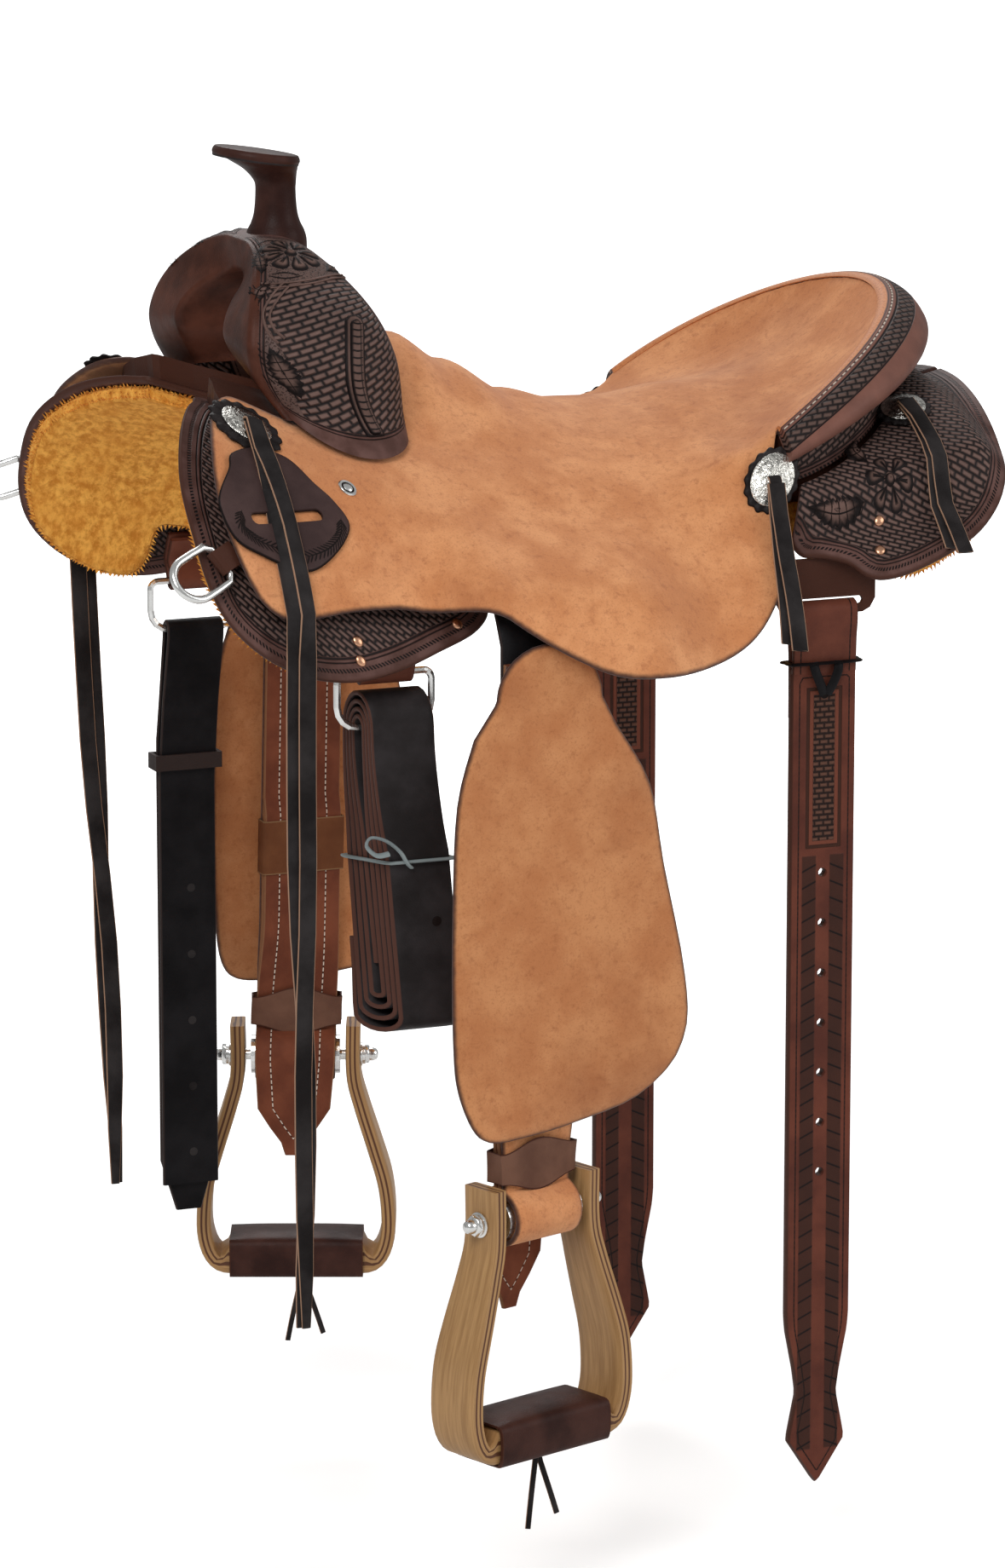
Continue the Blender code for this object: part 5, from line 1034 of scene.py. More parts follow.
def strokes(name, lines, place, width, lift):
    """Tapered cuts laid on a surface: each line is a list of (a, b)."""
    points, faces = [], []
    for line in lines:
        line = resample(line, 0.0016, closed=False)
        left = offset_path(line, 1.0)
        first = len(points)
        n = len(line)
        for i, ((a, b), (c, d)) in enumerate(zip(line, left)):
            swell = width / 2 * math.sin(math.pi * min(max((i + 0.35) / (n - 0.3), 0.0), 1.0)) ** 0.5
            for reach in (-1, 1):
                points.append(place(a + (c - a) * swell * reach, b + (d - b) * swell * reach, lift))
        faces += [[first + 2 * i, first + 2 * i + 1, first + 2 * i + 3,
                   first + 2 * i + 2] for i in range(n - 1)]
    make(name, points, faces, MATERIAL["cut"], "saddle")


# Camera, light and floor

def look_at(item, target):
    item.rotation_euler = (Vector(target) - item.location).to_track_quat("-Z", "Y").to_euler()


def camera_and_light():
    """The photo's view, three soft lamps, a white backdrop and a pale floor."""
    scene = bpy.context.scene
    azimuth, elevation, distance = math.radians(-22), math.radians(12), 4.8
    target = Vector((0, 0, -0.24))
    camera = bpy.data.objects.new("camera", bpy.data.cameras.new("camera"))
    scene.collection.objects.link(camera)
    away = Vector((
        math.sin(azimuth) * math.cos(elevation), -math.cos(azimuth) * math.cos(elevation), math.sin(elevation)
    ))
    camera.location = target + away * distance
    look_at(camera, target)
    photo_height, focal_pixels, sensor = 1840, 7600, 24
    camera.data.sensor_fit = "VERTICAL"
    camera.data.sensor_height = sensor
    camera.data.lens = sensor * focal_pixels / photo_height
    scene.camera = camera
    scene.view_settings.view_transform = "Standard"

    for name, spot, size, power in (
        ("key_light", (-2.6, -3.2, 3.0), 2.2, 125),
        ("fill_light", (3.2, -2.6, 1.6), 2.6, 52),
        ("back_light", (0.6, 3.4, 2.8), 2.4, 75),
    ):
        lamp = bpy.data.lights.new(name, "AREA")
        lamp.size = size
        lamp.energy = power
        item = bpy.data.objects.new(name, lamp)
        item.location = spot
        look_at(item, (0, 0, -0.15))
        scene.collection.objects.link(item)

    world = bpy.data.worlds.new("studio")
    world.use_nodes = True
    nodes, links = world.node_tree.nodes, world.node_tree.links
    back = nodes["Background"]
    back.inputs["Color"].default_value = (1.0, 1.0, 1.0, 1)
    path = nodes.new("ShaderNodeLightPath")
    strength = nodes.new("ShaderNodeMapRange")
    strength.inputs["To Min"].default_value = 0.36
    strength.inputs["To Max"].default_value = 1.0
    links.new(path.outputs["Is Camera Ray"], strength.inputs["Value"])
    links.new(strength.outputs[0], back.inputs["Strength"])
    scene.world = world

    look = Look("pale_floor", 0.9, specular=0.1)
    look.set("Base Color", look.mix(look.noise(0.6, 2), (0.86, 0.86, 0.86), (0.90, 0.90, 0.90)))
    look.set("Emission Color", (1.0, 1.0, 1.0, 1.0))
    camera_ray = look.add("ShaderNodeLightPath").outputs["Is Camera Ray"]
    x, y = look.axes("object")[0], look.axes("object")[1]
    away = look.math("SQRT", look.plus(look.times(x, x), look.times(y, y)))
    glow = look.plus(0.40, look.times(look.step(away, 0.6, 3.0), 0.75))
    look.set("Emission Strength", look.times(camera_ray, glow))
    mesh = bpy.data.meshes.new("floor")
    low, wide = CAD_BOX[0][2] - 0.05, 60
    corners = [(-wide, -wide, low), (wide, -wide, low), (wide, wide, low), (-wide, wide, low)]
    mesh.from_pydata(corners, [], [[0, 1, 2, 3]])
    mesh.materials.append(look.material)
    floor = bpy.data.objects.new("floor", mesh)
    scene.collection.objects.link(floor)


# Seat, jockeys and skirts

SEAT_EDGE = (
    (-0.232, 0.092), (-0.252, 0.090), (-0.270, 0.112), (-0.284, 0.152), (-0.289, 0.184), (-0.286, 0.212),
    (-0.276, 0.243), (-0.260, 0.256), (-0.236, 0.252), (-0.203, 0.240), (-0.165, 0.231), (-0.130, 0.231),
    (-0.103, 0.236), (-0.083, 0.246), (-0.054, 0.259), (-0.020, 0.270), (0.020, 0.271), (0.062, 0.262),
    (0.098, 0.247), (0.124, 0.221), (0.137, 0.196), (0.144, 0.169), (0.142, 0.150),
)
FORK_NOTCH = (
    (-0.116, 0.0), (-0.117, 0.040), (-0.124, 0.075), (-0.145, 0.098), (-0.175, 0.104), (-0.205, 0.100),
)
FRONT_SKIRT = (
    (-0.240, 0.046), (-0.262, 0.060), (-0.285, 0.102), (-0.301, 0.145), (-0.308, 0.178), (-0.308, 0.212),
    (-0.304, 0.243), (-0.293, 0.266), (-0.270, 0.281), (-0.238, 0.287), (-0.203, 0.282), (-0.170, 0.269),
    (-0.135, 0.250), (-0.100, 0.229), (-0.088, 0.205), (-0.086, 0.150), (-0.086, 0.080), (-0.095, 0.050),
)
REAR_SKIRT = (
    (0.354, 0.003), (0.352, 0.040), (0.345, 0.088), (0.334, 0.142), (0.322, 0.175), (0.303, 0.196),
    (0.279, 0.209), (0.240, 0.218), (0.212, 0.219), (0.198, 0.212), (0.189, 0.200), (0.172, 0.191),
    (0.158, 0.187), (0.152, 0.176),
)
FRONT_FLEECE = (
    (-0.238, 0.050), (-0.259, 0.063), (-0.281, 0.103), (-0.297, 0.146), (-0.304, 0.178), (-0.304, 0.212),
    (-0.300, 0.240), (-0.290, 0.262), (-0.268, 0.277), (-0.238, 0.283), (-0.214, 0.278), (-0.204, 0.262),
    (-0.201, 0.240), (-0.196, 0.229), (-0.170, 0.226), (-0.144, 0.229), (-0.128, 0.232), (-0.104, 0.224),
    (-0.092, 0.203), (-0.090, 0.150), (-0.090, 0.084), (-0.098, 0.054),
)
REAR_FLEECE = (
    (0.349, 0.006), (0.347, 0.042), (0.340, 0.086), (0.329, 0.140), (0.317, 0.171), (0.299, 0.191),
    (0.277, 0.204), (0.242, 0.213), (0.226, 0.206), (0.221, 0.180), (0.214, 0.166), (0.180, 0.163),
    (0.140, 0.163), (0.115, 0.155), (0.100, 0.125), (0.095, 0.080), (0.100, 0.030), (0.130, 0.008), (0.240,
                                                                                                     0.005),
)


def rim_angles(half_steps, reach=1.0):
    """Angles along the cantle's rim, closer together towards its ends."""
    return [
        CANTLE_SWEEP * reach * math.sin(math.pi / 2 * i / half_steps)
        for i in range(-half_steps, half_steps + 1)
    ]


def cantle_xy(angle, radius):
    return CANTLE_X + radius * math.cos(angle), radius * math.sin(angle)


def seat():
    half = list(FORK_NOTCH[1:]) + round_curve(SEAT_EDGE, 4, closed=False)
    free = [(x, -t) for x, t in reversed(half)] + [FORK_NOTCH[0]] + half
    for angle in rim_angles(16)[::-1][:17]:
        x, y = cantle_xy(angle, CANTLE_RADIUS)
        half.append((x, arc_of(x, y, SEAT_TOP)))
    outline = [FORK_NOTCH[0]] + half + [(x, -t) for x, t in reversed(half[:-1])]
    leather("seat_and_jockey_leather", [outline], seat_point, SEAT_LEATHER, MATERIAL["seat"], "saddle",
            0.0065, 0.0045, 0.0010, decorated=free, replaces=("seat_and_jockeys",))


def skirts(label, side):
    front = round_curve(FRONT_SKIRT, 4)
    seen = front[:-4]
    leather(f"{label}_front_skirt_leather", [front], mirrored(front_skirt_point, side), SKIRT_LEATHER,
            MATERIAL["skirt"], "saddle", 0.007, 0.0035, decorated=seen + seen[:1],
            replaces=(f"{label}_front_skirt",))
    rear = mirrored(rear_point, side)
    flower(f"{label}_skirt_flower", rear, (0.2327, 0.1564), 0.0200, 6)
    leaf(f"{label}_skirt_leaf_low", rear, ((0.214, 0.164), (0.190, 0.1675), (0.1643, 0.1604)), 0.018)
    leaf(f"{label}_skirt_leaf_high", rear, ((0.222, 0.142), (0.216, 0.128), (0.222, 0.114)), 0.013)
    outer = round_curve(REAR_SKIRT, 4, closed=False)
    inner = []
    radius = CANTLE_RADIUS + 0.0115
    for i in range(17):
        angle = lerp(math.radians(80), math.asin(0.004 / radius), i / 16)
        x, y = cantle_xy(angle, radius)
        inner.append((x, arc_of(x, y, REAR_HIGH)))
    leather(f"{label}_rear_skirt_leather", [outer + inner], rear, SKIRT_LEATHER, MATERIAL["rear_skirt"],
            "saddle",
            0.006, 0.0035, decorated=outer, replaces=(f"{label}_rear_skirt",))


def fleece(label, side):
    """Woolly lining: the face towards the horse is lumpy and its edge stands out in tufts."""
    for part, table, top in (("front", FRONT_FLEECE, FLEECE), ("rear", REAR_FLEECE, SKIRT_TOP - 0.0007)):
        loop = resample(round_curve(table, 4), 0.0035)
        inside = offset_loop(loop, 0.004)

        def place(a, b, h=0.0, top=top):
            lump = noise.noise(Vector((a, side * b, 0.3)) * 110) * 0.0011
            lump += noise.noise(Vector((a, side * b, 1.3)) * 320) * 0.0006
            share = min(max(-h / top, 0.0), 1.0)
            return skin(a, side * b, top + h + lump * share * (1 if share > 0.9 else 0.4) + 0.0012 * share)

        leather(f"{label}_{part}_fleece_nap", [loop], place, top, MATERIAL["fleece"], "saddle", 0.0055,
                0.0035,
                0.003, replaces=(f"{label}_{part}_fleece",))
        points, faces = [], []
        for (a, b), (inner_a, inner_b) in zip(loop, inside):
            da, db = a - inner_a, b - inner_b
            wide_a, wide_b = -db * 0.30, da * 0.30
            for level in (0.15, 0.40, 0.65, 0.88):
                reach = random.uniform(0.15, 0.75)
                drift = random.uniform(-0.0022, 0.0022)
                base = level * top
                first = len(points)
                points += [
                    skin(a - da * 0.4 - wide_a, side * (b - db * 0.4 - wide_b), base),
                    skin(a - da * 0.4 + wide_a, side * (b - db * 0.4 + wide_b), base + 0.0004),
                    skin(a - da * 0.4, side * (b - db * 0.4), base + 0.0022),
                    skin(a + da * reach + wide_a, side * (b + db * reach + wide_b),
                         max(base + drift, 0.0003)),
                ]
                faces += [
                    [first, first + 1, first + 3], [first + 1, first + 2, first + 3],
                    [first + 2, first, first + 3],
                ]
        make(f"{label}_{part}_fleece_tufts", points, faces, MATERIAL["fleece"], "saddle")


# Swell, gullet and horn

def gullet_point(s, front):
    """Rim of the gullet arch beside the outer point s of the profile."""
    rise = math.sin((1 - abs(s) / FORK_SPAN) * math.pi / 2)
    foot_x = FORK_FRONT[0][1]
    foot_z = skin(foot_x, arc_of(foot_x, BAR_INNER + 0.016, BAR_TOP), BAR_TOP + 0.003).z
    half = GULLET_HALF_WIDTH * math.sqrt(max(1 - rise ** 3, 0.0)) + 0.016 * (1 - ease(rise / 0.4))
    return Vector((front, math.copysign(half, s), lerp(foot_z, GULLET_TOP_Z, rise)))


def swell():
    """One leather from the rear edge over the swells, round the front and into the gullet."""
    steps, columns, roll, lip_radius = 128, 30, 0.06, 0.006
    rings = [lerp(-FORK_SPAN, FORK_SPAN, i / steps) for i in range(steps + 1)]
    lengths = running([fork_point(s, 0.5) for s in rings])
    middle = lengths[steps // 2]
    grid, places, edges = [], [], []
    for s, length in zip(rings, lengths):
        down = length - middle
        line = [fork_point(s, lerp(1.0, roll, k / columns)) for k in range(columns + 1)]
        line.insert(0, line[0] - fork_normal(s, 0.98) * COVER_LEATHER * 0.9)
        last = line[-1]
        front = fork_point(s, 0.0).x
        arch = gullet_point(s, front + 0.001)
        inward = Vector((0, arch.y - last.y, arch.z - last.z)).normalized()
        ahead = last.x - front
        turned = []
        for turn in (22, 45, 68, 90):
            sine, cosine = math.sin(math.radians(turn)), math.cos(math.radians(turn))
            turned.append(last + Vector((-ahead * sine, 0, 0)) + inward * 0.9 * ahead * (1 - cosine))
        edge_in = arch - inward * lip_radius
        face = [turned[-1].lerp(edge_in, k / 5) + Vector((0.0006 * k / 5, 0, 0)) for k in range(1, 6)]
        lip = []
        for turn in (30, 60, 90):
            sine, cosine = math.sin(math.radians(turn)), math.cos(math.radians(turn))
            lip.append(edge_in + inward * lip_radius * sine + Vector((lip_radius * (1 - cosine), 0, 0)))
        deep = [Vector((lerp(lip[-1].x, -0.140, k / 4), lip[-1].y, lip[-1].z)) for k in range(1, 5)]
        line += turned + face + lip + deep
        grid.append(line)
        seen = running(line)
        rear_run = seen[columns + 1]
        places.append([(down, rear_run - r) for r in seen])
        bottom = min(length, lengths[-1] - length)
        row = []
        for k, r in enumerate(seen):
            horn_gap = (line[k] - Vector((HORN_X, 0, FORK_TOP_Z))).length - 0.026
            gap = min(r - seen[1] + 0.003, rear_run - r + 0.0062, bottom - 0.0085, horn_gap + 0.004)
            row.append((down, max(gap if k <= columns + 1 else 0.0040, 0.0036)))
        edges.append(row)
    rows("swell_leather", grid, [MATERIAL["swell"], MATERIAL["gullet"]], "saddle", places=places, edges=edges,
         slot_of=lambda i, j: 0 if 1 <= j <= columns else 1, replaces=("swell_cover", "tree_fork"))


def fork_place(side):
    """Fork surface as place(a, b, height): a down from the top, b back from the front edge, in metres."""
    stations = [FORK_SPAN * i / 80 for i in range(81)]
    table = list(zip(running([fork_point(s, 0.5) for s in stations]), stations))

    def place(a, b, height=0.0):
        for (low, s0), (high, s1) in zip(table, table[1:]):
            if a <= high:
                break
        s = side * lerp(s0, s1, min((a - low) / (high - low), 1.0))
        width = (fork_point(s, 1.0) - fork_point(s, 0.0)).length
        u = min(max(b / width, 0.0), 1.0)
        return fork_point(s, u) + fork_normal(s, min(max(u, 0.02), 0.98)) * height

    return place


def petal(centre, angle, length, width, count=14):
    """Outline of a petal that grows from its centre point in a direction."""
    made = []
    for i in range(count):
        turn = math.tau * i / count
        out = length * (0.5 + 0.5 * math.cos(turn))
        wide = width / 2 * math.sin(turn) * (0.55 + 0.45 * math.cos(turn)) * 1.35
        made.append((
            centre[0] + math.cos(angle) * out - math.sin(angle) * wide,
            centre[1] + math.sin(angle) * out + math.cos(angle) * wide,
        ))
    return made


def flower(name, place, centre, size, petals):
    """Carved flower of its own design: a ring of creased petals round a domed heart."""
    x, y = centre
    cuts = []
    for i in range(petals):
        angle = math.tau * i / petals + 0.3
        start_x, start_y = x + 0.16 * size * math.cos(angle), y + 0.16 * size * math.sin(angle)
        dome(f"{name}_petal_{i}", petal((start_x, start_y), angle, 0.80 * size, 0.62 * size), place, 0.0013)
        for bend in (-0.16, 0.0, 0.16):
            cuts.append([
                (start_x + size * k * math.cos(angle + bend * k),
                 start_y + size * k * math.sin(angle + bend * k))
                for k in (0.06, 0.22, 0.38, 0.52)
            ])
    heart = [(x + 0.2 * size * math.cos(a / 8 * math.pi), y + 0.2 * size * math.sin(a / 8 * math.pi))
             for a in range(16)]
    dome(f"{name}_heart", heart, place, 0.0024)
    strokes(f"{name}_cuts", cuts, place, 0.0009, 0.0015)


def leaf(name, place, midrib, width):
    """Carved leaf along a curved midrib, with side veins."""
    line = resample(round_curve(midrib, 6, closed=False), 0.003, closed=False)
    n = len(line)
    left, right, cuts = [], [], [line]
    for side, made in ((1, left), (-1, right)):
        for i, ((a, b), (c, d)) in enumerate(zip(line, offset_path(line, side))):
            lobes = 1 + 0.16 * math.cos(i * math.pi)
            reach = width / 2 * math.sin(math.pi * (i / (n - 1)) ** 0.8) * lobes
            made.append((a + (c - a) * reach, b + (d - b) * reach))
            if 0 < i < n - 2 and i % 2 == 0:
                tip = (a + (c - a) * reach * 0.85, b + (d - b) * reach * 0.85)
                ahead = line[i + 1]
                end = (tip[0] + ahead[0] - a, tip[1] + ahead[1] - b)
                cuts.append([(a, b), ((a + tip[0]) / 2, (b + tip[1]) / 2), end])
    dome(f"{name}_blade", left + right[::-1], place, 0.0011, steps=3)
    strokes(f"{name}_veins", cuts, place, 0.0008, 0.0014)


SWELL_LEAVES = (
    ("leaf", ((0.196, 0.030), (0.180, 0.0235), (0.155, 0.0120)), 0.024),
    ("bud", ((0.120, 0.0035), (0.106, 0.006), (0.0985, 0.013)), 0.010),
    ("rear_leaf", ((0.048, 0.064), (0.060, 0.062), (0.078, 0.052)), 0.013),
    ("top_leaf", ((0.090, 0.006), (0.072, 0.005), (0.050, 0.0035)), 0.010),
)
SWELL_BEADS = (
    ((0.0995, 0.006), (0.0975, 0.022), (0.0905, 0.042), (0.078, 0.059), (0.066, 0.070)),
    ((0.1035, 0.012), (0.1010, 0.024), (0.0935, 0.044), (0.081, 0.061), (0.069, 0.073)),
    ((0.098, 0.020), (0.112, 0.013), (0.130, 0.0085), (0.146, 0.012), (0.153, 0.019)),
    ((0.101, 0.024), (0.116, 0.0165), (0.131, 0.0125), (0.142, 0.016), (0.148, 0.023)),
)
SWELL_SCROLLS = (
    ((0.040, 0.004), (0.036, 0.014), (0.042, 0.022)),
    ((0.088, 0.012), (0.086, 0.022), (0.088, 0.032)),
    ((0.090, 0.010), (0.0925, 0.022), (0.088, 0.034)),
    ((0.110, 0.009), (0.124, 0.0045), (0.140, 0.0045), (0.154, 0.0055)),
    ((0.112, 0.0025), (0.140, 0.0020), (0.170, 0.0030), (0.196, 0.0100)),
    ((0.036, 0.040), (0.040, 0.052), (0.050, 0.060)),
)
SEAM_MIDDLE = 0.0745


def swell_tooling(label, side):
    """Carving on one swell: flower, leaves, beads, scrolls and the ridged seam cover towards the foot."""
    place = fork_place(side)
    flower(f"{label}_swell_flower", place, (0.0592, 0.0270), 0.0265, 8)
    for part, points, width in SWELL_LEAVES:
        leaf(f"{label}_swell_{part}", place, points, width)
    for k, points in enumerate(SWELL_BEADS):
        bead = [place(a, b, 0.0003) for a, b in round_curve(points, 8, closed=False)]
        tube(f"{label}_swell_bead_{k}", bead, 0.0010, MATERIAL["carved"], "saddle", 6, squash=0.7)
    scrolls = [round_curve(points, 8, closed=False) for points in SWELL_SCROLLS]
    scrolls += [[(0.156 + 0.006 * k, 0.0045 + 0.0012 * k), (0.159 + 0.006 * k,
                                                            0.0075 + 0.0012 * k)] for k in range(6)]
    scrolls += [[(0.112 + 0.005 * k, 0.0030), (0.1135 + 0.005 * k, 0.0058)] for k in range(8)]
    strokes(f"{label}_swell_scrolls", scrolls, place, 0.0014, 0.0003)
    cover = [(0.1262, 0.0662), (0.1212, 0.0690), (0.1192, 0.0745), (0.1212, 0.0800), (0.1262, 0.0828),
             (0.2130, 0.0828), (0.2130, 0.0662)]
    leather(f"{label}_swell_seam_cover", [resample(cover, 0.003)], place, 0.0004, MATERIAL["carved"],
            "saddle",
            0.004, 0.003, 0.0012, bulge=lambda a, b: 0.0012)
    ridge = [(0.1290, 0.0695), (0.1250, 0.0715), (0.1240, 0.0745), (0.1250, 0.0775), (0.1290, 0.0795),
             (0.2120, 0.0795), (0.2120, 0.0695)]
    leather(f"{label}_swell_seam_ridge", [resample(ridge, 0.003)], place, 0.0004, MATERIAL["carved"],
            "saddle",
            0.003, 0.003, 0.0012, bulge=lambda a, b: 0.0022 + 0.0012 * (1 - ((b - SEAM_MIDDLE) / 0.005) ** 2))
    runs = [0.1290 + 0.0052 * i for i in range(16)]
    marks = [[(a, 0.0702), (a + 0.0008, SEAM_MIDDLE), (a, 0.0788)] for a in runs]
    strokes(f"{label}_swell_seam_marks", marks, place, 0.0013, 0.0036)


def horn():
    """Wrapped neck, upright at the back and flaring forward under the cap."""
    neck = round_curve([
        (-0.30, 0.0225), (-0.12, 0.0222), (0.00, 0.0204), (0.10, 0.0177), (0.24, 0.0156), (0.46, 0.0146),
        (0.62, 0.0150), (0.76, 0.0190), (0.86, 0.0248), (0.930, 0.0285),
    ], 5, closed=False)
    sideways = Vector((0, 1, 0))
    grid = []
    for share, radius in neck:
        flare = max(radius - HORN_WAIST, 0.0) if share > 0.5 else 0.0
        tilt = HORN_CAP_TILT * ease((share - 0.50) / 0.42)
        across = Vector((math.cos(tilt), 0, -math.sin(tilt)))
        centre = Vector((HORN_X - 0.92 * flare, 0, lerp(HORN_FOOT_Z, HORN_CAP_CENTRE[1], share)))
        grid.append(circle(centre, across, sideways, radius, 40))
    rows("horn_leather", grid, MATERIAL["dark"], "saddle", closed_v=True, caps=True,
         replaces=("horn_core", "horn_wrap"))
    axis = Vector((math.sin(HORN_CAP_TILT), 0, math.cos(HORN_CAP_TILT)))
    across = Vector((axis.z, 0, -axis.x))
    base = Vector((HORN_CAP_CENTRE[0], 0, HORN_CAP_CENTRE[1])) - axis * 0.0045
    cap = round_curve([
        (0.004, -0.0004), (0.0285, 0.0), (0.0312, 0.0012), (0.0318, 0.0036), (0.0308, 0.0060), (0.0288,
                                                                                                0.0072),
        (0.018, 0.0076), (0.004, 0.0078),
    ], 4, closed=False)
    lathe("horn_cap_leather", base, (across, sideways, axis), cap, 48, MATERIAL["dark"], "saddle",
          replaces=("horn_cap",))
    welt = circle(base + axis * 0.0006, across, sideways, 0.0303, 60)
    tube("horn_cap_welt", welt, 0.0011, MATERIAL["rosette"], "saddle", 6, closed=True)


# Cantle

def roll_profile(angle):
    """Section of the roll as (outwards, upwards) from the rim, narrower and flatter at its ends."""
    share = max(math.cos(min(abs(angle), math.pi / 2)), 0.0) ** 0.5
    width = lerp(ROLL_END_WIDTH + 0.004, ROLL_WIDTH, share)
    drop = lerp(0.42, 1.0, share)
    return round_curve([
        (-0.0020, -0.0002), (0.0006, 0.0018), (0.12 * width, 0.0026), (0.35 * width, 0.0020 * drop),
        (0.70 * width, -0.0050 * drop), (0.93 * width, -0.0150 * drop), (width + 0.0010, -0.0240 * drop),
        (0.95 * width, -0.0330 * drop), (0.74 * width, -0.0350 * drop), (0.0070, -0.0100),
    ], 3, closed=False)


def rim(angles):
    """Angle, run along the cantle's rim, its edge point and the outward direction, at each angle."""
    edges = [Vector((*cantle_xy(angle, CANTLE_RADIUS), rim_z(angle))) for angle in angles]
    for angle, run, edge in zip(angles, running(edges), edges):
        yield angle, run, edge, Vector((math.cos(angle), math.sin(angle), 0))


def cantle():
    """The roll over the rim, and the stamped leather on the back below it."""
    grid, places = [], []
    for angle, run, edge, outward in rim(rim_angles(44)):
        line = [edge + outward * a + Vector((0, 0, b)) for a, b in roll_profile(angle)]
        grid.append(line)
        places.append([(run, r) for r in running(line)])
    rows("cheyenne_roll_leather", grid, MATERIAL["roll"], "saddle", places=places, edges=places, caps=True,
         closed_v=True, replaces=("cheyenne_roll",))
    grid, places, edges = [], [], []
    for angle, run, edge, outward in rim(rim_angles(30, 0.985)):
        x, y = cantle_xy(angle, CANTLE_RADIUS + 0.005)
        base = skin(x, arc_of(x, y, REAR_HIGH), REAR_HIGH + 0.0015).z
        top = edge.z - 0.0078
        heights = [(lerp(base, top, k / 10), 0.0070 - 0.0022 * k / 10) for k in range(11)]
        heights += [(top, 0.0010), (base, 0.0010)]
        line = [Vector((edge.x, edge.y, z)) + outward * out for z, out in heights]
        grid.append(line)
        places.append([(run, p.z) for p in line])
        edges.append([(run, max(min(p.z - base, top - p.z), 0.0) + 0.004) for p in line])
    rows("cantle_back_leather", grid, MATERIAL["band"], "saddle", places=places, edges=edges, caps=True,
         closed_v=True, replaces=("cantle_back",))


# Keepers, rosettes, conchos, rivets and strings

KEEPER = (
    (-0.2715, 0.1540), (-0.2765, 0.1655), (-0.2880, 0.1840), (-0.2909, 0.1968), (-0.2842, 0.2143), (-0.2668,
                                                                                                    0.2200),
    (-0.2352, 0.2231), (-0.2111, 0.2078), (-0.1925, 0.1842), (-0.2004, 0.1685), (-0.2125, 0.1583), (-0.2269,
                                                                                                    0.1433),
    (-0.2497, 0.1420),
)
KEEPER_SLOT = (-0.2402, 0.1886)
KEEPER_STEMS = (
    ((-0.1985, 0.1800), (-0.2018, 0.1915), (-0.2135, 0.2032), (-0.2320, 0.2130)),
    ((-0.2748, 0.1935), (-0.2775, 0.2035), (-0.2680, 0.2108), (-0.2500, 0.2130)),
)


def slot_loop(length, width, count=6):
    """Outline of a slot with round ends, about the origin."""
    half = length / 2 - width / 2
    return arc((half, 0.0), width / 2, -90, 90, count) + arc((-half, 0.0), width / 2, 90, 270, count)


def keeper(label, side):
    """Leather plate over the front jockey, with a slanting slot and carved feathers."""
    place = mirrored(seat_point, side)
    lifted = lambda a, b, h=0.0: place(a, b, LAYER_GAP + KEEPER_LIFT + h)
    cosine, sine = math.cos(-0.289), math.sin(-0.289)
    slit = [
        (KEEPER_SLOT[0] + a * cosine - b * sine, KEEPER_SLOT[1] + a * sine + b * cosine)
        for a, b in slot_loop(0.058, 0.0068)
    ]
    leather(f"{label}_keeper_leather", [round_curve(KEEPER, 4), slit], lifted, KEEPER_LEATHER,
            MATERIAL["keeper"],
            "saddle", 0.006, 0.003, 0.0010, replaces=(f"{label}_latigo_keeper",))
    cuts = []
    for points in KEEPER_STEMS:
        stem = round_curve(points, 6, closed=False)
        cuts.append(stem)
        for (a, b), (c, d) in zip(stem[1:], stem[2:]):
            for turn in (-0.65, 0.65):
                angle = math.atan2(d - b, c - a) + turn
                cuts.append([(a, b), (a + 0.0062 * math.cos(angle), b + 0.0062 * math.sin(angle))])
    strokes(f"{label}_keeper_carving", cuts, lifted, 0.0010, 0.0002)


def frame_on(surface, a, b, side):
    """Point and unit axes (forward, down, outward) at a place of a surface."""
    step = 0.004
    here = surface(a, side * b)
    ahead = (surface(a - step, side * b) - surface(a + step, side * b)).normalized()
    down = (surface(a, side * (b + step)) - surface(a, side * (b - step))).normalized()
    out = ahead.cross(down).normalized()
    if out.dot(Vector((0, here.y, 0.15))) < 0:
        out = -out
    return here, ahead, (down - out * down.dot(out)).normalized(), out


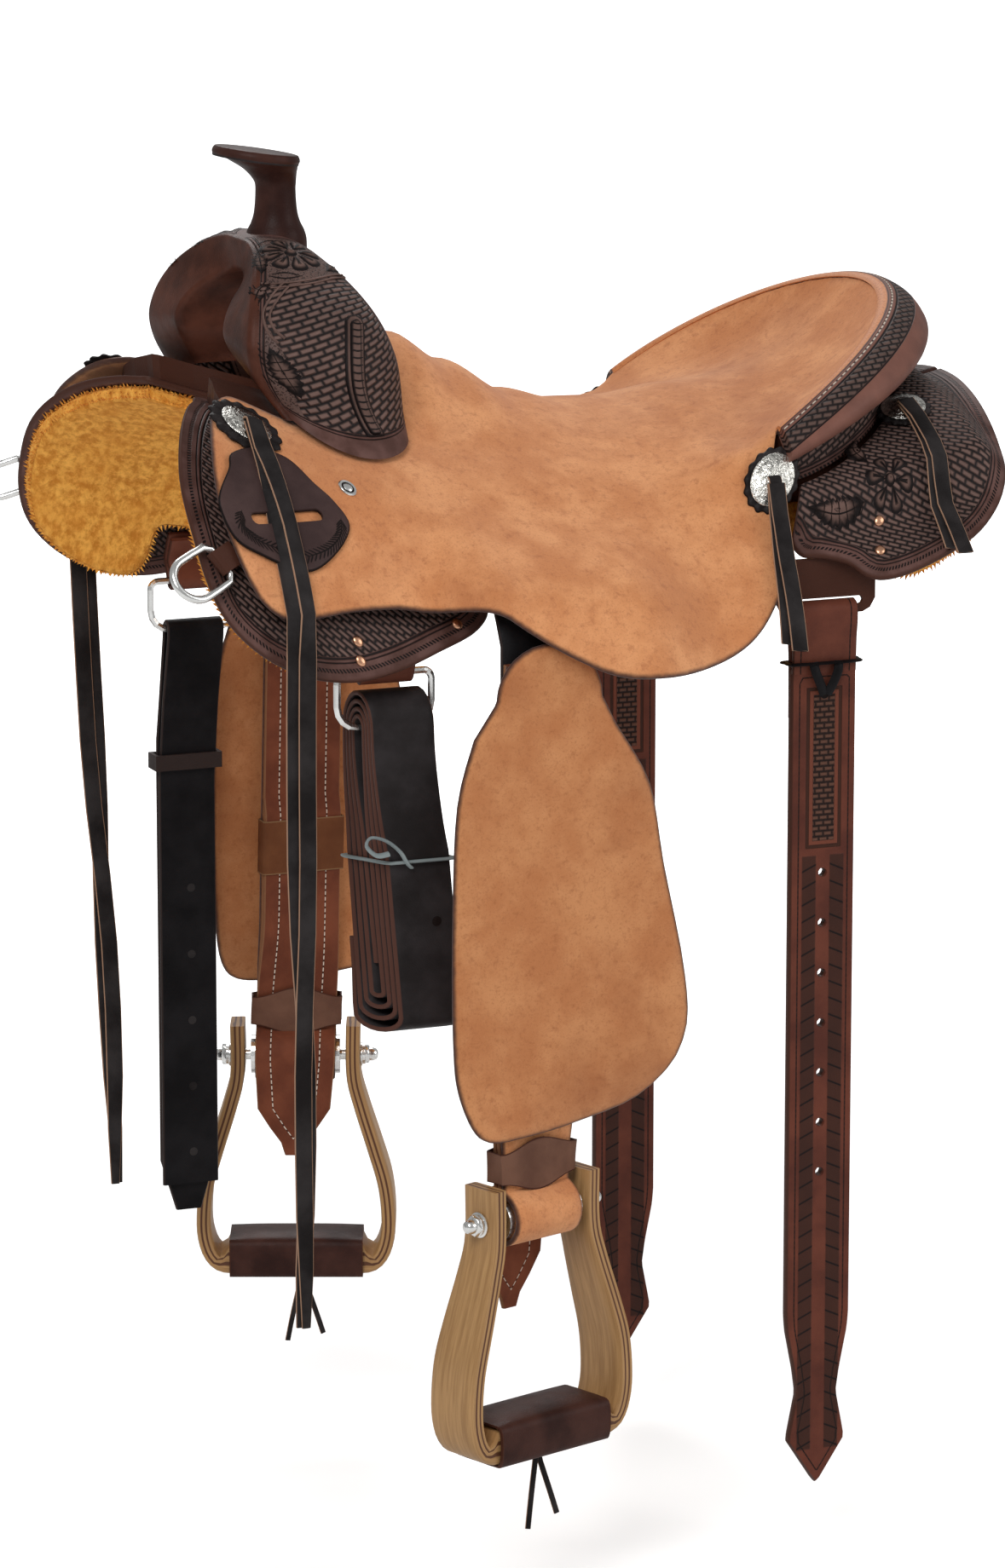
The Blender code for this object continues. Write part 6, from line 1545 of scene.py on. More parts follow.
def rosette(name, surface, a, b, side, lift=0.0, size=0.0262, share=0.69, replaces=()):
    """Scalloped leather rosette with a domed concho; gives its middle and axes."""
    here, ahead, down, out = frame_on(surface, a, b, side)
    here = here + out * lift
    count = 120
    scallops = (
        (0.2, 0.0004, 0.0, 0.0, 0.01), (0.97, 0.0004, 0.035, 0.0, 0.0), (1.02, 0.0016, 0.040, 0.0, 0.0),
        (0.98, 0.0029, 0.040, 0.0002, 0.001), (0.86, 0.0031, 0.015, 0.0007, 0.003),
        (0.72, 0.0030, 0.0, 0.0003, 0.01), (0.2, 0.0030, 0.0, 0.0, 0.01),
    )
    grid, edges = [], []
    for reach, height, petals, wave, edge in scallops:
        line = []
        for turn in (math.tau * i / count for i in range(count)):
            petal_wave = math.cos(ROSETTE_PETALS * turn)
            radius = reach * size * (1 + petals * petal_wave)
            line.append(here + (ahead * math.cos(turn) + down * math.sin(turn)) * radius
                        + out * (height + wave * petal_wave))
        grid.append(line)
        edges.append([(0.0, edge)] * count)
    rows(f"{name}_leather", grid, MATERIAL["rosette"], "saddle", closed_v=True, caps=True, edges=edges,
         replaces=replaces)
    profile = [(reach * share * size, height) for reach, height in (
        (1.0, 0.0032), (1.02, 0.0042), (0.97, 0.0052), (0.86, 0.0053), (0.80, 0.0060), (0.62, 0.0073),
        (0.42, 0.0082), (0.2, 0.0086), (0.03, 0.0087),
    )]
    lathe(f"{name}_concho", here, (ahead, down, out), profile, count, MATERIAL["silver"], "saddle")
    return here, ahead, down, out


THONG_SECTION = (
    (-0.82, 1, 0.0008), (-0.3, 1.15, 0.005), (0.3, 1.15, 0.005), (0.82, 1, 0.0008), (1, 0.4, 0.0),
    (1, -0.4, 0.0), (0.82, -1, 0.0008), (-0.82, -1, 0.0008), (-1, -0.4, 0.0), (-1, 0.4, 0.0),
)


def thong(name, points, outs, width, thickness, body, declare=True, taper=0.0, replaces=()):
    """Flat lace through points in space, its faces turned to the given outward directions."""
    grid, edges, places = [], [], []
    count = len(points)
    runs = running(points)
    for i, (point, run) in enumerate(zip(points, runs)):
        tangent = (Vector(points[min(i + 1, count - 1)]) - Vector(points[max(i - 1, 0)])).normalized()
        out = Vector(outs[i])
        out = (out - tangent * out.dot(tangent)).normalized()
        side = tangent.cross(out)
        half = width / 2 * (1 - taper * ease((i / (count - 1) - 0.93) / 0.07))
        grid.append([Vector(point) + side * half * x + out * thickness / 2 * y for x, y, _ in THONG_SECTION])
        edges.append([(run, edge) for _, _, edge in THONG_SECTION])
        places.append([(edge, run) for _, _, edge in THONG_SECTION])
    made = rows(name, grid, MATERIAL["string"], body, closed_v=True, caps=True, edges=edges, places=places,
                replaces=replaces)
    if declare:
        tuple(points[0])
        [tuple(p) for p in points]
    return made


def knot(name, at):
    """Short thong laced through the concho."""
    here, _, down, out = at
    points, outs = [], []
    for i in range(9):
        angle = math.radians(lerp(200, -20, i / 8))
        rise = 0.0070 + 0.0042 * max(math.sin(angle), -0.3)
        points.append(here + down * (0.0036 + 0.0052 * math.cos(angle) * 0.9) + out * rise)
        outs.append(out * math.sin(angle) + down * math.cos(angle))
    thong(f"{name}_0", points, outs, 0.0094, 0.0022, "saddle", declare=False)


def rivet(name, surface, a, b, side):
    here, *axes = frame_on(surface, a, b, side)
    profile = ((1.0, -0.0004), (1.0, 0.0006), (0.86, 0.0013), (0.5, 0.0018), (0.08, 0.0020))
    lathe(name, here, axes, [(r * RIVET_RADIUS, h) for r, h in profile], 20, MATERIAL["copper"], "saddle")


MID_STRING = ((0.1404, 0.1522), (0.1215, 0.2620))
REAR_STRING = ((0.2702, 0.0994), (0.2665, 0.2214))
STRING_OVERLAP = 0.0027


def strings(label, side):
    """Rosettes and the pairs of saddle strings that hang from them."""
    mid = rosette(f"{label}_mid_rosette", seat_point, *MID_STRING[0], side, size=0.0222, share=0.81,
                  lift=0.001)
    rear = rosette(f"{label}_rear_rosette", rear_point, *REAR_STRING[0], side, size=0.0206, share=0.81)
    front = rosette(f"{label}_front_rosette", seat_point, *ROSETTE, side,
                    replaces=(f"{label}_rosette_and_concho",))
    for part, at in (("front", front), ("mid", mid), ("rear", rear)):
        knot(f"{label}_{part}_knot", at)

    here, ahead, down, outward = front
    for k, shift in enumerate((-0.0046, 0.0036)):
        over_by = STRING_OVERLAP * k
        points = [here + outward * 0.0100 + down * 0.006 + ahead * (0.001 - 0.001 * k) + outward * over_by]
        outs = [outward]
        for share in (0.2, 0.4, 0.6, 0.8):
            a = lerp(ROSETTE[0] + 0.002, STRING_SEEN_X, share)
            b = lerp(ROSETTE[1] + 0.012, STRING_T, share)
            p = seat_point(a, side * b, lerp(0.0082, 0.0070, share) + over_by)
            p.x += shift * ease(share * 0.9)
            points.append(p)
            outs.append(p - seat_point(a, side * b))
        for t in (STRING_T, 0.206, 0.214, 0.222, 0.230, 0.238, 0.246, 0.254):
            p = seat_point(STRING_SEEN_X, side * t, 0.0056 + STRING_THICKNESS / 2 + over_by)
            p.x += shift
            points.append(p)
            outs.append(p - seat_point(STRING_SEEN_X, side * t))
        last = points[-1]
        for share in (0.06, 0.14, 0.24, 0.34, 0.44, 0.54, 0.64, 0.74, 0.84, 0.92, 1.0):
            z = lerp(last.z, STRING_END_Z, share)
            y = lerp(abs(last.y), 0.2135 + over_by, (last.z - z) / (last.z + 0.450))
            cross = -shift * 1.5 * ease((share - 0.35) / 0.3) + 0.9 * shift * ease((share - 0.75) / 0.25)
            points.append(Vector((last.x + 0.010 * ease((-0.05 - z) / 0.5) + cross, side * y, z)))
            outs.append(Vector((0, side, 0)))
        made = thong(f"{label}_front_string_{k}", points, outs, STRING_WIDTH, STRING_THICKNESS * 0.9, None,
                     taper=0.5, replaces=(f"{label}_front_strings",) if k == 0 else ())
        top = seat_point(STRING_X - 1.05 * STRING_WIDTH, side * STRING_T, 0.0062)
        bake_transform(made)

    for part, at, surface, (first, final) in (
        ("mid", mid, seat_point, MID_STRING), ("rear", rear, rear_point, REAR_STRING),
    ):
        here, _, down, outward = at
        for k, shift in enumerate((-0.0040, 0.0030)):
            points = [here + outward * (0.0100 + 0.0026 * k) + down * 0.005]
            outs = [outward]
            for share in (0.16, 0.26, 0.36, 0.46, 0.56, 0.66, 0.76, 0.86, 0.95 + 0.05 * k):
                a, b = lerp(first[0], final[0], share), lerp(first[1], final[1], share)
                p = surface(a, side * b, 0.0062 + 0.0026 * k + 0.0022 * ease((0.4 - share) / 0.3))
                outs.append((p - surface(a, side * b)).normalized())
                p.x += shift * share
                points.append(p)
            thong(f"{label}_{part}_string_{k}", points, outs, 0.0125, 0.0021, "saddle")


# Rigging, latigo and billets

def latigo_path():
    """The latigo's hank in (y, z): it runs over the dee's lower bar and down again, layer on layer."""
    def half_width(turn, z):
        loose = LATIGO_FIRST + LATIGO_PITCH * turn
        tied = LATIGO_TIED_FIRST + LATIGO_TIED_PITCH * turn
        return lerp(loose, tied, ease((RIG_LOW_Z - 0.004 - z) / 0.078))

    levels = [RIG_LOW_Z - 0.010 * i for i in range(1, 10)]
    path = []
    turns = LATIGO_LAYERS // 2
    for turn in range(turns):
        bottom = LATIGO_BOTTOM_Z + 0.0090 + 0.0055 * (turns - turn)
        inner_bottom = bottom + 0.0055 if turn else LATIGO_BOTTOM_Z + 0.052
        rise = [z for z in reversed(levels) if z > inner_bottom]
        path += [(RIG_Y - half_width(turn, z), z) for z in [inner_bottom] + rise]
        path += arc((RIG_Y, RIG_LOW_Z), LATIGO_FIRST + LATIGO_PITCH * turn, 180, 0, 10,
                    1 + 0.18 * turn / turns)
        path += [(RIG_Y + half_width(turn, z), z) for z in levels + [bottom]]
        left = half_width(turn + 1, bottom)
        right = half_width(turn, bottom)
        path += arc((RIG_Y + (right - left) / 2, bottom), (left + right) / 2, 0, -180, 10, 0.62)[1:-1]
    path += [(RIG_Y - half_width(turns, z), z) for z in (bottom + 0.006, bottom + 0.030, bottom + 0.054)]
    return path


def fan(p):
    """Spread of the hank's layers below the dee, the outer ones further back."""
    drop = RIG_LOW_Z - p.z
    spread = lerp(0.10, 0.62, ease(drop / 0.12))
    return Vector((p.x + spread * (abs(p.y) - RIG_Y) + 0.016 * ease(drop / 0.2), p.y, p.z))


def latigo():
    middle = RIG_X + 0.0030
    body = "near_latigo_body"

    def place(x, y, z):
        return fan(Vector((middle + x, -y, z)))

    strap("near_latigo_strap", latigo_path(), LATIGO_THICKNESS, LATIGO_WIDTH, place, MATERIAL["latigo"],
          body, 8,
          replaces=("near_latigo",))
    y = RIG_Y + LATIGO_TIED_FIRST + 3 * LATIGO_TIED_PITCH + LATIGO_THICKNESS / 2
    reach = y + 0.0022 - RIG_Y
    half = LATIGO_WIDTH / 2 + 0.0016
    loop = round_curve([
        (half, 0), (half, reach * 0.8), (half * 0.9, reach), (0, reach), (-half * 0.9, reach), (-half,
                                                                                                reach * 0.8),
        (-half, 0), (-half, -reach * 0.8), (-half * 0.9, -reach), (0, -reach), (half * 0.9, -reach),
        (half, -reach * 0.8),
    ], 6)
    path = [place(a, RIG_Y + b, LATIGO_TIE_Z) for a, b in resample(loop, 0.004)]
    tie = tube("near_latigo_twist_tie", path, 0.0023, MATERIAL["tie"], body, 8, closed=True, squash=0.55)
    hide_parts("near_latigo_tie")
    end = place(-half * 0.55, RIG_Y + reach + 0.0012, LATIGO_TIE_Z)
    curl = [end + Vector(p) for p in round_curve([
        (0.004, 0.0, -0.004), (0.0, -0.002, 0.0), (-0.006, -0.004, 0.009), (-0.017, -0.006, 0.018),
        (-0.028, -0.005, 0.021), (-0.031, -0.004, 0.015), (-0.024, -0.005, 0.008), (-0.014, -0.003, 0.008),
    ], 6, closed=False)]
    tube("near_latigo_tie_end", curl, 0.0022, MATERIAL["tie"], body, 8, squash=0.5)
    hole("near_latigo_hole", place(0.006, y + 0.0003, -0.285), Vector((0, -1, 0)), 0.0029, body)


def hole(name, spot, out, radius, body, material=None):
    """Dark punched hole: a shallow dish with a rounded lip."""
    side = Vector((1, 0, 0))
    side = (side - out * side.dot(out)).normalized()
    profile = ((1.25, 0.0001), (1.12, 0.0003), (1.0, 0.00015), (0.92, 0.00022), (0.05, 0.00022))
    lathe(name, spot, (side, out.cross(side), out), [(r * radius, h) for r, h in profile], 20,
          material or MATERIAL["cut"], body)


def off_billet():
    """Folded billet over the off dee's lower bar, both legs hanging."""
    turn = RIG_WIRE + 0.0009 + STRAP_LEATHER / 2
    leg = 0.0027
    path = [(RIG_Y + leg, z) for z in (BILLET_END_Z, -0.56, -0.52, -0.48, -0.44, -0.40, -0.36, -0.32, -0.29,
                                       -0.260)]
    path += [(RIG_Y + 0.0033, -0.230), (RIG_Y + 0.0040, -0.200), (RIG_Y + turn, RIG_LOW_Z - 0.006)]
    path += arc((RIG_Y, RIG_LOW_Z), turn, 0, 180, 14)
    path += [(RIG_Y - turn, RIG_LOW_Z - 0.006), (RIG_Y - 0.0040, -0.200), (RIG_Y - leg, -0.260)]
    path += [(RIG_Y - leg, z) for z in (-0.30, -0.36, -0.42, -0.48, -0.54, BILLET_END_Z + 0.022)]
    middle = RIG_X - 0.0015

    def place(x, y, z):
        return Vector((middle + x - 0.0075 * ease((RIG_LOW_Z - z) / 0.10), y, z))

    strap("off_billet_strap", path, STRAP_LEATHER, BILLET_WIDTH, place, MATERIAL["black"], "off_billet_body",
          6,
          width_at=lambda r: BILLET_WIDTH * (1 - 0.55 * (1 - ease(r / 0.02))), replaces=("off_billet",))
    for k in range(5):
        z = -0.345 - 0.052 * k
        hole(f"off_billet_hole_{k}", place(0.002, RIG_Y + 0.0048, z), Vector((0, 1, 0)), 0.0026,
             "off_billet_body")
        hole(f"off_billet_inner_hole_{k}", place(0.002, RIG_Y - 0.0048, z), Vector((0, -1, 0)), 0.0026,
             "off_billet_body", MATERIAL["string"])


def rigging(label, side):
    bar_z = RIG_DEE_Z + RIG_DEE_HEIGHT / 2 - RIG_WIRE
    wrap = RIG_WIRE + 0.0008 + STRAP_LEATHER / 2
    down = (0.234, 0.241, 0.248, 0.254)
    path = [section_point(RIG_X, t, 0.0100) for t in down]
    path += arc((RIG_Y, bar_z), wrap, -14, -206, 14)
    path += [section_point(RIG_X, t, 0.0027) for t in reversed(down)]
    strap(f"{label}_rigging_strap", path, STRAP_LEATHER - 0.0004, 0.040,
          lambda x, y, z: Vector((RIG_X + x, side * y, z)), MATERIAL["chestnut"], "saddle", 6,
          replaces=(f"{label}_rigging_leather",))
    for k, (x, t) in enumerate(((-0.197, 0.254), (-0.197, 0.267), (-0.118, 0.229))):
        rivet(f"{label}_front_rivet_{k}", front_skirt_point, x, t, side)
    for k, (x, t) in enumerate(((0.221, 0.175), (0.214, 0.197))):
        rivet(f"{label}_rear_rivet_{k}", rear_point, x, t, side)
    screw(f"{label}_jockey_screw", side)


def screw(name, side):
    """Screw in a dished washer on the front jockey."""
    here, *axes = frame_on(seat_point, -0.185, 0.154, side)
    for part, look, profile in (
        ("washer", "steel", ((0.0068, -0.0002), (0.0069, 0.0008), (0.0062, 0.0015), (0.0048, 0.0012),
                             (0.0046, 0.0003))),
        ("recess", "cut", ((0.0046, 0.0004), (0.0040, 0.0005), (0.0004, 0.0005))),
        ("head", "steel", ((0.0034, 0.0004), (0.0035, 0.0014), (0.0024, 0.0021), (0.0003, 0.0022))),
    ):
        lathe(f"{name}_{part}", here, axes, profile, 28, MATERIAL[look], "saddle")


FLANK_TIP = ((0.0, 0.130), (0.001, 0.118), (0.007, 0.088), (0.0095, 0.070), (0.0035, 0.040), (0.0025, 0.034))


def flank_billet(label, side):
    """Fold over the rear plate's bar, laced to a doubled billet with a panel, a ladder and seven holes."""
    body = f"{label}_flank_billet_body"
    bar_z = FLANK_SLOT_Z - FLANK_SLOT_HEIGHT / 2 - FLANK_BAR / 2
    turn = FLANK_BAR / 2 + 0.0008 + STRAP_LEATHER / 2
    path = [(FLANK_Y + 0.0030, -0.135), (FLANK_Y + 0.0032, -0.128), (FLANK_Y + 0.0034, bar_z - 0.034),
            (FLANK_Y + 0.0040, bar_z - 0.020), (FLANK_Y + turn, bar_z - 0.008)]
    path += arc((FLANK_Y, bar_z), turn, 0, 180, 14)
    path += [(FLANK_Y - turn, bar_z - 0.008), (FLANK_Y - 0.0030, bar_z - 0.034), (FLANK_Y - 0.0026, -0.160),
             (FLANK_Y - 0.0026, -0.168)]
    put = lambda x, y, z: Vector((FLANK_X + x, side * (FLANK_Y + y), z))
    strap(f"{label}_flank_fold", path, STRAP_LEATHER * 0.98, FLANK_WIDTH - 0.0006,
          lambda x, y, z: Vector((FLANK_X + x, side * y, z)), MATERIAL["fold"], body, 8)
    half = FLANK_WIDTH / 2
    low = FLANK_END_Z
    outline = [(half, -0.132), (-half, -0.132)] + [(inset - half, low + rise) for inset, rise in FLANK_TIP]
    outline += [(-0.0010, low + 0.0006), (0.0010, low + 0.0006)]
    outline += [(half - inset, low + rise) for inset, rise in reversed(FLANK_TIP)]
    holes = [[(0.0032 * math.cos(a / 6 * math.pi), -0.283 - 0.0375 * k + 0.0032 * math.sin(a / 6 * math.pi))
              for a in range(12)] for k in range(7)]
    leather(f"{label}_flank_billet_leather", [outline] + holes, lambda a, b, h=0.0: put(a, 0.0047 + h, b),
            0.0090,
            MATERIAL["flank"], body, 0.010, 0.005, 0.0010, replaces=(f"{label}_flank_billet",))
    z = -0.1275
    band = round_curve([
        (-half - 0.0016, -0.002), (-half - 0.0012, 0.0052), (-half + 0.004, 0.0070), (0, 0.0074),
        (half - 0.004, 0.0070), (half + 0.0012, 0.0052), (half + 0.0016, -0.002), (half + 0.0008, -0.0062),
        (0, -0.0068), (-half - 0.0008, -0.0062),
    ], 5)
    tube(f"{label}_flank_lace_band", [put(a, b, z) for a, b in band], 0.0032, MATERIAL["black"], body, 8,
         closed=True, squash=0.35)
    leg = round_curve([
        (0.0100, 0.0070, 0.0010), (0.0088, 0.0086, -0.0060), (0.0050, 0.0086, -0.0150), (0.0012, 0.0066,
                                                                                         -0.0230),
    ], 5, closed=False)
    for flip, end in ((-1, "front"), (1, "rear")):
        tube(f"{label}_flank_lace_{end}", [put(flip * a, b, z + c) for a, b, c in leg], 0.0036,
             MATERIAL["black"],
             body, 8, squash=0.40)
    hole(f"{label}_flank_lace_hole", put(0.0, 0.0048, z - 0.0235), Vector((0, side, 0)), 0.0026, body)


# Fenders, stirrup leathers and stirrups

FENDER_EDGE = (
    (-0.123, -0.150), (-0.1355, -0.196), (-0.139, -0.270), (-0.139, -0.362), (-0.134, -0.415), (-0.121,
                                                                                                -0.437),
    (-0.085, -0.438), (-0.045, -0.434), (0.006, -0.420), (0.037, -0.379), (0.038, -0.331), (0.021, -0.248),
    (0.010, -0.190), (-0.016, -0.145),
)


def fender(label, side):
    """Fender with a round crown about the swing's axis and a softly rippled face."""
    outline = arc((SWING_X, SWING_Z), 0.040, 0, 180, 15) + round_curve(FENDER_EDGE, 4, closed=False)
    turned = twist(label, side)

    def place(a, b, h=0.0):
        ripple = 0.0010 * noise.noise(Vector((a * 16, b * 9, side)))
        ripple += 0.0006 * noise.noise(Vector((a * 40, b * 34, side)))
        out = max(ripple, -0.0002) if h > -0.002 else 0.0
        return turned(Vector((a, side * (FENDER_FACE_Y + h + out), b)))

    leather(f"{label}_fender_leather", [outline], place, FENDER_LEATHER, MATERIAL["fender"],
            f"{label}_fender_body",
            0.0075, 0.004, replaces=(f"{label}_fender",))


def stirrup_leathers(label, side):
    """Strap over the tree bar, the twisted loop round the stirrup bolt, its tail and the two sleeves."""
    body = f"{label}_fender_body"
    placed = hang(label, side)
    turned = twist(label, side)
    put = lambda x, y, z: placed(Vector((SWING_X + x, side * y, z)))

    top = [section_point(SWING_X, t, lift) for t, lift in (
        (0.115 + 0.150 * -SWING_X, 0.0335), (0.139, 0.0335), (0.150, 0.0337), (0.162, 0.0342), (0.175,
                                                                                                0.0355),
        (0.188, 0.0370), (0.202, 0.0388), (0.216, 0.0400), (0.230, 0.0410),
    )]
    top += [(LEG_IN, -0.088), (LEG_IN, -0.152)]

    def top_place(x, y, z):
        shift = skin(SWING_X + x, 0.2, 0.03) - skin(SWING_X, 0.2, 0.03)
        share = 1 - ease((abs(y) - 0.20) / 0.035)
        return Vector((SWING_X + x, side * (y + shift.y * share), z + shift.z * share))

    strap(f"{label}_stirrup_leather_top_strap", top, STRAP_LEATHER * 0.96, STRAP_WIDTH, top_place,
          MATERIAL["black"],
          "saddle", 6, replaces=(f"{label}_stirrup_leather_top",))

    twisted = [TWIST_TOP_Z - 0.0125 * i for i in range(7)]
    foot = HOBBLE_TOP_Z - HOBBLE_HEIGHT - 0.003
    reach = math.hypot(LEG_OUT - BOLT_Y, foot - BOLT_Z)
    tangent = math.degrees(math.atan2(foot - BOLT_Z, LEG_OUT - BOLT_Y) - math.acos(LOOP_RADIUS / reach))
    down = [(LEG_OUT, z) for z in [-0.100, -0.150, -0.200, -0.240, -0.300, -0.350] + twisted + [foot]]
    bend = arc((BOLT_Y, BOLT_Z), LOOP_RADIUS, tangent, -180 - tangent, 22)
    up = [(LEG_BACK, z) for z in [foot] + twisted[::-1] + [-0.345, BUCKLE_TOP_Z - 0.006]]
    tan_end = len(down) + len(bend)
    strap(f"{label}_stirrup_leather_strap", down + bend + up, STRAP_LEATHER * 0.96, STRAP_WIDTH, put,
          [MATERIAL["leg"], MATERIAL["seat"]], body, 6, slot_of=lambda i, j: 1 if i < tan_end else 0,
          replaces=(f"{label}_stirrup_leather",))

    clear = LOOP_RADIUS + STRAP_LEATHER + 0.0009
    tail = [(LEG_BACK, z) for z in (-0.100, -0.160, -0.220, BUCKLE_TOP_Z + 0.030, BUCKLE_TOP_Z + 0.018)]
    tail += [(LEG_IN, z) for z in [BUCKLE_TOP_Z + 0.004, BUCKLE_TOP_Z - BUCKLE_HEIGHT] + twisted]
    tail += [(LEG_IN, HOBBLE_TOP_Z - HOBBLE_HEIGHT - 0.0006)]
    tail += arc((BOLT_Y, BOLT_Z), clear, 127, 180, 6)
    tail += [(BOLT_Y - clear - inwards, z) for inwards, z in (
        (0.0, -0.535), (0.0002, -0.550), (0.0004, -0.562), (0.0005, TAIL_END_Z),
    )]
    strap(f"{label}_stirrup_tail_strap", tail, STRAP_LEATHER * 0.96, STRAP_WIDTH, put, MATERIAL["leg"], body,
          8,
          width_at=lambda r: STRAP_WIDTH * (1 - 0.80 * ease((r - 0.885) / 0.115) ** 1.6),
          replaces=(f"{label}_stirrup_strap_tail",))
    for k in range(5):
        z = BUCKLE_TOP_Z - BUCKLE_HEIGHT - 0.006 - 0.0135 * k
        out = (turned(Vector((0, side * (BOLT_Y - 0.1), z))) - turned(Vector((0, side * BOLT_Y,
                                                                              z)))).normalized()
        hole(f"{label}_tail_hole_{k}", put(0.006, LEG_IN - STRAP_LEATHER / 2, z), out, 0.0030, body)

    def sleeve(name, x_half, slack, z0, z1, wall, material, replaced, wave=0.0):
        """Band round the layers between two heights; wave bows its upper and lower edges."""
        y0, y1 = LEG_IN - STRAP_LEATHER / 2 - slack, LEG_OUT + STRAP_LEATHER / 2 + slack
        centre = (y0 + y1) / 2
        loop = resample(round_curve([
            (x_half, centre), (x_half, y1 - 0.001), (x_half - 0.002, y1 + wall), (0, y1 + wall + 0.0004),
            (-x_half + 0.002, y1 + wall), (-x_half, y1 - 0.001), (-x_half, centre), (-x_half, y0 + 0.001),
            (-x_half + 0.002, y0 - wall), (0, y0 - wall), (x_half - 0.002, y0 - wall), (x_half, y0 + 0.001),
        ], 4), 0.004)
        grid, edges = [], []
        for shrink, share in [(0.0009, 0.0)] + [(0.0, k / 6) for k in range(7)] + [(0.0009, 1.0)]:
            line = []
            for a, b in loop:
                x = a - math.copysign(shrink, a) if abs(a) > 0.002 else a
                y = b - math.copysign(shrink, b - centre)
                bow = wave * math.cos(math.pi * min(abs(a) / x_half, 1)) * (2 * share - 1)
                line.append(put(x, y, lerp(z0, z1, share) + bow))
            grid.append(line)
            gap = 0.0 if shrink else min(share, 1 - share) * (z1 - z0)
            edges.append([(a, gap) for a, b in loop])
        rows(name, grid, material, body, closed_v=True, edges=edges, replaces=(replaced,))

    half = STRAP_WIDTH / 2
    sleeve(f"{label}_buckle_sleeve_leather", half + 0.0016, 0.0004, BUCKLE_TOP_Z - BUCKLE_HEIGHT,
           BUCKLE_TOP_Z,
           0.0007, MATERIAL["sleeve"], f"{label}_strap_sleeve")
    sleeve(f"{label}_hobble_band", half + 0.0034, 0.0010, HOBBLE_TOP_Z - HOBBLE_HEIGHT, HOBBLE_TOP_Z, 0.0020,
           MATERIAL["hobble"], f"{label}_hobble_strap", 0.004)


STIRRUP_EDGE = (
    (STIRRUP_NECK_HALF, 0.026), (STIRRUP_NECK_HALF, -0.012), (0.0560, -0.036), (0.0665, -0.070), (0.0745,
                                                                                                  -0.098),
    (0.0775, -0.124), (0.0765, -0.145), (0.0700, -0.162), (0.0570, -STIRRUP_DROP), (0.030, -STIRRUP_DROP),
    (0.0, -STIRRUP_DROP),
)
# Section of the frame as shares of wall and half depth, from the middle of the outer face and round
STIRRUP_SECTION = (
    (0.0, 0.0), (0.0, 0.5), (0.0, 0.92), (0.08, 1.0), (0.27, 1.0), (0.42, 1.0), (0.61, 1.0), (0.76, 1.0),
    (0.92, 1.0), (1.0, 0.92), (1.0, 0.5), (1.0, 0.0), (1.0, -0.5), (1.0, -0.92), (0.92, -1.0), (0.76, -1.0),
    (0.61, -1.0), (0.42, -1.0), (0.27, -1.0), (0.08, -1.0), (0.0, -0.92), (0.0, -0.5),
)


def stirrup(label, side):
    body = f"{label}_stirrup_body"
    turn = Matrix.Rotation(-side * TWIST[label], 3, "Z")
    bolt = Vector((BOLT_X, side * BOLT_Y, BOLT_Z))
    put = lambda x, out, z: bolt + turn @ Vector((x, side * out, z))
    stirrup_frame(label, put, body)
    stirrup_bolt(label, bolt, turn @ Vector((1, 0, 0)), body)
    tread(label, side, put, turn, body)


def stirrup_frame(label, put, body):
    """Bent wooden frame, its edge UV map counted across the layers on the broad faces."""
    edge = round_curve(STIRRUP_EDGE, 6, closed=False)
    outer = resample(edge + [(-x, z) for x, z in reversed(edge[:-1])], 0.006, closed=False)
    grid, edges, places = [], [], []
    for i, ((x, z), run) in enumerate(zip(outer, running(outer))):
        before, after = outer[max(i - 1, 0)], outer[min(i + 1, len(outer) - 1)]
        tangent = Vector((after[0] - before[0], after[1] - before[1])).normalized()
        inward = Vector((tangent.y, -tangent.x))
        if inward.dot(Vector((-x, -0.08 - z))) < 0:
            inward = -inward
        wall = lerp(STIRRUP_WALL, STIRRUP_SOLE - 0.0004, ease((0.068 - abs(x)) / 0.012) if z < -0.12 else 0.0)
        deep = lerp(0.0165, STIRRUP_DEPTH / 2, ease(-z / 0.10))
        line, line_edges, line_places = [], [], []
        for share, depth in STIRRUP_SECTION:
            q = Vector((x, z)) + inward * wall * share
            line.append(put(q.x, depth * deep, q.y))
            if abs(depth) == 1.0:
                line_edges.append((run, share * STIRRUP_WALL))
                line_places.append((run, depth * deep + 0.06 * share))
            else:
                line_edges.append((run, 0.0015 if share < 0.5 else 0.0098))
                line_places.append((run, depth * deep))
        grid.append(line)
        edges.append(line_edges)
        places.append(line_places)
    rows(f"{label}_stirrup_frame_wood", grid, MATERIAL["wood"], body, closed_v=True, caps=True, edges=edges,
         places=places, replaces=(f"{label}_stirrup_frame",))


def stirrup_bolt(label, bolt, along_bolt, body):
    """Washer, nut and domed end on both necks of the frame."""
    up = Vector((0, 0, 1))
    for flip, end in ((-1, "front"), (1, "rear")):
        axis = along_bolt * flip
        face = bolt + axis * (STIRRUP_NECK_HALF + 0.0005)
        for part, sides, start, profile in (
            ("washer", 28, 0.0, ((0.0092, -0.0004), (0.0092, 0.0006), (0.0086, 0.0010), (0.004, 0.0010))),
            ("nut", 6, 0.3, ((0.0079, 0.0008), (0.0080, 0.0056), (0.0070, 0.0064), (0.003, 0.0064))),
            ("dome", 20, 0.0, ((0.0052, 0.0060), (0.0052, 0.0092), (0.0042, 0.0118), (0.0024, 0.0130),
                               (0.0004, 0.0133))),
        ):
            lathe(f"{label}_bolt_{part}_{end}", face, (up, axis.cross(up), axis), profile, sides,
                  MATERIAL["steel"], body, start)


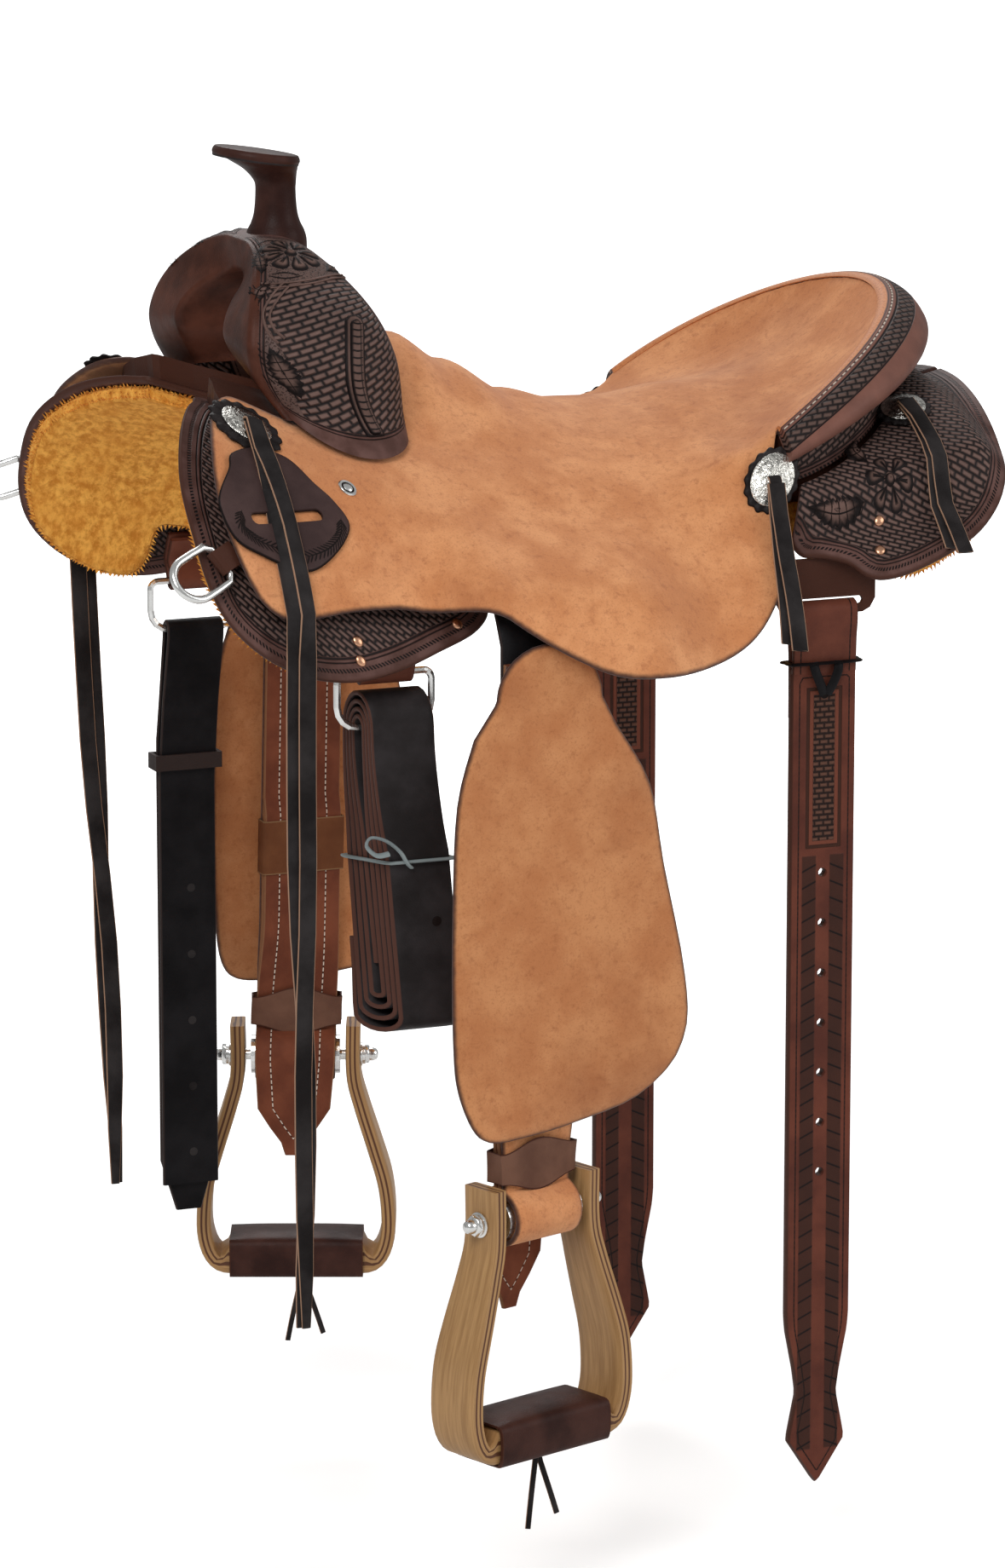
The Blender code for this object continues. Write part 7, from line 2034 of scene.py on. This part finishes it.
def tread(label, side, put, turn, body):
    """Rounded leather wrap of the tread, with lacing and two thongs below."""
    grid, edges, places = [], [], []
    top = STIRRUP_SOLE - STIRRUP_DROP + 0.0008
    low = -STIRRUP_DROP - 0.0008
    reach = STIRRUP_DEPTH / 2 + 0.0008
    grow = 0.0026
    count = 18
    for i in range(count + 1):
        share = -1 + 2 * i / count
        x = TREAD_HALF * share
        crown = -0.0034 * (1 - share ** 4)
        half = [
            (0, top + grow - crown), (reach * 0.6, top + grow - 0.7 * crown), (reach + grow * 0.5,
                                                                               top + 0.3 * grow),
            (reach + grow * 1.3, (top + low) / 2), (reach + grow * 0.5, low - 0.3 * grow), (reach * 0.7,
                                                                                            low - grow),
            (0, low - grow),
        ]
        loop = round_curve(half + [(-a, b) for a, b in reversed(half[1:-1])], 4)
        grid.append([put(x, a, b) for a, b in loop])
        edges.append([(k * 0.003, TREAD_HALF * (1 - abs(share))) for k in range(len(loop))])
        places.append([(x, k * 0.003) for k in range(len(loop))])
    ring = len(grid[0])
    closing = [[p.lerp(sum(row, Vector()) / ring, 0.10) for p in row] for row in (grid[0], grid[-1])]
    blank = [(0.0, 0.0)] * ring
    rows(f"{label}_tread_leather", [closing[0]] + grid + [closing[1]], MATERIAL["dark"], body, closed_v=True,
         edges=[blank] + edges + [blank], places=[blank] + places + [blank],
         replaces=(f"{label}_stirrup_tread",))
    seam = low - grow
    for k in range(9):
        x = lerp(-0.042, 0.042, k / 8)
        lace = round_curve([tuple(put(x + a, a * 2, seam - b)) for a, b in (
            (-0.003, 0.0008), (0.0, 0.0026), (0.003, 0.0008),
        )], 4, closed=False)
        tube(f"{label}_tread_lace_{k}", resample(lace, 0.002, closed=False), 0.0018, MATERIAL["black"], body,
             6)
    start = put(0.004, 0.0, seam - 0.001)
    for k, (dx, dy) in enumerate(((0.016, -0.010), (-0.012, -0.016))):
        points = [
            start + turn @ Vector((dx * s, side * 0.004 * s, -0.042 * s ** 0.8 + dy * s * s))
            for s in (0.0, 0.2, 0.4, 0.6, 0.8, 1.0)
        ]
        thong(f"{label}_tread_thong_{k}", points, [Vector((0, side, 0))] * 6, 0.0042, 0.0018, body,
              declare=False)


def breast_dee(label, side):
    """Dee on the front skirt, its straight bar turned down and back."""
    here, ahead, down, out = frame_on(lambda x, t: skin(x, t, SKIRT_TOP + 0.0064), *BREAST_DEE, side)
    bar = (down * math.cos(BREAST_TURN) - ahead * math.sin(BREAST_TURN)).normalized()
    away = (ahead * math.cos(BREAST_TURN) + down * math.sin(BREAST_TURN)).normalized()
    half = BREAST_DEE_HALF
    outline = [(-0.7 * half, 0.0), (0.0, 0.0), (0.7 * half, 0.0), (half, 0.0045), (half, 0.0160)]
    outline += arc((0.0, 0.027), half, 0, 180, 16) + [(-half, 0.0160), (-half, 0.0045)]
    path = [here + bar * a + away * b for a, b in outline]
    ring = tube(f"{label}_breast_ring", path, BREAST_WIRE, MATERIAL["steel"], f"{label}_breast_dee_body", 12,
                closed=True)
    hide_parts(f"{label}_breast_dee")


KEPT_LOOKS = {
    "rigging_dee": "steel", "rear_rigging": "dark", "stirrup_bolt": "steel", "breast_strap": "dark",
    "tree_bar": "dark", "off_billet_keeper": "black", "tree_cantle": "dark",
}


def kept_nodes():
    """Finishes of the CAD pieces that show as they are."""
    for name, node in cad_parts.items():
        for ending, look in KEPT_LOOKS.items():
            if name.endswith(ending):
                slots = node.data.materials
                for i in range(len(slots)):
                    slots[i] = MATERIAL[look]
                if not slots:
                    slots.append(MATERIAL[look])


def main():
    camera_and_light()
    seat()
    swell()
    horn()
    cantle()
    for label, side in SIDES:
        skirts(label, side)
        fleece(label, side)
        swell_tooling(label, side)
        keeper(label, side)
        strings(label, side)
        rigging(label, side)
        flank_billet(label, side)
        fender(label, side)
        stirrup_leathers(label, side)
        stirrup(label, side)
        breast_dee(label, side)
    latigo()
    off_billet()
    kept_nodes()
    bpy.context.view_layer.update()


main()
